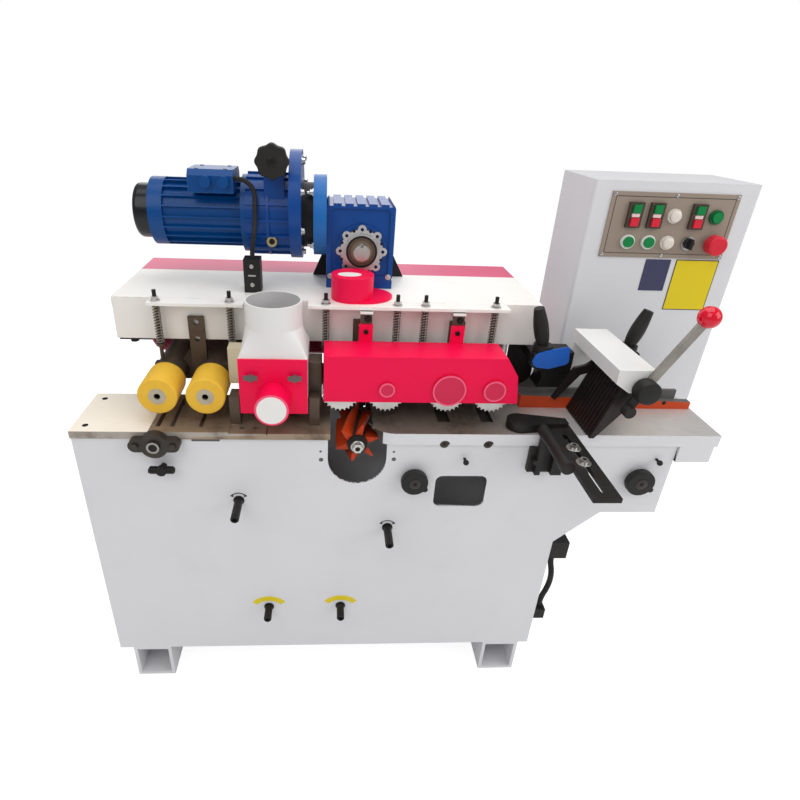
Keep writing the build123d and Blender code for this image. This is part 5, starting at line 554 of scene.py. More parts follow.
@dataclass(frozen=True)
class Finish(ABC):
    """Surface finish: one material, made the first time that it is used."""

    name: str
    colour: Colour
    roughness: float = 0.45
    metallic: float = 0.0
    coat: float = 0.0
    coat_roughness: float = 0.12
    bump: float = 0.25
    bump_mm: float = 0.3
    specular: float = 0.4
    dirt: Colour = (120, 112, 100)
    dirt_amount: float = 0.15

    @abstractmethod
    def group(self) -> bpy.types.NodeTree:
        """Node group that varies the finish over the surface."""

    @abstractmethod
    def own(self) -> dict[str, object]:
        """Values for the inputs that only this kind of finish has."""

    def colour_out(self, wires: Wiring, skin: bpy.types.Node) -> bpy.types.NodeSocket:
        """Colour that goes to the shader."""
        return skin.outputs["Color"]

    def skin(self, wires: Wiring, colour: Colour, dirt_amount: float) -> bpy.types.Node:
        """Node of the group, with its values set.

        Args:
            wires: wiring of the material.
            colour: clean colour.
            dirt_amount: share of dirt.
        Returns:
            The node.
        """
        made = wires.node("Group", node_tree=self.group())
        shared = {"Colour": linear(colour), "Dirt": linear(self.dirt), "Dirt Amount": dirt_amount,
                  "Roughness": self.roughness}
        for label, value in (shared | self.own()).items():
            made.inputs[label].default_value = value
        return made

    def material(self) -> bpy.types.Material:
        """Material with a Principled shader fed by the group.

        Returns:
            The material, shared by all pieces with this finish.
        """
        found = bpy.data.materials.get(self.name)
        if found is not None:
            return found
        made = bpy.data.materials.new(self.name)
        made.use_nodes = True
        made.diffuse_color = linear(self.colour)
        wires = Wiring(made.node_tree)
        skin, relief = self.skin(wires, self.colour, self.dirt_amount), wires.node("Bump")
        wires.feed(relief, Strength=self.bump, Distance=self.bump_mm * METRE, Height=skin.outputs["Height"])
        wires.feed(made.node_tree.nodes["Principled BSDF"], Metallic=self.metallic, Coat_Weight=self.coat,
                   Specular_IOR_Level=self.specular, Coat_Roughness=self.coat_roughness,
                   Normal=relief.outputs["Normal"], Roughness=skin.outputs["Roughness"],
                   Base_Color=self.colour_out(wires, skin))
        return made


@dataclass(frozen=True)
class Grained(Finish):
    """Cast, moulded or rubber surface with grain and dust."""

    scale: float = 900.0

    def group(self) -> bpy.types.NodeTree:
        """Fine grain."""
        return GroupKit.grains()

    def own(self) -> dict[str, object]:
        """Scale of the grain."""
        return {"Scale": self.scale}


@dataclass(frozen=True)
class BareMetal(Finish):
    """Machined metal with streaks along one direction and stains of oil."""

    metallic: float = 1.0
    dirt: Colour = (70, 60, 50)
    dirt_amount: float = 0.25
    streaks: Grain = Grain.ALONG_X

    def group(self) -> bpy.types.NodeTree:
        """Streaked metal."""
        return GroupKit.metal()

    def own(self) -> dict[str, object]:
        """Direction of the streaks."""
        return {"Streaks": self.streaks.value}


@dataclass(frozen=True)
class Graded(BareMetal):
    """Ground metal that turns along x from its own colour to a second, paler one: partly cleaner steel,
    partly a painted reflection of the white surround.
    """

    far_sheen: Colour = (200, 196, 192)
    far_dirt: float = 0.12
    span: Pair = (0.0, 1.0)

    def colour_out(self, wires: Wiring, skin: bpy.types.Node) -> bpy.types.NodeSocket:
        """Metal mixed with the far, paler colour of painted reflection by a smooth step of x over the span.
        """
        low, high = ((np.array(self.span) - CENTRE[0]) * METRE).tolist()
        share = wires.smooth(wires.along(wires.point())[0], low, high)
        second = self.skin(wires, self.far_sheen, self.far_dirt)
        return wires.mix(share, skin.outputs["Color"], second.outputs["Color"])


@dataclass(frozen=True)
class Paint(Finish):
    """Sprayed paint with soil, and with rubbed edges where a box is given."""

    dirt: Colour = (128, 118, 104)
    dirt_amount: float = 0.10
    peel: float = 1.0
    gloss_loss: float = 0.25
    box: Box | None = None
    rub_mm: float = 5.0
    rub_amount: float = 0.5
    under: Colour = (120, 116, 110)

    def group(self) -> bpy.types.NodeTree:
        """Paint skin."""
        return GroupKit.paint()

    def own(self) -> dict[str, object]:
        """Loss of gloss where it is soiled, and depth of the orange peel."""
        return {"Gloss Loss": self.gloss_loss, "Peel": self.peel}

    def colour_out(self, wires: Wiring, skin: bpy.types.Node) -> bpy.types.NodeSocket:
        """Paint, with the ground colour where the box's edges are rubbed."""
        if self.box is None:
            return skin.outputs["Color"]
        rub = wires.node("Group", node_tree=GroupKit.edges())
        low, high = row(self.box)
        wires.feed(rub, Low=low, High=high, Width=self.rub_mm * METRE, Amount=self.rub_amount)
        return wires.mix(rub.outputs["Mask"], skin.outputs["Color"], linear(self.under))

    def rubbed(self, name: str, low: Point, high: Point, amount: float, width: float) -> Paint:
        """Same paint under a longer name, for a box whose edges are rubbed to a width in millimetres."""
        return replace(self, name=f"{self.name}_{name}", box=(low, high), rub_amount=amount, rub_mm=width)


class Palette:
    """Finishes of the machine, with colours as a screen shows them."""

    WHITE = Paint("panel_white", (218, 218, 221), 0.36, coat=0.1, dirt_amount=0.06)
    WARM = Paint("beam_white", (240, 237, 232), 0.42, coat=0.05, dirt_amount=0.08)
    GUARD_WHITE = Paint("guard_white", (229, 228, 226), 0.36, coat=0.1, dirt_amount=0.05)
    # Painted shade: dark grey inside the base's window and throat, and flat patches for holes, slots and air
    # vents.
    SHADE = Paint("painted_shade_grey", (98, 94, 93), 0.55, dirt=(64, 58, 54), dirt_amount=0.3)
    PINK = Paint("cover_pink", (242, 8, 74), 0.36, specular=0.2, dirt=(150, 14, 52), dirt_amount=0.1)
    PALE_PINK = Paint("boss_pink", (212, 40, 80), 0.38, specular=0.25, dirt=(160, 60, 76), dirt_amount=0.3)
    RIM_PINK = Paint("rim_pink", (246, 92, 128), 0.36, coat=0.1, dirt=(200, 60, 90), dirt_amount=0.1)
    # Painted shade: a darker grey than the hood's white, for the inside of its bore.
    BORE_SHADE = Paint("bore_painted_shade", (206, 206, 206), 0.5, dirt=(150, 146, 138), dirt_amount=0.3)
    BORDER = Paint("line_dark", (66, 58, 52), 0.5, dirt_amount=0.1)
    STRIP = Paint("strip_pink", (214, 96, 128), 0.4, dirt=(176, 110, 122), dirt_amount=0.15)
    BLUE = Paint("motor_enamel", (0, 68, 132), 0.3, specular=0.25, coat=0.05, dirt=(8, 26, 60),
                 dirt_amount=0.2, peel=1.6)
    DISC_BLUE = Paint("disc_blue", (30, 104, 176), 0.3, specular=0.25, coat=0.05, dirt=(10, 40, 90),
                      dirt_amount=0.15, peel=1.6)
    NAVY = Paint("gearbox_enamel", (10, 68, 142), 0.26, specular=0.25, coat=0.08, dirt=(6, 18, 60),
                 dirt_amount=0.2, peel=1.6)
    ORANGE = Paint("fence_enamel", (206, 76, 36), 0.44, specular=0.25, dirt=(120, 46, 26), dirt_amount=0.2)
    # Heavy near-black dirt: partly real grime, partly painted shade that darkens the cutter as if under the
    # cover.
    CUTTER = Paint("cutter_orange", (186, 58, 18), 0.4, specular=0.25, dirt=(52, 22, 14), dirt_amount=0.6)
    CREAM = Paint("block_cream", (212, 200, 172), 0.45, dirt_amount=0.2)
    TAUPE = Paint("plate_taupe", (152, 137, 123), 0.44, dirt_amount=0.05, dirt=(120, 108, 96))
    YELLOW_PLATE = Paint("plate_yellow", (226, 202, 10), 0.42, dirt_amount=0.05)
    DARK_PLATE = Paint("plate_dark_blue", (58, 60, 92), 0.42, dirt_amount=0.1)
    PALE_PLATE = Paint("disc_white", (236, 234, 230), 0.42, dirt_amount=0.05)
    BLACK_PAINT = Paint("bracket_black", (34, 32, 31), 0.42, specular=0.25, dirt=(78, 72, 66),
                        dirt_amount=0.22, peel=2.0)
    GREY_PAINT = Paint("angle_grey", (96, 94, 92), 0.46, dirt=(60, 56, 52), dirt_amount=0.25)
    FAN_BLACK = Paint("fan_black", (22, 24, 30), 0.24, specular=0.3, coat=0.2, dirt=(60, 60, 62),
                      dirt_amount=0.1, peel=0.6)
    LABEL_BLUE = Paint("face_blue", (10, 92, 190), 0.35, dirt_amount=0.1)
    BED = BareMetal("oiled_bed", (160, 142, 122), 0.42, metallic=0.55, dirt=(88, 72, 58), dirt_amount=0.7,
                    bump=0.15)
    # The top turns paler towards the right: partly cleaner steel, partly a painted reflection of the white
    # surround.
    TABLE = Graded("ground_table", (124, 113, 103), 0.36, metallic=0.4, dirt=(70, 60, 52), dirt_amount=0.7,
                   bump=0.1, far_sheen=(206, 202, 200), span=(780.0, 1010.0))
    STEEL = BareMetal("bright_bar", (206, 204, 200), 0.3, streaks=Grain.ALONG_Y, dirt_amount=0.2, bump=0.1)
    TOOTHED = BareMetal("toothed_steel", (222, 220, 216), 0.34, metallic=0.6, streaks=Grain.EVEN,
                        dirt_amount=0.15)
    CAST_ALLOY = BareMetal("cast_alloy", (214, 214, 214), 0.38, streaks=Grain.EVEN, dirt=(110, 112, 116),
                           dirt_amount=0.3, bump=0.3)
    DARK = Grained("oiled_iron", (60, 54, 49), 0.42, metallic=0.35, dirt=(96, 84, 70), dirt_amount=0.35,
                   scale=500.0)
    BROWN = Grained("brown_iron", (92, 78, 66), 0.46, metallic=0.35, dirt=(60, 50, 42), dirt_amount=0.5,
                    scale=420.0)
    BLACK_STEEL = Grained("black_steel", (32, 30, 29), 0.4, metallic=0.2, specular=0.25, dirt=(72, 66, 60),
                          dirt_amount=0.25)
    SPRING = BareMetal("spring_wire", (164, 160, 154), 0.32, streaks=Grain.EVEN, dirt_amount=0.2, bump=0.1)
    ROLLER = Grained("roller_cover", (236, 188, 62), 0.5, specular=0.2, dirt=(216, 168, 54),
                     dirt_amount=0.35, scale=1100.0)
    FINGER = Grained("finger_black", (38, 32, 30), 0.44, metallic=0.3, dirt=(70, 58, 50), dirt_amount=0.3,
                     scale=600.0)
    SEAL_BROWN = Grained("seal_brown", (128, 110, 92), 0.42, metallic=0.5, dirt=(80, 66, 54),
                         dirt_amount=0.3)
    DARK_GREEN = Grained("ring_green", (10, 96, 54), 0.34, coat=0.2, dirt=(8, 60, 34), dirt_amount=0.1)
    HUB_GREY = Grained("hub_grey", (190, 180, 158), 0.44, metallic=0.4, dirt=(110, 100, 84),
                       dirt_amount=0.3)
    PLASTIC = Grained("moulded_black", (40, 39, 38), 0.46, specular=0.2, dirt=(80, 76, 72),
                      dirt_amount=0.15, scale=1400.0)
    RUBBER = Grained("rubber_black", (42, 41, 40), 0.58, specular=0.2, dirt=(84, 82, 80), dirt_amount=0.3,
                     scale=1200.0)
    GREEN = Grained("cap_green", (10, 128, 66), 0.3, specular=0.25, coat=0.1, dirt=(8, 96, 50),
                    dirt_amount=0.1)
    RED = Grained("cap_red", (214, 40, 58), 0.3, specular=0.25, coat=0.1, dirt=(150, 24, 36),
                  dirt_amount=0.1)
    BALL_RED = Grained("ball_red", (222, 2, 42), 0.16, specular=0.3, coat=0.5, dirt=(150, 8, 30),
                       dirt_amount=0.08, bump=0.05)
    SWITCH = Grained("switch_brown", (70, 58, 50), 0.4, dirt=(110, 98, 86), dirt_amount=0.15)
    LAMP = Grained("lamp_white", (222, 214, 204), 0.26, coat=0.4, dirt=(196, 186, 172), dirt_amount=0.15)
    LENS = Grained("lens_pale", (236, 210, 206), 0.24, coat=0.4, dirt=(206, 180, 176), dirt_amount=0.2)
    RING_WHITE = Grained("ring_white", (226, 232, 226), 0.3, dirt=(190, 196, 188), dirt_amount=0.15)
    BEZEL = BareMetal("bezel_chrome", (206, 206, 208), 0.24, streaks=Grain.EVEN, dirt_amount=0.1, bump=0.05)
    BRASS = BareMetal("brass_plug", (206, 190, 140), 0.3, streaks=Grain.EVEN, dirt_amount=0.2)
    EDGE = BareMetal("worn_edge", (176, 168, 158), 0.46, metallic=0.3, dirt=(104, 92, 80), dirt_amount=0.8,
                     bump=0.15)
    ROD = BareMetal("lever_rod", (158, 153, 146), 0.36, metallic=0.7, streaks=Grain.EVEN, dirt_amount=0.25,
                    bump=0.1)
    OUTFEED = Paint("plate_cream", (242, 233, 218), 0.4, dirt_amount=0.08)


def up_to(value: float) -> Pair:
    """Range of all that is not above a value."""
    return -FAR, value


def beyond(value: float) -> Pair:
    """Range of all that is not below a value."""
    return value, FAR


def about(value: float, reach: float) -> Pair:
    """Range on both sides of a value."""
    return value - reach, value + reach


@dataclass(frozen=True)
class Region:
    """Share of a node's faces: those whose middle lies in a box, near an axis and facing a direction."""

    x: Pair = (-FAR, FAR)
    y: Pair = (-FAR, FAR)
    z: Pair = (-FAR, FAR)
    facing: Point | None = None
    lean: float = 0.7
    axis_at: Point | None = None
    axis: Point = BACK
    radius: Pair = (0.0, FAR)

    def mask(self, middles: np.ndarray, normals: np.ndarray) -> np.ndarray:
        """Which faces belong to the region.

        Args:
            middles: middle of each face in machine millimetres.
            normals: outward normal of each face.
        Returns:
            True for each face in the region.
        """
        low, high = np.transpose((self.x, self.y, self.z))
        inside = np.all((middles >= low) & (middles <= high), axis=1)
        if self.facing is not None:
            inside &= normals @ unit(self.facing) > self.lean
        if self.axis_at is not None:
            distance = np.linalg.norm(np.cross(middles - self.axis_at, unit(self.axis)), axis=1)
            inside &= (distance >= self.radius[0]) & (distance <= self.radius[1])
        return inside


def dress(node: str, base: Finish, *layers: tuple[Region, Finish]) -> None:
    """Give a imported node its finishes, later layers over earlier ones.

    Args:
        node: name of the node.
        base: finish of all faces that no layer takes.
        layers: regions with their finishes.
    """
    mesh = bpy.data.objects[node].data
    count = len(mesh.polygons)
    middles, normals = np.empty(count * 3), np.empty(count * 3)
    mesh.polygons.foreach_get("center", middles)
    mesh.polygons.foreach_get("normal", normals)
    slots = np.zeros(count, np.int32)
    mesh.materials.clear()
    mesh.materials.append(base.material())
    for region, finish in layers:
        mesh.materials.append(finish.material())
        slots[region.mask(machine(middles), normals.reshape(-1, 3))] = len(mesh.materials) - 1
    mesh.polygons.foreach_set("material_index", slots)
    mesh.update()
    LOG.info("node %s: %s", node, ", ".join(m.name for m in mesh.materials))


def dress_plain(finish: Finish, *nodes: str) -> None:
    """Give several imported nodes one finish."""
    for node in nodes:
        dress(node, finish)


@dataclass
class Studio:
    """Pale floor, soft lamps and the camera at the photograph's place, in metres of the row frame."""

    floor_size: float = 30.0
    floor_colour: Colour = (246, 246, 246)
    floor_white: float = 0.6
    floor_glow: float = 1.39
    surround: float = 0.46
    gloss_surround: float = 0.26
    camera_at: Point = (-0.20921, -1.08172, 1.30383)
    camera_turn: Point = (0.492645, -0.056134, 0.025343)
    focal_px: float = 565.125
    principal_px: Pair = (360.561, 402.959)
    frame_px: float = 800.0
    sensor: float = 36.0
    lamps: tuple[tuple[str, Point, Point, float, float], ...] = (
        ("key_lamp", (-1.6, -2.4, 3.4), (0.0, 0.0, 0.7), 2.6, 40.0),
        ("fill_lamp", (2.8, -1.6, 2.4), (0.1, 0.0, 0.8), 2.4, 38.0),
        ("top_lamp", (0.2, 0.6, 3.6), (0.0, 0.1, 0.8), 3.0, 52.0),
        ("back_lamp", (-0.6, 3.2, 2.2), (0.0, 0.0, 0.7), 2.4, 24.0),
    )

    def build(self) -> None:
        """Set the view, then make the floor, the lamps, the world and the camera."""
        bpy.context.scene.view_settings.view_transform = "Standard"
        self._floor()
        self._world()
        for lamp in self.lamps:
            self._lamp(*lamp)
        self._camera()

    @staticmethod
    def _place(name: str, data: bpy.types.ID) -> bpy.types.Object:
        """New object with the given data, linked to the scene."""
        made = bpy.data.objects.new(name, data)
        bpy.context.scene.collection.objects.link(made)
        return made

    def _floor(self) -> None:
        """Flat square whose grid of four corners lies at floor height; the camera sees it as near white."""
        side = np.array((-0.5, 0.5)) * self.floor_size
        corners = np.stack(np.meshgrid(side, side, 0.0), axis=-1).reshape(-1, 3)
        mesh = bpy.data.meshes.new("studio_floor")
        mesh.from_pydata(corners.tolist(), [], [(0, 1, 3, 2)])
        made = bpy.data.materials.new("studio_floor")
        made.use_nodes = True
        nodes = made.node_tree.nodes
        wires = Wiring(made.node_tree)
        wires.feed(nodes["Principled BSDF"], Base_Color=linear(self.floor_colour), Roughness=0.9,
                   Specular_IOR_Level=0.1)
        white, both, path = wires.node("Emission"), wires.node("MixShader"), wires.node("LightPath")
        wires.feed(white, Strength=self.floor_glow)
        share = wires.math("MULTIPLY", path.outputs["Is Camera Ray"], self.floor_white)
        shaders = (share, nodes["Principled BSDF"].outputs[0], white.outputs[0])
        for target, value in zip(both.inputs, shaders):
            wires.join(target, value)
        wires.feed(nodes["Material Output"], Surface=both.outputs[0])
        mesh.materials.append(made)
        self._place("studio_floor", mesh)

    def _world(self) -> None:
        """Even white surround that camera rays see as white, with a lower light for gloss and other rays."""
        world = bpy.data.worlds.new("studio_world")
        bpy.context.scene.world = world
        world.use_nodes = True
        wires = Wiring(world.node_tree)
        rays = wires.node("LightPath").outputs
        gloss = wires.math("MULTIPLY", rays["Is Glossy Ray"], self.surround - self.gloss_surround)
        strength = wires.math("MAXIMUM", rays["Is Camera Ray"], wires.math("SUBTRACT", self.surround, gloss))
        wires.feed(world.node_tree.nodes["Background"], Color=(1.0, 1.0, 1.0, 1.0), Strength=strength)

    def _lamp(self, name: str, place: Point, target: Point, size: float, power: float) -> None:
        """Square soft lamp that looks at a target.

        Args:
            name: name of the lamp.
            place: where it stands.
            target: point that it looks at.
            size: side of its square.
            power: power in watts.
        """
        light = bpy.data.lights.new(name, "AREA")
        light.size, light.energy = size, power
        lamp = self._place(name, light)
        lamp.location = place
        lamp.rotation_euler = (Vector(target) - Vector(place)).to_track_quat("-Z", "Y").to_euler()

    def _camera(self) -> None:
        """Camera from a rotation vector: the turn by its length about its direction takes machine axes,
        with x right, z down and y forward, to image axes."""
        turn = Vector(self.camera_turn)
        world_to_view = np.array(Matrix.Rotation(turn.length, 3, turn)) @ np.array((RIGHT, (0, 0, -1), BACK))
        view_to_world = world_to_view.T @ np.diag((1.0, -1.0, -1.0))
        lens = bpy.data.cameras.new("photo_camera")
        lens.sensor_width = self.sensor
        lens.lens = self.focal_px / self.frame_px * self.sensor
        lens.shift_x = (self.frame_px / 2 - self.principal_px[0]) / self.frame_px
        lens.shift_y = (self.principal_px[1] - self.frame_px / 2) / self.frame_px
        lens.clip_start = 0.01
        camera = self._place("photo_camera", lens)
        camera.matrix_world = Matrix.Translation(self.camera_at) @ Matrix(view_to_world.tolist()).to_4x4()
        bpy.context.scene.camera = camera


@dataclass
class Leads:
    """Corrugated conduit beside the base and cable from the motor, each along its own route."""

    conduit_route: Points = (
        (1042.0, 40.0, 362.0), (1042.0, 40.0, 338.0), (1052.0, 40.0, 306.0), (1055.0, 40.0, 274.0),
        (1051.0, 40.0, 243.0), (1042.0, 40.0, 214.0), (1042.0, 40.0, 190.0),
    )
    cable_route: Points = (
        (310.0, 233.0, 1159.0), (326.0, 233.0, 1159.0), (341.6, 231.0, 1150.0), (350.6, 227.0, 1134.0),
        (351.0, 216.0, 1109.0), (350.0, 213.0, 1081.0), (346.0, 213.0, 1053.0), (342.0, 213.0, 1029.0),
        (341.0, 213.0, 1010.0),
    )
    conduit_radius: float = 7.0
    conduit_ribs: float = 1.1
    conduit_length: float = 174.7
    cable_radius: float = 5.0
    cable_ribs: float = 0.5
    cable_length: float = 178.7
    rib_pitch: float = 5.0
    rings_per_rib: int = 6
    sides: int = 20
    helper: Point = (0.37, 0.88, 0.29)

    def build(self) -> None:
        """Make both leads."""
        self._sheath("conduit_sheath", "base", "conduit", self.conduit_route, self.conduit_radius,
                     self.conduit_ribs, self.conduit_length)
        self._sheath("cable_sheath", "beam", "motor_cable", self.cable_route, self.cable_radius,
                     self.cable_ribs, self.cable_length)

    @staticmethod
    def _line(route: Sequence[Point], name: str) -> np.ndarray:
        """Points along the smooth line that a route's points steer.

        Args:
            route: control points in machine millimetres.
            name: name for the helper curve.
        Returns:
            Points in machine millimetres, close together.
        """
        curve = bpy.data.curves.new(name, "CURVE")
        curve.dimensions = "3D"
        curve.resolution_u = 24
        spline = curve.splines.new("NURBS")
        spline.points.add(len(route) - 1)
        spline.points.foreach_set("co", np.column_stack((row(route), np.ones(len(route)))).reshape(-1))
        spline.order_u = 3
        spline.use_endpoint_u = True
        holder = bpy.data.objects.new(name, curve)
        bpy.context.scene.collection.objects.link(holder)
        bpy.context.view_layer.update()
        mesh = bpy.data.meshes.new_from_object(holder)
        flat = np.empty(len(mesh.vertices) * 3)
        mesh.vertices.foreach_get("co", flat)
        bpy.data.objects.remove(holder)
        bpy.data.meshes.remove(mesh)
        return machine(flat)

    @staticmethod
    def _even(points: np.ndarray, step: float) -> np.ndarray:
        """Same line with points a step apart, by length along it."""
        run = np.concatenate(((0.0,), np.cumsum(np.linalg.norm(np.diff(points, axis=0), axis=1))))
        keep = np.concatenate(((True,), np.diff(run) > 1e-9))
        places = np.linspace(0, run[-1], max(int(run[-1] / step), 8))
        return np.stack([np.interp(places, run[keep], line) for line in points[keep].T], axis=-1)

    def _sheath(self, name: str, body: str, node: str, route: Sequence[Point], radius: float, depth: float,
                length: float) -> None:
        """Ribbed tube: rings along the line, each of radius minus depth times the square of a sine of the
        length run, so that the outer radius is the tube's.

        Args:
            name: name of the piece.
            body: body that carries it.
            node: node that it stands for.
            route: control points.
            radius: outer radius.
            depth: depth of the grooves.
            length: real length in millimetres; not used.
        """
        step = self.rib_pitch / self.rings_per_rib
        path = self._even(self._line(route, name + "_line"), step)
        ahead = unit(np.gradient(path, axis=0))
        side = unit(np.cross(ahead, self.helper))
        width = radius - depth * np.sin(math.pi * np.arange(len(path)) * step / self.rib_pitch) ** 2
        tube = Shape().tube(path, side, np.cross(ahead, side), width, self.sides)
        piece = tube.piece(name, body, [Palette.RUBBER], node=node)
        row(route[0])
        row(path).tolist()


@dataclass(frozen=True)
class Slab:
    """Flat box with round corners that stands in x and z and grows towards the front."""

    size: Pair
    corner: float
    place: Point
    thickness: float
    slot: int = 0
    edge: float = 0.0

    def add(self, shape: Shape) -> None:
        """Add the box to a shape."""
        shape.face(soft_box(*self.size, self.corner), self.place, self.thickness, self.slot, self.edge)


@dataclass
class BaseFrame:
    """Welded base with its front panel, the outfeed end plate and the hand-turned pieces on the panel."""

    window: Region = Region((722.0, 844.0), (3.0, 160.0), (530.0, 622.0))
    throat: Region = Region(y=(2.0, 154.0), z=beyond(540.0), axis_at=(560.5, 0.0, 656.0), radius=(0.0, 63.0))
    plate_front: Region = Region(y=up_to(-4.9))
    plate_holes: Region = Region((2.0, 148.0), (-3.0, 153.0), (705.2, 720.9))
    bearing_flange: Region = Region((100.0, 230.0), (-60.0, 1.0), (660.0, 740.0))
    plunger: Region = Region((925.0, 940.0), (-5.2, 1.0), (725.0, 745.0))
    mark_depth: float = 0.1
    crank_spindles: Points = ((315.0, 552.0, 65.0), (633.0, 478.0, 60.0))
    scale_spindles: Points = ((366.0, 237.0, 40.0), (535.0, 238.0, 40.0))
    spindle_radius: float = 8.8
    spindle_root: float = 40.0
    spindle_collar: Pairs = ((11.5, 0.3), (11.5, 2.6), (10.8, 3.2))
    tee: Point = (171.0, -17.0, 640.0)
    tee_profile: Pairs = ((5.0, -25.0), (8.0, -22.0), (8.0, 22.0), (5.0, 25.0))
    clamp_x: float = 971.0
    clamp_screws: Pair = (-69.0, -118.0)
    bar_top: float = 730.3
    screw_height: float = 8.3
    washer: Pairs = ((14.0, 0.1), (14.0, 1.4), (13.4, 1.9))
    socket: Pairs = ((4.2, -0.1), (3.9, 0.25))
    bearing: Point = (164.0, -28.2, 699.0)
    bearing_ring: Pair = (8.4, 12.4)
    # Holes and the table slot below are drawn as flat dark patches of painted shade.
    holes: Points = (
        (486.0, 675.0, 2.6), (487.0, 655.0, 4.6), (635.0, 675.0, 2.6), (636.0, 657.0, 4.6),
    )
    table_slot: Slab = Slab((56.0, 5.0), 2.4, (259.0, 0.1, 700.0), 0.35, 2)
    label_radii: Pair = (38.0, 52.0)
    label_drop: float = 20.0
    label_arc: Pair = (42.0, 138.0)
    arrow_radius: float = 17.0
    arrow_width: float = 2.2
    arrow_arc: Pair = (40.0, 140.0)
    arrow_lean: Pair = (-0.7, 0.7)
    arrow_head: Pairs = ((0.0, -5.0), (4.0, 2.0), (-4.0, 2.0))
    knobs: Pairs = ((680.5, 611.0), (1162.0, 612.0))
    cap_shares: Pair = (0.42, 0.3)
    nub: Pairs = ((4.5, 0.0), (4.2, 2.2), (3.0, 2.8))
    back_panel: Point = (507.0, 430.0, 320.0)
    back_size: Pair = (560.0, 300.0)
    back_border: float = 36.0
    back_columns: tuple[float, ...] = (-0.5, -0.17, 0.17, 0.5)
    vent_size: Pair = (50.0, 6.0)
    vent_pitch: Pair = (68.0, 18.0)
    vent_grid: tuple[int, int] = (6, 4)
    vent_top: float = 70.0

    def build(self) -> None:
        """Dress the base and its hand-turned pieces, then add what is bolted to it or marked on it."""
        # Painted shade on the inner faces of the window and the throat.
        dress("base_cabinet", Palette.WHITE, (self.window, Palette.SHADE), (self.throat, Palette.SHADE))
        dress("outfeed_plate", Palette.OUTFEED, (self.plate_front, Palette.EDGE),
              (self.plate_holes, Palette.BLACK_STEEL))
        dress_plain(Palette.STEEL, "rear_supports")
        dress_plain(Palette.BLACK_STEEL, "t_handle", *(f"crank_spindle_{number}" for number in range(1, 5)))
        dress_plain(Palette.PLASTIC, "hand_knob_1", "hand_knob_2")
        self._brackets()
        self._marks()
        self._knob_caps()
        self._spindles()
        self._back_panel()

    def _brackets(self) -> None:
        """Black carrier with bright screws on washers, the plunger pin and the shaft end in the bearing."""
        screws = Region(about(self.clamp_x, 9.0), up_to(-50.0), beyond(self.bar_top))
        dress("panel_brackets", Palette.BLACK_PAINT, (self.bearing_flange, Palette.DARK),
              (screws, Palette.STEEL), (self.plunger, Palette.STEEL))
        shape = Shape()
        for y in self.clamp_screws:
            foot, top = (self.clamp_x, y, self.bar_top), (self.clamp_x, y, self.bar_top + self.screw_height)
            shape.turned(foot, UP, self.washer)
            shape.turned(top, UP, self.socket, 6, slot=1)
        shape.ring(self.bearing, FRONT, *self.bearing_ring, 1.2, slot=2)
        shape.disc(self.bearing, FRONT, self.bearing_ring[0] + DIP, 0.4, slot=1)
        shape.piece("clamp_washers", "base", [Palette.STEEL, Palette.BLACK_STEEL, Palette.SPRING])

    def _marks(self) -> None:
        """Bare yellow arcs over two spindles, thin double arrows over the others, and holes and a slot in the
        panel drawn as flat dark patches of painted shade.
        """
        shape = Shape()
        for x, z, _ in self.scale_spindles:
            place = (x, self.mark_depth, z - self.label_drop)
            shape.face(sector(*self.label_radii, *self.label_arc), place, 0.5)
        for x, z, _ in self.crank_spindles:
            place = (x, self.mark_depth, z)
            arc = sector(self.arrow_radius, self.arrow_radius + self.arrow_width, *self.arrow_arc)
            shape.face(arc, place, 0.4, slot=1)
            for end, lean in zip(self.arrow_arc, self.arrow_lean):
                turn, reach = math.radians(end), self.arrow_radius + self.arrow_width / 2
                spin = np.array(((math.cos(lean), math.sin(lean)), (-math.sin(lean), math.cos(lean))))
                middle = reach * np.array((math.cos(turn), math.sin(turn)))
                shape.face(np.array(self.arrow_head) @ spin + middle, place, 0.45, slot=1)
        for x, z, radius in self.holes:
            shape.turned((x, self.mark_depth, z), FRONT, ((radius, 0.0), (radius, 0.35)), 24, slot=2)
        self.table_slot.add(shape)
        shape.piece("panel_marks", "base", [Palette.YELLOW_PLATE, Palette.PLASTIC, Palette.SHADE])

    def _knob_caps(self) -> None:
        """Dark centre disc and nub on each hand knob."""
        for number, (x, z) in enumerate(self.knobs, start=1):
            node = f"hand_knob_{number}"
            low, high = machine(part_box(node))
            place = (x, low[1], z)
            wide, narrow = np.array(self.cap_shares) * (high[0] - low[0]) / 2
            shape = Shape().turned(place, FRONT, ((wide, -DIP), (wide, 0.6), (narrow, 1.6)))
            shape.turned(place, FRONT, self.nub, 20, slot=1)
            shape.piece(f"knob_cap_{number}", node, [Palette.DARK, Palette.BLACK_STEEL])

    def _spindles(self) -> None:
        """Plain rods with a socket and a collar, shown for the stepped spindles, and a stout T-bar."""
        for number, (x, z, reach) in enumerate(self.crank_spindles + self.scale_spindles, start=1):
            wide = self.spindle_radius
            rod = ((wide, -self.spindle_root), (wide, reach - 1.5), (wide - 1.2, reach), (5.0, reach),
                   (4.4, reach - 5.0))
            node = f"crank_spindle_{number}"
            shape = Shape().turned((x, 0.0, z), FRONT, rod, 28)
            shape.turned((x, 0.0, z), FRONT, self.spindle_collar, 28)
            shape.piece(f"plain_spindle_{number}", node, [Palette.BLACK_STEEL], slot_name="dark_steel",
                        node=node)
        bar = Shape().turned(self.tee, RIGHT, self.tee_profile, 28)
        bar.piece("tee_bar", "t_handle", [Palette.BLACK_STEEL])

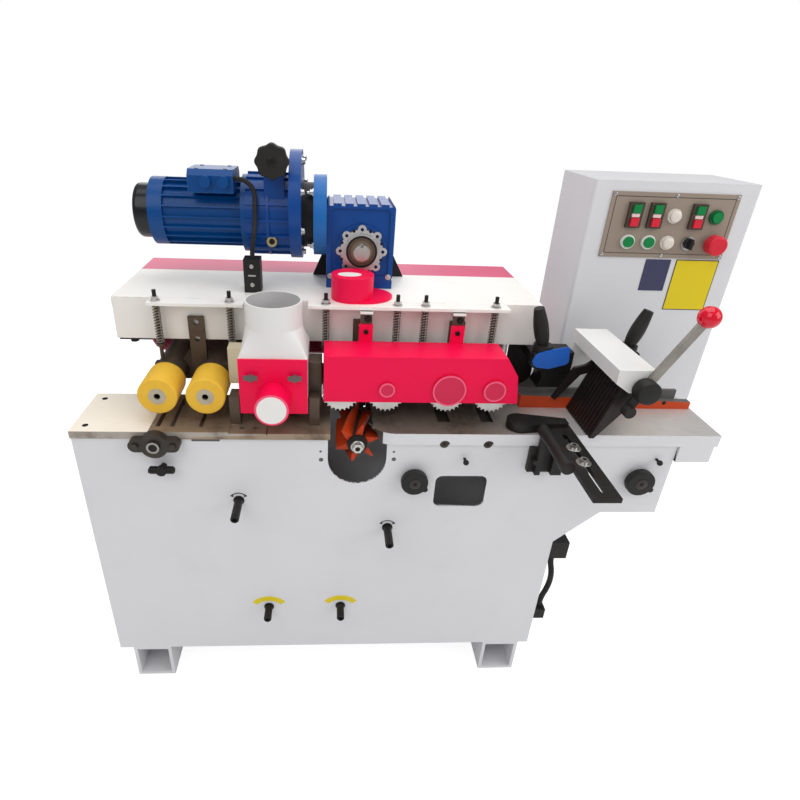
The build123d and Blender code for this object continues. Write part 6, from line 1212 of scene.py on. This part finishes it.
    def _back_panel(self) -> None:
        """Plain service panel on the back of the base, with screws round it and rows of air slots drawn as
        flat dark patches of painted shade.
        """
        x, y, z = self.back_panel
        wide, high = self.back_size
        shape = Shape().prism(soft_box(wide, high, 10.0), (x, y - DIP, z), LEFT, UP, 2.2, edge=0.8)
        for side in self.back_columns:
            for end in (-0.5, 0.5):
                place = (x + side * (wide - self.back_border), y + 2.0, z + end * (high - self.back_border))
                shape.screw(place, BACK, 5.5, 2.4, slot=1)
        columns, lines = self.vent_grid
        for column in range(columns):
            for line in range(lines):
                place = (x + (column - (columns - 1) / 2) * self.vent_pitch[0], y + 2.0,
                         z + self.vent_top - line * self.vent_pitch[1])
                shape.prism(soft_box(*self.vent_size, 2.8), place, LEFT, UP, 0.4, slot=2)
        shape.piece("service_panel", "base", [Palette.WHITE, Palette.STEEL, Palette.SHADE])


@dataclass
class Tables:
    """Outfeed bed, infeed table and the fence with its clamp."""

    table_top: float = 721.0
    table_box: Box = ((584.0, -5.0, 656.0), (1312.0, 190.0, 721.0))
    bed_front: float = -5.0
    bed_worn_end: float = 335.0
    inserts: Region = Region((300.0, 500.0), (25.0, 75.0), beyond(722.5))
    fence_back: float = 127.0
    fence_top: float = 730.0
    arm: Region = Region((925.0, 1000.0), beyond(100.0), beyond(800.0))
    arm_feet: Pairs = ((925.0, 1040.0), (1120.0, 1190.0))
    foot_top: float = 760.5
    web_notches: Pair = (737.0, 827.0)
    notch_level: float = 694.5
    notch_bolt: Pairs = ((9.4, -11.0), (9.4, -5.0), (8.6, -4.0))
    notch_socket: Pairs = ((5.0, -4.2), (4.6, -3.6))
    fence_hole: Point = (1246.0, 111.0, 736.0)
    face_back: float = 99.5
    face_outline: Pairs = (
        (924.0, 838.0), (928.0, 829.0), (935.0, 824.0), (962.0, 821.0), (998.0, 832.0), (1002.0, 838.0),
        (999.0, 868.0), (994.0, 871.0), (960.0, 864.0), (935.0, 856.0), (929.0, 851.0),
    )
    clamp_block: Slab = Slab((44.0, 31.0), 3.0, (950.0, 112.0, 837.0), 13.0, 1)
    casting_plate: Slab = Slab((62.0, 118.0), 2.0, (931.0, 190.0, 780.5), 4.0, 1)
    hood_block: Slab = Slab((26.4, 101.0), 1.5, (474.0, 104.0, 795.0), 44.0, 3, 2.0)
    cutter_plate: Slab = Slab((77.0, 45.0), 1.0, (545.0, 153.0, 722.0), 3.0, 0, 0.5)

    def build(self) -> None:
        """Dress the working surfaces and the fence, then add bolts, the plain blue face and dark plates."""
        dress("outfeed_bed", Palette.BED,
              (Region(up_to(self.bed_worn_end), up_to(self.bed_front + 0.1)), Palette.EDGE),
              (self.inserts, Palette.BROWN))
        top = Region(y=beyond(0.0), z=beyond(self.table_top - 0.5), facing=UP)
        dress("infeed_table", Palette.WHITE.rubbed("table", *self.table_box, 0.25, 3.0), (top, Palette.TABLE),
              (Region(y=beyond(1.0), z=up_to(self.table_top - 0.6)), Palette.DARK))
        behind, raised = beyond(self.fence_back + 0.1), beyond(self.foot_top)
        feet = [(Region(reach, behind, raised), Palette.BLACK_PAINT) for reach in self.arm_feet]
        dress("fence", Palette.ORANGE, (Region(y=beyond(self.fence_back - 0.05)), Palette.GREY_PAINT),
              (Region(z=beyond(self.fence_top), facing=UP, lean=0.6), Palette.GREY_PAINT), *feet,
              (self.arm, Palette.BLACK_PAINT))
        dress_plain(Palette.PLASTIC, "fence_clamp")
        shape = Shape()
        for x in self.web_notches:
            place = (x, self.bed_front, self.notch_level)
            shape.turned(place, FRONT, self.notch_bolt)
            shape.turned(place, FRONT, self.notch_socket, 6, slot=1)
        shape.face(self.face_outline, (0.0, self.face_back, 0.0), 2.5, slot=2)
        shape.disc(self.fence_hole, FRONT, 4.5, 0.25, slot=1)
        for slab in (self.clamp_block, self.casting_plate, self.hood_block, self.cutter_plate):
            slab.add(shape)
        shape.piece("table_fittings", "base",
                    [Palette.DARK, Palette.BLACK_STEEL, Palette.LABEL_BLUE, Palette.BROWN])


@dataclass
class FeedWorks:
    """Press beam with its covers, the sprung yokes and the rollers that they carry."""

    beam_box: Box = ((65.5, 150.0, 853.5), (945.5, 360.0, 941.0))
    gearbox_foot: Region = Region((493.0, 636.5), (244.0, 344.5), (940.5, 958.5))
    hangers: Region = Region(y=(115.0, 121.0), z=(870.0, 935.0))
    cable_clip: Region = Region((320.0, 360.0), (190.0, 235.0), (940.5, 1011.0))
    washer_level: Pair = (941.2, 943.4)
    nut_height: float = 7.1
    rollers: Pair = (168.8, 260.8)
    roller_level: float = 783.0
    roller_reach: Pair = (24.5, 105.5)
    roller_front: float = 25.0
    hub_depth: float = 45.0
    hub_reach: float = 13.2
    bore_reach: float = 6.2
    hub_ring: Pair = (6.4, 17.0)
    wheels: tuple[float, ...] = (524.6, 616.6, 741.3, 833.3)
    wheel_level: float = 781.5
    wheel_reach: Pair = (44.5, 101.5)
    nut_reach: float = 10.5
    cover_front: float = 35.0
    boss_height: float = 5.0
    boss_level: float = 799.75
    boss_radii: Point = (15.0, 33.0, 22.0)
    tabs: Pair = (575.0, 763.0)
    tab_screw: Pair = (112.0, 891.0)
    hanger_bolt: Pair = (116.0, 917.0)
    hanger_top: Pair = (117.0, 930.5)
    hanger_shift: float = 3.0
    guard_oval: Point = (541.0, 172.0, 991.0)
    oval_radii: Pair = (24.0, 15.0)

    def build(self) -> None:
        """Dress the beam with its covers, the yokes and the rollers, then add screws and rims."""
        dress_plain(Palette.WARM.rubbed("beam", *self.beam_box, 0.35, 3.0), "press_beam")
        dress_plain(Palette.STRIP, "rear_cover")
        dress_plain(Palette.PINK, "shaft_guard")
        bosses = Region(y=(self.cover_front - self.boss_height - 1.0, self.cover_front - 0.1))
        dress("wheel_cover", Palette.PINK, (bosses, Palette.PALE_PINK))
        dress("beam_brackets", Palette.BLACK_PAINT, (self.gearbox_foot, Palette.NAVY),
              (self.hangers, Palette.BROWN), (self.cable_clip, Palette.PLASTIC))
        dress_plain(Palette.SPRING, *(f"pressure_springs_{number}" for number in range(1, 4)))
        dress_plain(Palette.PLASTIC, "lift_handle")
        self._yokes()
        self._rollers()
        self._cover_fittings()

    def _yokes(self) -> None:
        """Brown yokes with pale washers, bright nuts and dark stud ends over the flange."""
        low, high = self.washer_level
        top = high + self.nut_height
        for number in range(1, 4):
            dress(f"pressure_yoke_{number}", Palette.BROWN, (Region(z=beyond(top)), Palette.BLACK_STEEL),
                  (Region(z=(high, top)), Palette.STEEL), (Region(z=(low, high)), Palette.CAST_ALLOY))

    def _rollers(self) -> None:
        """Yellow rollers with grey hubs, bright toothed wheels with dark nuts and shafts."""
        front, back = self.roller_reach
        for number, x in enumerate(self.rollers, start=1):
            axle, node = (x, 0.0, self.roller_level), f"feed_roller_{number}"
            hub = Region(y=(front, self.hub_depth), axis_at=axle, radius=(0.0, self.hub_reach))
            bore = Region(y=(front + 1.5, self.hub_depth), axis_at=axle, radius=(0.0, self.bore_reach))
            dress(node, Palette.DARK, (Region(y=(front, back)), Palette.ROLLER), (hub, Palette.HUB_GREY),
                  (bore, Palette.BLACK_STEEL))
            ring = Shape().ring((x, self.roller_front, self.roller_level), FRONT, *self.hub_ring, 0.5)
            ring.piece(f"roller_hub_{number}", node, [Palette.HUB_GREY])
        for number, x in enumerate(self.wheels, start=1):
            axle = (x, 0.0, self.wheel_level)
            nut = Region(y=up_to(self.wheel_reach[0] + 0.4), axis_at=axle, radius=(0.0, self.nut_reach))
            dress(f"feed_wheel_{number}", Palette.DARK, (Region(y=self.wheel_reach), Palette.TOOTHED),
                  (nut, Palette.DARK))

    def _cover_fittings(self) -> None:
        """Rims of the cover's bosses, screws in its tabs, pale hanger tops and the guard's plain oval."""
        rims = Shape()
        for x, radius in zip(self.wheels[1:], self.boss_radii):
            place = (x, self.cover_front - self.boss_height, self.boss_level)
            rims.ring(place, FRONT, radius - 2.6, radius + 0.6, 0.5)
        rims.piece("boss_rims", "beam", [Palette.RIM_PINK], slot_name="pink_paint")
        shape = Shape()
        for x in self.tabs:
            shape.screw((x, *self.tab_screw), FRONT, 5.0, 3.2)
            shape.bolt((x + self.hanger_shift, *self.hanger_bolt), FRONT, 9.0, 5.0)
            shape.face(soft_box(26.0, 4.0, 0.8), (x, *self.hanger_top), 7.0, slot=1)
        shape.piece("hanger_fittings", "beam", [Palette.BLACK_STEEL, Palette.PALE_PLATE])
        oval = ring_outline(1.0, 40) * np.array(self.oval_radii)
        badge = Shape().prism(oval, self.guard_oval, RIGHT, BACK, 0.4)
        badge.piece("guard_oval", "beam", [Palette.PALE_PLATE])


@dataclass
class Springs:
    """Wound springs of the three yokes: a helix of wire with closed end turns."""

    pairs: Pairs = ((157.0, 302.0), (493.5, 638.5), (695.5, 840.5))
    line_y: float = 132.0
    low: float = 851.0
    high: float = 935.0
    mean_radius: float = 6.6
    wire: float = 1.4
    turns: float = 15.0
    closed: float = 1.0
    points_per_turn: int = 40
    travel: float = 18.0

    def build(self) -> None:
        """Make both springs of each yoke."""
        for number, pair in enumerate(self.pairs, start=1):
            shape = Shape()
            for x in pair:
                self._coil(shape, x)
            piece = shape.piece(f"wound_springs_{number}", "beam", [Palette.SPRING], slot_name="spring_steel",
                                node=f"pressure_springs_{number}")
            top = row((pair[0], self.line_y, self.high)).tolist()
            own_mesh(piece)

    def _coil(self, shape: Shape, x: float) -> None:
        """One spring: at turn t the wire's middle is on a circle of the mean radius, at a height that
        rises by one wire in each closed end turn and evenly between them, with the bends smoothed.

        Args:
            shape: where the wire goes.
            x: place of the spring's axis.
        """
        t = np.linspace(0, self.turns, int(self.turns * self.points_per_turn))
        bends = (0.0, self.closed, self.turns - self.closed, self.turns)
        heights = (self.low + self.wire, self.low + 3 * self.wire,
                   self.high - 3 * self.wire, self.high - self.wire)
        rise = np.interp(t, bends, heights)
        rise[1:-1] = (rise[:-2] + 2 * rise[1:-1] + rise[2:]) / 4
        out = np.stack((np.cos(FULL_TURN * t), np.sin(FULL_TURN * t), np.zeros_like(t)), axis=-1)
        path = np.array((x, self.line_y, 0.0)) + self.mean_radius * out
        path[:, 2] = rise
        ahead = unit(np.gradient(path, axis=0))
        shape.tube(path, out, np.cross(ahead, out), self.wire, 8)


@dataclass
class CutterHeads:
    """Upper and lower cutter head, the dust hood over the upper one and its front plate."""

    upper_axis: Point = (394.0, 0.0, 785.0)
    upper_edge: float = 45.5
    upper_front: float = 40.0
    lower_axis: Point = (560.5, 0.0, 686.0)
    lower_edge: float = 40.5
    lower_front: float = 12.0
    back: float = 124.0
    nut_depth: float = 9.0
    bore: Region = Region(z=(905.0, 964.5), axis_at=(394.0, 79.5, 0.0), axis=UP, radius=(0.0, 51.4))
    hood_left: float = 328.0
    plate_front: float = 21.0
    nose_front: float = -29.0
    nose_radii: Pair = (28.0, 32.0)
    wing_bolts: Pair = (352.0, 436.0)
    wing_levels: Pair = (815.0, 845.0)
    fins: int = 6
    fin_steps: int = 73
    fin_twist: float = -0.95
    fin_start: float = 0.3
    fin_front: float = 14.0
    fin_tip: float = 44.0
    fin_root: float = 19.0
    fin_shoulders: Pair = (32.0, 33.0)
    fin_offsets: tuple[float, ...] = (-5.0, -4.2, -1.4, 1.6, 5.4, 9.0)
    core_radius: float = 21.0
    shaft_radius: float = 12.0
    collar: Pairs = ((20.5, -0.1), (20.5, 6.6), (18.6, 8.0))
    spacer: Pairs = ((14.0, 7.9), (14.0, 14.2), (13.2, 15.0))
    shaft_end: Pairs = ((5.4, 22.4), (5.0, 22.8))
    work_line: float = 99.0
    work_reach: float = 47.0
    work_radius: float = 12.0

    def build(self) -> None:
        """Dress the cutters and the hood, then add the nose's rim and the finned lower head."""
        self._head("upper_cutter", self.upper_axis, self.upper_edge, self.upper_front)
        self._head("lower_cutter", self.lower_axis, self.lower_edge, self.lower_front)
        self._fins()
        # The inside of the hood's bore is darkened with painted shade.
        dress("dust_hood", Palette.GUARD_WHITE, (self.bore, Palette.BORE_SHADE),
              (Region(up_to(self.hood_left - 0.2), beyond(0.0)), Palette.CREAM))
        wings = [(Region(about(x, 15.0), up_to(self.plate_front - 0.2), self.wing_levels), Palette.GREY_PAINT)
                 for x in self.wing_bolts]
        disc = Region(y=up_to(self.nose_front - 0.1))
        dress("hood_front", Palette.PINK, *wings, (disc, Palette.PALE_PLATE))
        nose = (self.upper_axis[0], self.nose_front, self.upper_axis[2])
        rim = Shape().ring(nose, FRONT, *self.nose_radii, 0.6)
        rim.piece("nose_rim", "base", [Palette.RIM_PINK], slot_name="pink_paint")

    def _head(self, node: str, axle: Point, edge: float, front: float) -> None:
        """Orange head with bright knife edges and nut, on a dark shaft.

        Args:
            node: name of the cutter.
            axle: point on its axis.
            edge: radius beyond which a face belongs to a knife.
            front: front face of the head.
        """
        reach = (front - 0.1, self.back + 0.1)
        dress(node, Palette.DARK, (Region(y=reach), Palette.CUTTER),
              (Region(y=reach, axis_at=axle, radius=(edge, 90.0)), Palette.STEEL),
              (Region(y=up_to(front - self.nut_depth)), Palette.STEEL))

    def _fins(self) -> None:
        """Finned lower head. Each fin is one section carried from back to front: a point at radius a and
        offset b stands at axis + a * (cos f, sin f) + b * (-sin f, cos f), where the angle f grows evenly
        with depth. The tip radius drops to work_reach - sqrt(work_radius^2 - distance^2) near the work line,
        which leaves the half-round groove."""
        x, _, z = self.lower_axis
        depth = np.linspace(self.back - 1.0, self.fin_front, self.fin_steps)
        away = np.clip(self.work_radius ** 2 - (depth - self.work_line) ** 2, 0, None)
        tip = np.where(away > 0, np.minimum(self.fin_tip, self.work_reach - np.sqrt(away)), self.fin_tip)
        root = np.full_like(depth, self.fin_root)
        lower, upper = np.minimum(np.array(self.fin_shoulders)[:, None], (tip - 2.0, tip - 1.5))
        reach = np.stack((root, lower, tip, tip, upper, root), axis=-1)
        offset = np.array(self.fin_offsets)
        lean = self.fin_start + self.fin_twist * (depth - self.fin_front) / (self.back - self.fin_front)
        shape = Shape()
        for start in np.arange(self.fins) * FULL_TURN / self.fins:
            cos, sin = np.cos(lean + start)[:, None], np.sin(lean + start)[:, None]
            deep = np.broadcast_to(depth[:, None], reach.shape)
            points = np.stack((x + reach * cos - offset * sin, deep, z + reach * sin + offset * cos), axis=-1)
            shape.grid(np.roll(points, -3, axis=1), wrap=False)
            shape.grid(points[:, 2:4], wrap=False, caps=False, slot=1)
        behind = machine(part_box("lower_cutter"))[1][1] - self.back
        core = ((self.shaft_radius, -behind), (self.shaft_radius, -DIP), (self.core_radius, -DIP),
                (self.core_radius, self.back - self.fin_front))
        shape.turned((x, self.back, z), FRONT, core, 40, slot=2)
        place = (x, self.fin_front, z)
        shape.turned(place, FRONT, self.collar, 40, slot=3).turned(place, FRONT, self.spacer, slot=1)
        shape.face(hexagon(20.0), (x, self.fin_front - 15.0, z), 7.5, slot=1, edge=1.0)
        shape.turned(place, FRONT, self.shaft_end, 24, slot=3)
        finishes = [Palette.CUTTER, Palette.STEEL, Palette.DARK, Palette.BLACK_STEEL]
        shape.piece("finned_head", "lower_cutter", finishes, slot_name="cutter_red", node="lower_cutter")


@dataclass
class Drive:
    """Motor, variator and worm gearbox on the beam."""

    axis_y: float = 305.0
    axis_z: float = 1082.0
    fan_end: float = 131.5
    adapter: Pair = (442.0, 466.0)
    adapter_radius: float = 68.0
    disc: Pair = (466.0, 493.0)
    flange_centre: float = 1102.0
    flange_circle: float = 97.0
    flange_bolts: int = 8
    disc_circle: float = 74.0
    disc_bolts: int = 4
    disc_stud: Pairs = ((3.2, 7.0), (3.2, 13.0), (2.4, 14.0))
    terminal_box: Box = ((222.0, 220.0, 1132.0), (310.0, 316.0, 1175.0))
    gearbox: Box = ((493.0, 245.0, 958.0), (636.0, 365.0, 1117.0))
    output: Point = (567.0, 235.0, 1023.0)
    lobe_reach: float = 60.0
    lobe_circle: float = 45.0
    ring_front: float = 231.0
    rings: tuple[tuple[float, float, float, int], ...] = (
        (29.0, 33.0, 0.7, 1), (23.0, 29.0, 0.35, 2), (18.0, 23.0, 0.6, 3),
    )
    terminal_inset: Pair = (16.0, 20.0)
    case_inset: float = 9.0
    sight_plug: Point = (381.0, 231.0, 1040.0)
    plug: Pairs = ((11.5, -9.0), (11.5, 1.5), (10.4, 3.0), (6.2, 3.0), (5.8, 1.6))
    glass: Pairs = ((5.9, 1.0), (5.9, 1.9))
    clip: Point = (341.0, 195.0, 977.0)
    clip_screws: float = 19.0
    knob: Point = (388.0, 200.0, 1194.5)
    knob_radius: float = 33.0
    knob_boss: Pairs = ((11.0, 25.0), (11.0, 35.9))
    knob_centre: Pairs = ((9.5, -DIP), (9.5, 0.8), (8.6, 1.4), (3.0, 1.4), (2.6, 0.6))
    knob_wave: float = 1.5
    knob_waves: int = 8
    knob_levels: Pairs = (
        (0.34, 26.0), (0.86, 26.0), (0.95, 24.5), (1.0, 20.0), (1.0, 4.0), (0.95, 0.8), (0.84, 0.0),
        (0.30, 0.0),
    )

    def build(self) -> None:
        """Dress the drive, then add its bolts, rings, plugs and screws."""
        blue = Palette.BLUE.rubbed("terminal", *self.terminal_box, 0.3, 1.6)
        dress("motor_body", blue, (Region(x=up_to(self.fan_end)), Palette.FAN_BLACK))
        start, end = self.adapter
        black = Region(x=(start + 0.1, end + 0.1), axis_at=(0.0, self.axis_y, self.axis_z), axis=RIGHT,
                       radius=(0.0, self.adapter_radius))
        dress("variator_housing", Palette.NAVY, (black, Palette.BLACK_PAINT))
        start, end = self.disc
        lobes = Region(y=up_to(self.gearbox[0][1] - 0.1), axis_at=self.output, radius=(0.0, self.lobe_reach))
        dress("worm_gearbox", Palette.NAVY.rubbed("case", *self.gearbox, 0.3, 1.8),
              (Region(x=(start - 0.1, end - 0.1)), Palette.DISC_BLUE), (lobes, Palette.CAST_ALLOY))
        dress_plain(Palette.STEEL, "output_shaft")
        dress_plain(Palette.PLASTIC, "variator_knob")
        dress_plain(Palette.RUBBER, "motor_cable")
        self._bolts()
        self._output_rings()
        self._small_fittings()
        self._star_knob()

    def _around(self, x: float, centre_z: float, radius: float, count: int) -> np.ndarray:
        """Places of bolts on a circle about the drive's axis, half a step off the level.

        Args:
            x: where the circle stands.
            centre_z: height of its centre.
            radius: radius of the circle.
            count: number of bolts.
        Returns:
            One row of x, y, z for each bolt.
        """
        turn = (np.arange(count) + 0.5) * FULL_TURN / count
        y, z = self.axis_y + radius * np.cos(turn), centre_z + radius * np.sin(turn)
        return np.stack((np.full(count, x), y, z), axis=-1)

    def _bolts(self) -> None:
        """Bright bolts on the variator's flange and on the disc."""
        shape = Shape()
        for place in self._around(self.adapter[0], self.flange_centre, self.flange_circle,
                                  self.flange_bolts):
            shape.bolt(place, RIGHT, 10.0, 7.5)
        for place in self._around(self.disc[0], self.axis_z, self.disc_circle, self.disc_bolts):
            shape.bolt(place, LEFT, 11.0, 8.0)
            shape.turned(place, LEFT, self.disc_stud, 16)
        shape.piece("flange_bolts", "beam", [Palette.BEZEL])

    def _output_rings(self) -> None:
        """Seal and bearing rings in the output, and the screws in the lobes of its flange."""
        x, front, z = self.output
        shape = Shape()
        for inner, outer, proud, slot in self.rings:
            shape.ring((x, self.ring_front, z), FRONT, inner, outer, proud, slot)
        for right, up in ring_outline(self.lobe_circle, 8, math.pi / 8, math.pi / 8 + FULL_TURN):
            shape.disc((x + right, front, z + up), FRONT, 3.4, 0.25, slot=1)
        shape.piece("output_rings", "beam",
                    [Palette.STEEL, Palette.BLACK_STEEL, Palette.BROWN, Palette.SEAL_BROWN])

    def _small_fittings(self) -> None:
        """Sight plug, screws of the terminal box, gearbox and cable clip, and the clip's slot."""
        shape = Shape().turned(self.sight_plug, FRONT, self.plug)
        shape.turned(self.sight_plug, FRONT, self.glass, 24, slot=1)
        low, high = self.terminal_box
        beside, behind = self.terminal_inset
        for x in (low[0] + beside, high[0] - beside):
            for y in (low[1] + behind, high[1] - behind):
                shape.screw((x, y, high[2]), UP, 3.6, 1.6, slot=2)
        low, high = self.gearbox
        for x in (low[0] + self.case_inset, high[0] - self.case_inset):
            shape.bolt((x, low[1], low[2] + self.case_inset), FRONT, 8.0, 4.5, slot=2)
        x, y, z = self.clip
        for level in about(z, self.clip_screws):
            shape.screw((x, y, level), FRONT, 4.2, 2.2, slot=2)
        shape.face(soft_box(16.0, 3.0, 1.0), (x, y + 0.1, z), 0.5, slot=2)
        shape.piece("drive_fittings", "beam", [Palette.BRASS, Palette.BLACK_STEEL, Palette.STEEL])

    def _star_knob(self) -> None:
        """Moulded knob: rings whose radius is the mean plus a small cosine of eight waves round the axis,
        shrinking at both ends to round the rim, on a boss that reaches the variator."""
        turn = np.linspace(0, FULL_TURN, 128, endpoint=False)
        wave = self.knob_radius - self.knob_wave + self.knob_wave * np.cos(self.knob_waves * turn)
        share, depth = np.array(self.knob_levels).T[:, :, None, None]
        rim = wave[:, None] * np.stack((np.cos(turn), np.zeros_like(turn), np.sin(turn)), axis=-1)
        shape = Shape().grid(np.array(self.knob) + depth * np.array(BACK) + share * rim)
        shape.turned(self.knob, BACK, self.knob_boss)
        shape.turned(self.knob, FRONT, self.knob_centre, slot=1)
        shape.piece("moulded_knob", "variator_knob", [Palette.PLASTIC, Palette.BLACK_STEEL],
                    slot_name="black_plastic", node="variator_knob")


@dataclass
class Controls:
    """Control cabinet with its plate, switches, buttons and lamps."""

    cabinet: Box = ((1049.5, 262.5, 590.0), (1412.5, 445.5, 1178.0))
    plate_front: float = 259.5
    plate_middle: Pair = (1231.0, 1089.0)
    plate_size: Pair = (280.0, 136.0)
    border: float = 9.0
    line_width: float = 1.5
    upper_row: float = 1111.0
    lower_row: float = 1055.0
    switches: Point = (1146.5, 1193.0, 1286.0)
    switch_front: float = 251.5
    switch_half: Pair = (16.0, 27.0)
    lamp_x: float = 1234.0
    lamp_radius: float = 11.8
    lamp_height: float = 12.0
    flush: Pair = (1146.0, 1192.0)
    bezels: Pair = (1282.0, 1335.0)
    bezel_half: float = 17.0
    reset_reach: Pair = (1310.0, 1345.0)
    ring_reach: float = 16.0
    plates: tuple[Slab, ...] = (
        Slab((99.0, 116.0), 1.5, (1321.5, 262.6, 960.0), 0.7, 1),
        Slab((95.0, 112.0), 1.0, (1321.5, 262.1, 960.0), 0.6, 0),
        Slab((58.0, 71.0), 1.5, (1231.0, 262.6, 981.5), 0.9, 2),
    )

    def build(self) -> None:
        """Dress the cabinet and all that is pressed or turned on it, then add plates, lines and screws."""
        dress("control_cabinet", Palette.WHITE.rubbed("cabinet", *self.cabinet, 0.12, 3.0),
              (Region(y=beyond(self.cabinet[1][1] + 0.1)), Palette.PLASTIC))
        dress_plain(Palette.GREEN, "reset_button", "flush_button_1", "flush_button_2",
                    *(f"start_button_{number}" for number in range(1, 4)))
        dress_plain(Palette.RED, "estop_button", *(f"stop_button_{number}" for number in range(1, 4)))
        dress_plain(Palette.PLASTIC, "selector_knob")
        self._panel()
        self._plate_marks()
        shape = Shape()
        for plate in self.plates:
            plate.add(shape)
        shape.piece("cabinet_plates", "base", [Palette.YELLOW_PLATE, Palette.BORDER, Palette.DARK_PLATE])
        self._switch_fronts()

    def _panel(self) -> None:
        """Taupe plate with dark switch housings, white lamps and rings of chrome, white or green."""
        proud = up_to(self.plate_front - 0.1)
        upper, lower, half = self.upper_row, self.lower_row, self.bezel_half
        wide, high = self.switch_half
        layers = [(Region(about(x, wide), proud, about(upper, high)), Palette.SWITCH) for x in self.switches]
        rounds = ((self.lamp_x, upper, Palette.LAMP), (self.lamp_x, lower, Palette.LAMP),
                  *((x, lower, Palette.RING_WHITE) for x in self.flush))
        layers += [(Region(y=proud, axis_at=(x, 0.0, z), radius=(0.0, self.ring_reach)), finish)
                   for x, z, finish in rounds]
        layers += [(Region(about(x, half), proud, about(lower, half)), Palette.BEZEL) for x in self.bezels]
        layers.append((Region(self.reset_reach, proud, about(upper, half)), Palette.DARK_GREEN))
        dress("control_panel", Palette.TAUPE, *layers)

    def _plate_marks(self) -> None:
        """Dark border line of the plate, as four thin bars, and its six screws."""
        x, z = self.plate_middle
        front = self.plate_front + 0.1
        wide, high = np.array(self.plate_size) - 2 * self.border
        shape = Shape()
        for side in (-0.5, 0.5):
            shape.face(soft_box(wide, self.line_width, 0.3), (x, front, z + side * high), 0.3)
            shape.face(soft_box(self.line_width, high, 0.3), (x + side * wide, front, z), 0.3)
            for along in (-1, 0, 1):
                place = (x + along * (wide / 2 + 3.5), self.plate_front, z + side * (high + 7.0))
                shape.screw(place, FRONT, 3.4, 1.8, slot=1)
        shape.piece("panel_border", "base", [Palette.BORDER, Palette.BEZEL])

    def _switch_fronts(self) -> None:
        """Pale lens between the buttons of each double switch, and on each lamp a dome whose profile is
        a quarter ellipse (radius * cos t, height * sin t)."""
        shape = Shape()
        for x in self.switches:
            shape.face(soft_box(17.0, 8.0, 1.5), (x, self.switch_front, self.upper_row), 3.0, edge=0.8)
        t = np.linspace(0, math.pi / 2, 8)
        dome = np.column_stack((self.lamp_radius * np.cos(t) + 0.2, 3.0 * np.sin(t) - 0.1))
        for z in (self.upper_row, self.lower_row):
            shape.turned((self.lamp_x, self.plate_front - self.lamp_height, z), FRONT, dome, 36, slot=1)
        shape.piece("switch_lenses", "base", [Palette.LENS, Palette.LAMP])


@dataclass
class KickbackGuard:
    """White guard over the infeed with its pack of fingers, and the sliding side shoe."""

    guard_front: float = -35.0
    hub: Point = (1093.0, -43.3, 845.0)
    hub_radius: float = 23.0
    hub_length: float = 22.0
    pivot_reach: float = 17.0
    ball: Point = (1173.0, 0.0, 988.0)
    ball_reach: float = 20.5
    ball_back: float = -10.0
    stud: Point = (1071.0, -43.3, 801.0)
    stud_profile: Pairs = ((12.0, -4.0), (12.0, 12.0), (10.5, 14.0))
    arm_outline: Pairs = ((1101.0, 837.0), (1081.0, 843.0), (1062.0, 803.0), (1079.0, 797.0))
    arm_back: float = -36.3
    long_finger: Pairs = (
        (1100.0, 858.0), (1070.0, 850.0), (1044.0, 829.0), (1020.0, 822.0), (985.0, 750.0), (992.0, 745.0),
        (1036.0, 806.0), (1088.0, 822.0),
    )
    finger_back: float = 109.5
    arm_thick: float = 8.0

    def build(self) -> None:
        """Dress the guard, the fingers and the shoe, then add the hub knob and the long finger."""
        front = up_to(self.guard_front - 0.1)
        dress_plain(Palette.GUARD_WHITE, "kickback_cover")
        dress("kickback_fingers", Palette.FINGER, (Region(y=front), Palette.ROD),
              (Region(y=front, axis_at=self.hub, radius=(0.0, self.pivot_reach)), Palette.PLASTIC),
              (Region(y=up_to(self.ball_back), axis_at=self.ball, radius=(0.0, self.ball_reach)),
               Palette.BALL_RED))
        dress_plain(Palette.BLACK_STEEL, "pressure_shoe")
        dress_plain(Palette.RUBBER, "conduit")
        long, wide = self.hub_length, self.hub_radius
        knob = ((wide - 3.0, -6.0), (wide, -4.0), (wide, long - 4.0), (wide - 1.5, long - 1.0),
                (wide - 4.0, long))
        shape = Shape().turned(self.hub, FRONT, knob, 40).turned(self.stud, FRONT, self.stud_profile, 28)
        shape.face(self.arm_outline, (0.0, self.arm_back, 0.0), self.arm_thick)
        shape.face(self.long_finger, (0.0, self.finger_back, 0.0), self.arm_thick, slot=1)
        shape.piece("finger_fittings", "kickback_fingers", [Palette.PLASTIC, Palette.FINGER], bevel=0.4)


def main() -> None:
    """Load the frame, dress every sub-assembly in order, set the stage and log each one that is built."""
    logging.basicConfig(level=logging.INFO, format="%(name)s: %(message)s")
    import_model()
    for assembly in (BaseFrame(), Tables(), FeedWorks(), Springs(), CutterHeads(), Drive(), Controls(),
                     KickbackGuard(), Leads(), Studio()):
        assembly.build()
        LOG.info("built %s", type(assembly).__name__)


if __name__ == "__main__":
    main()
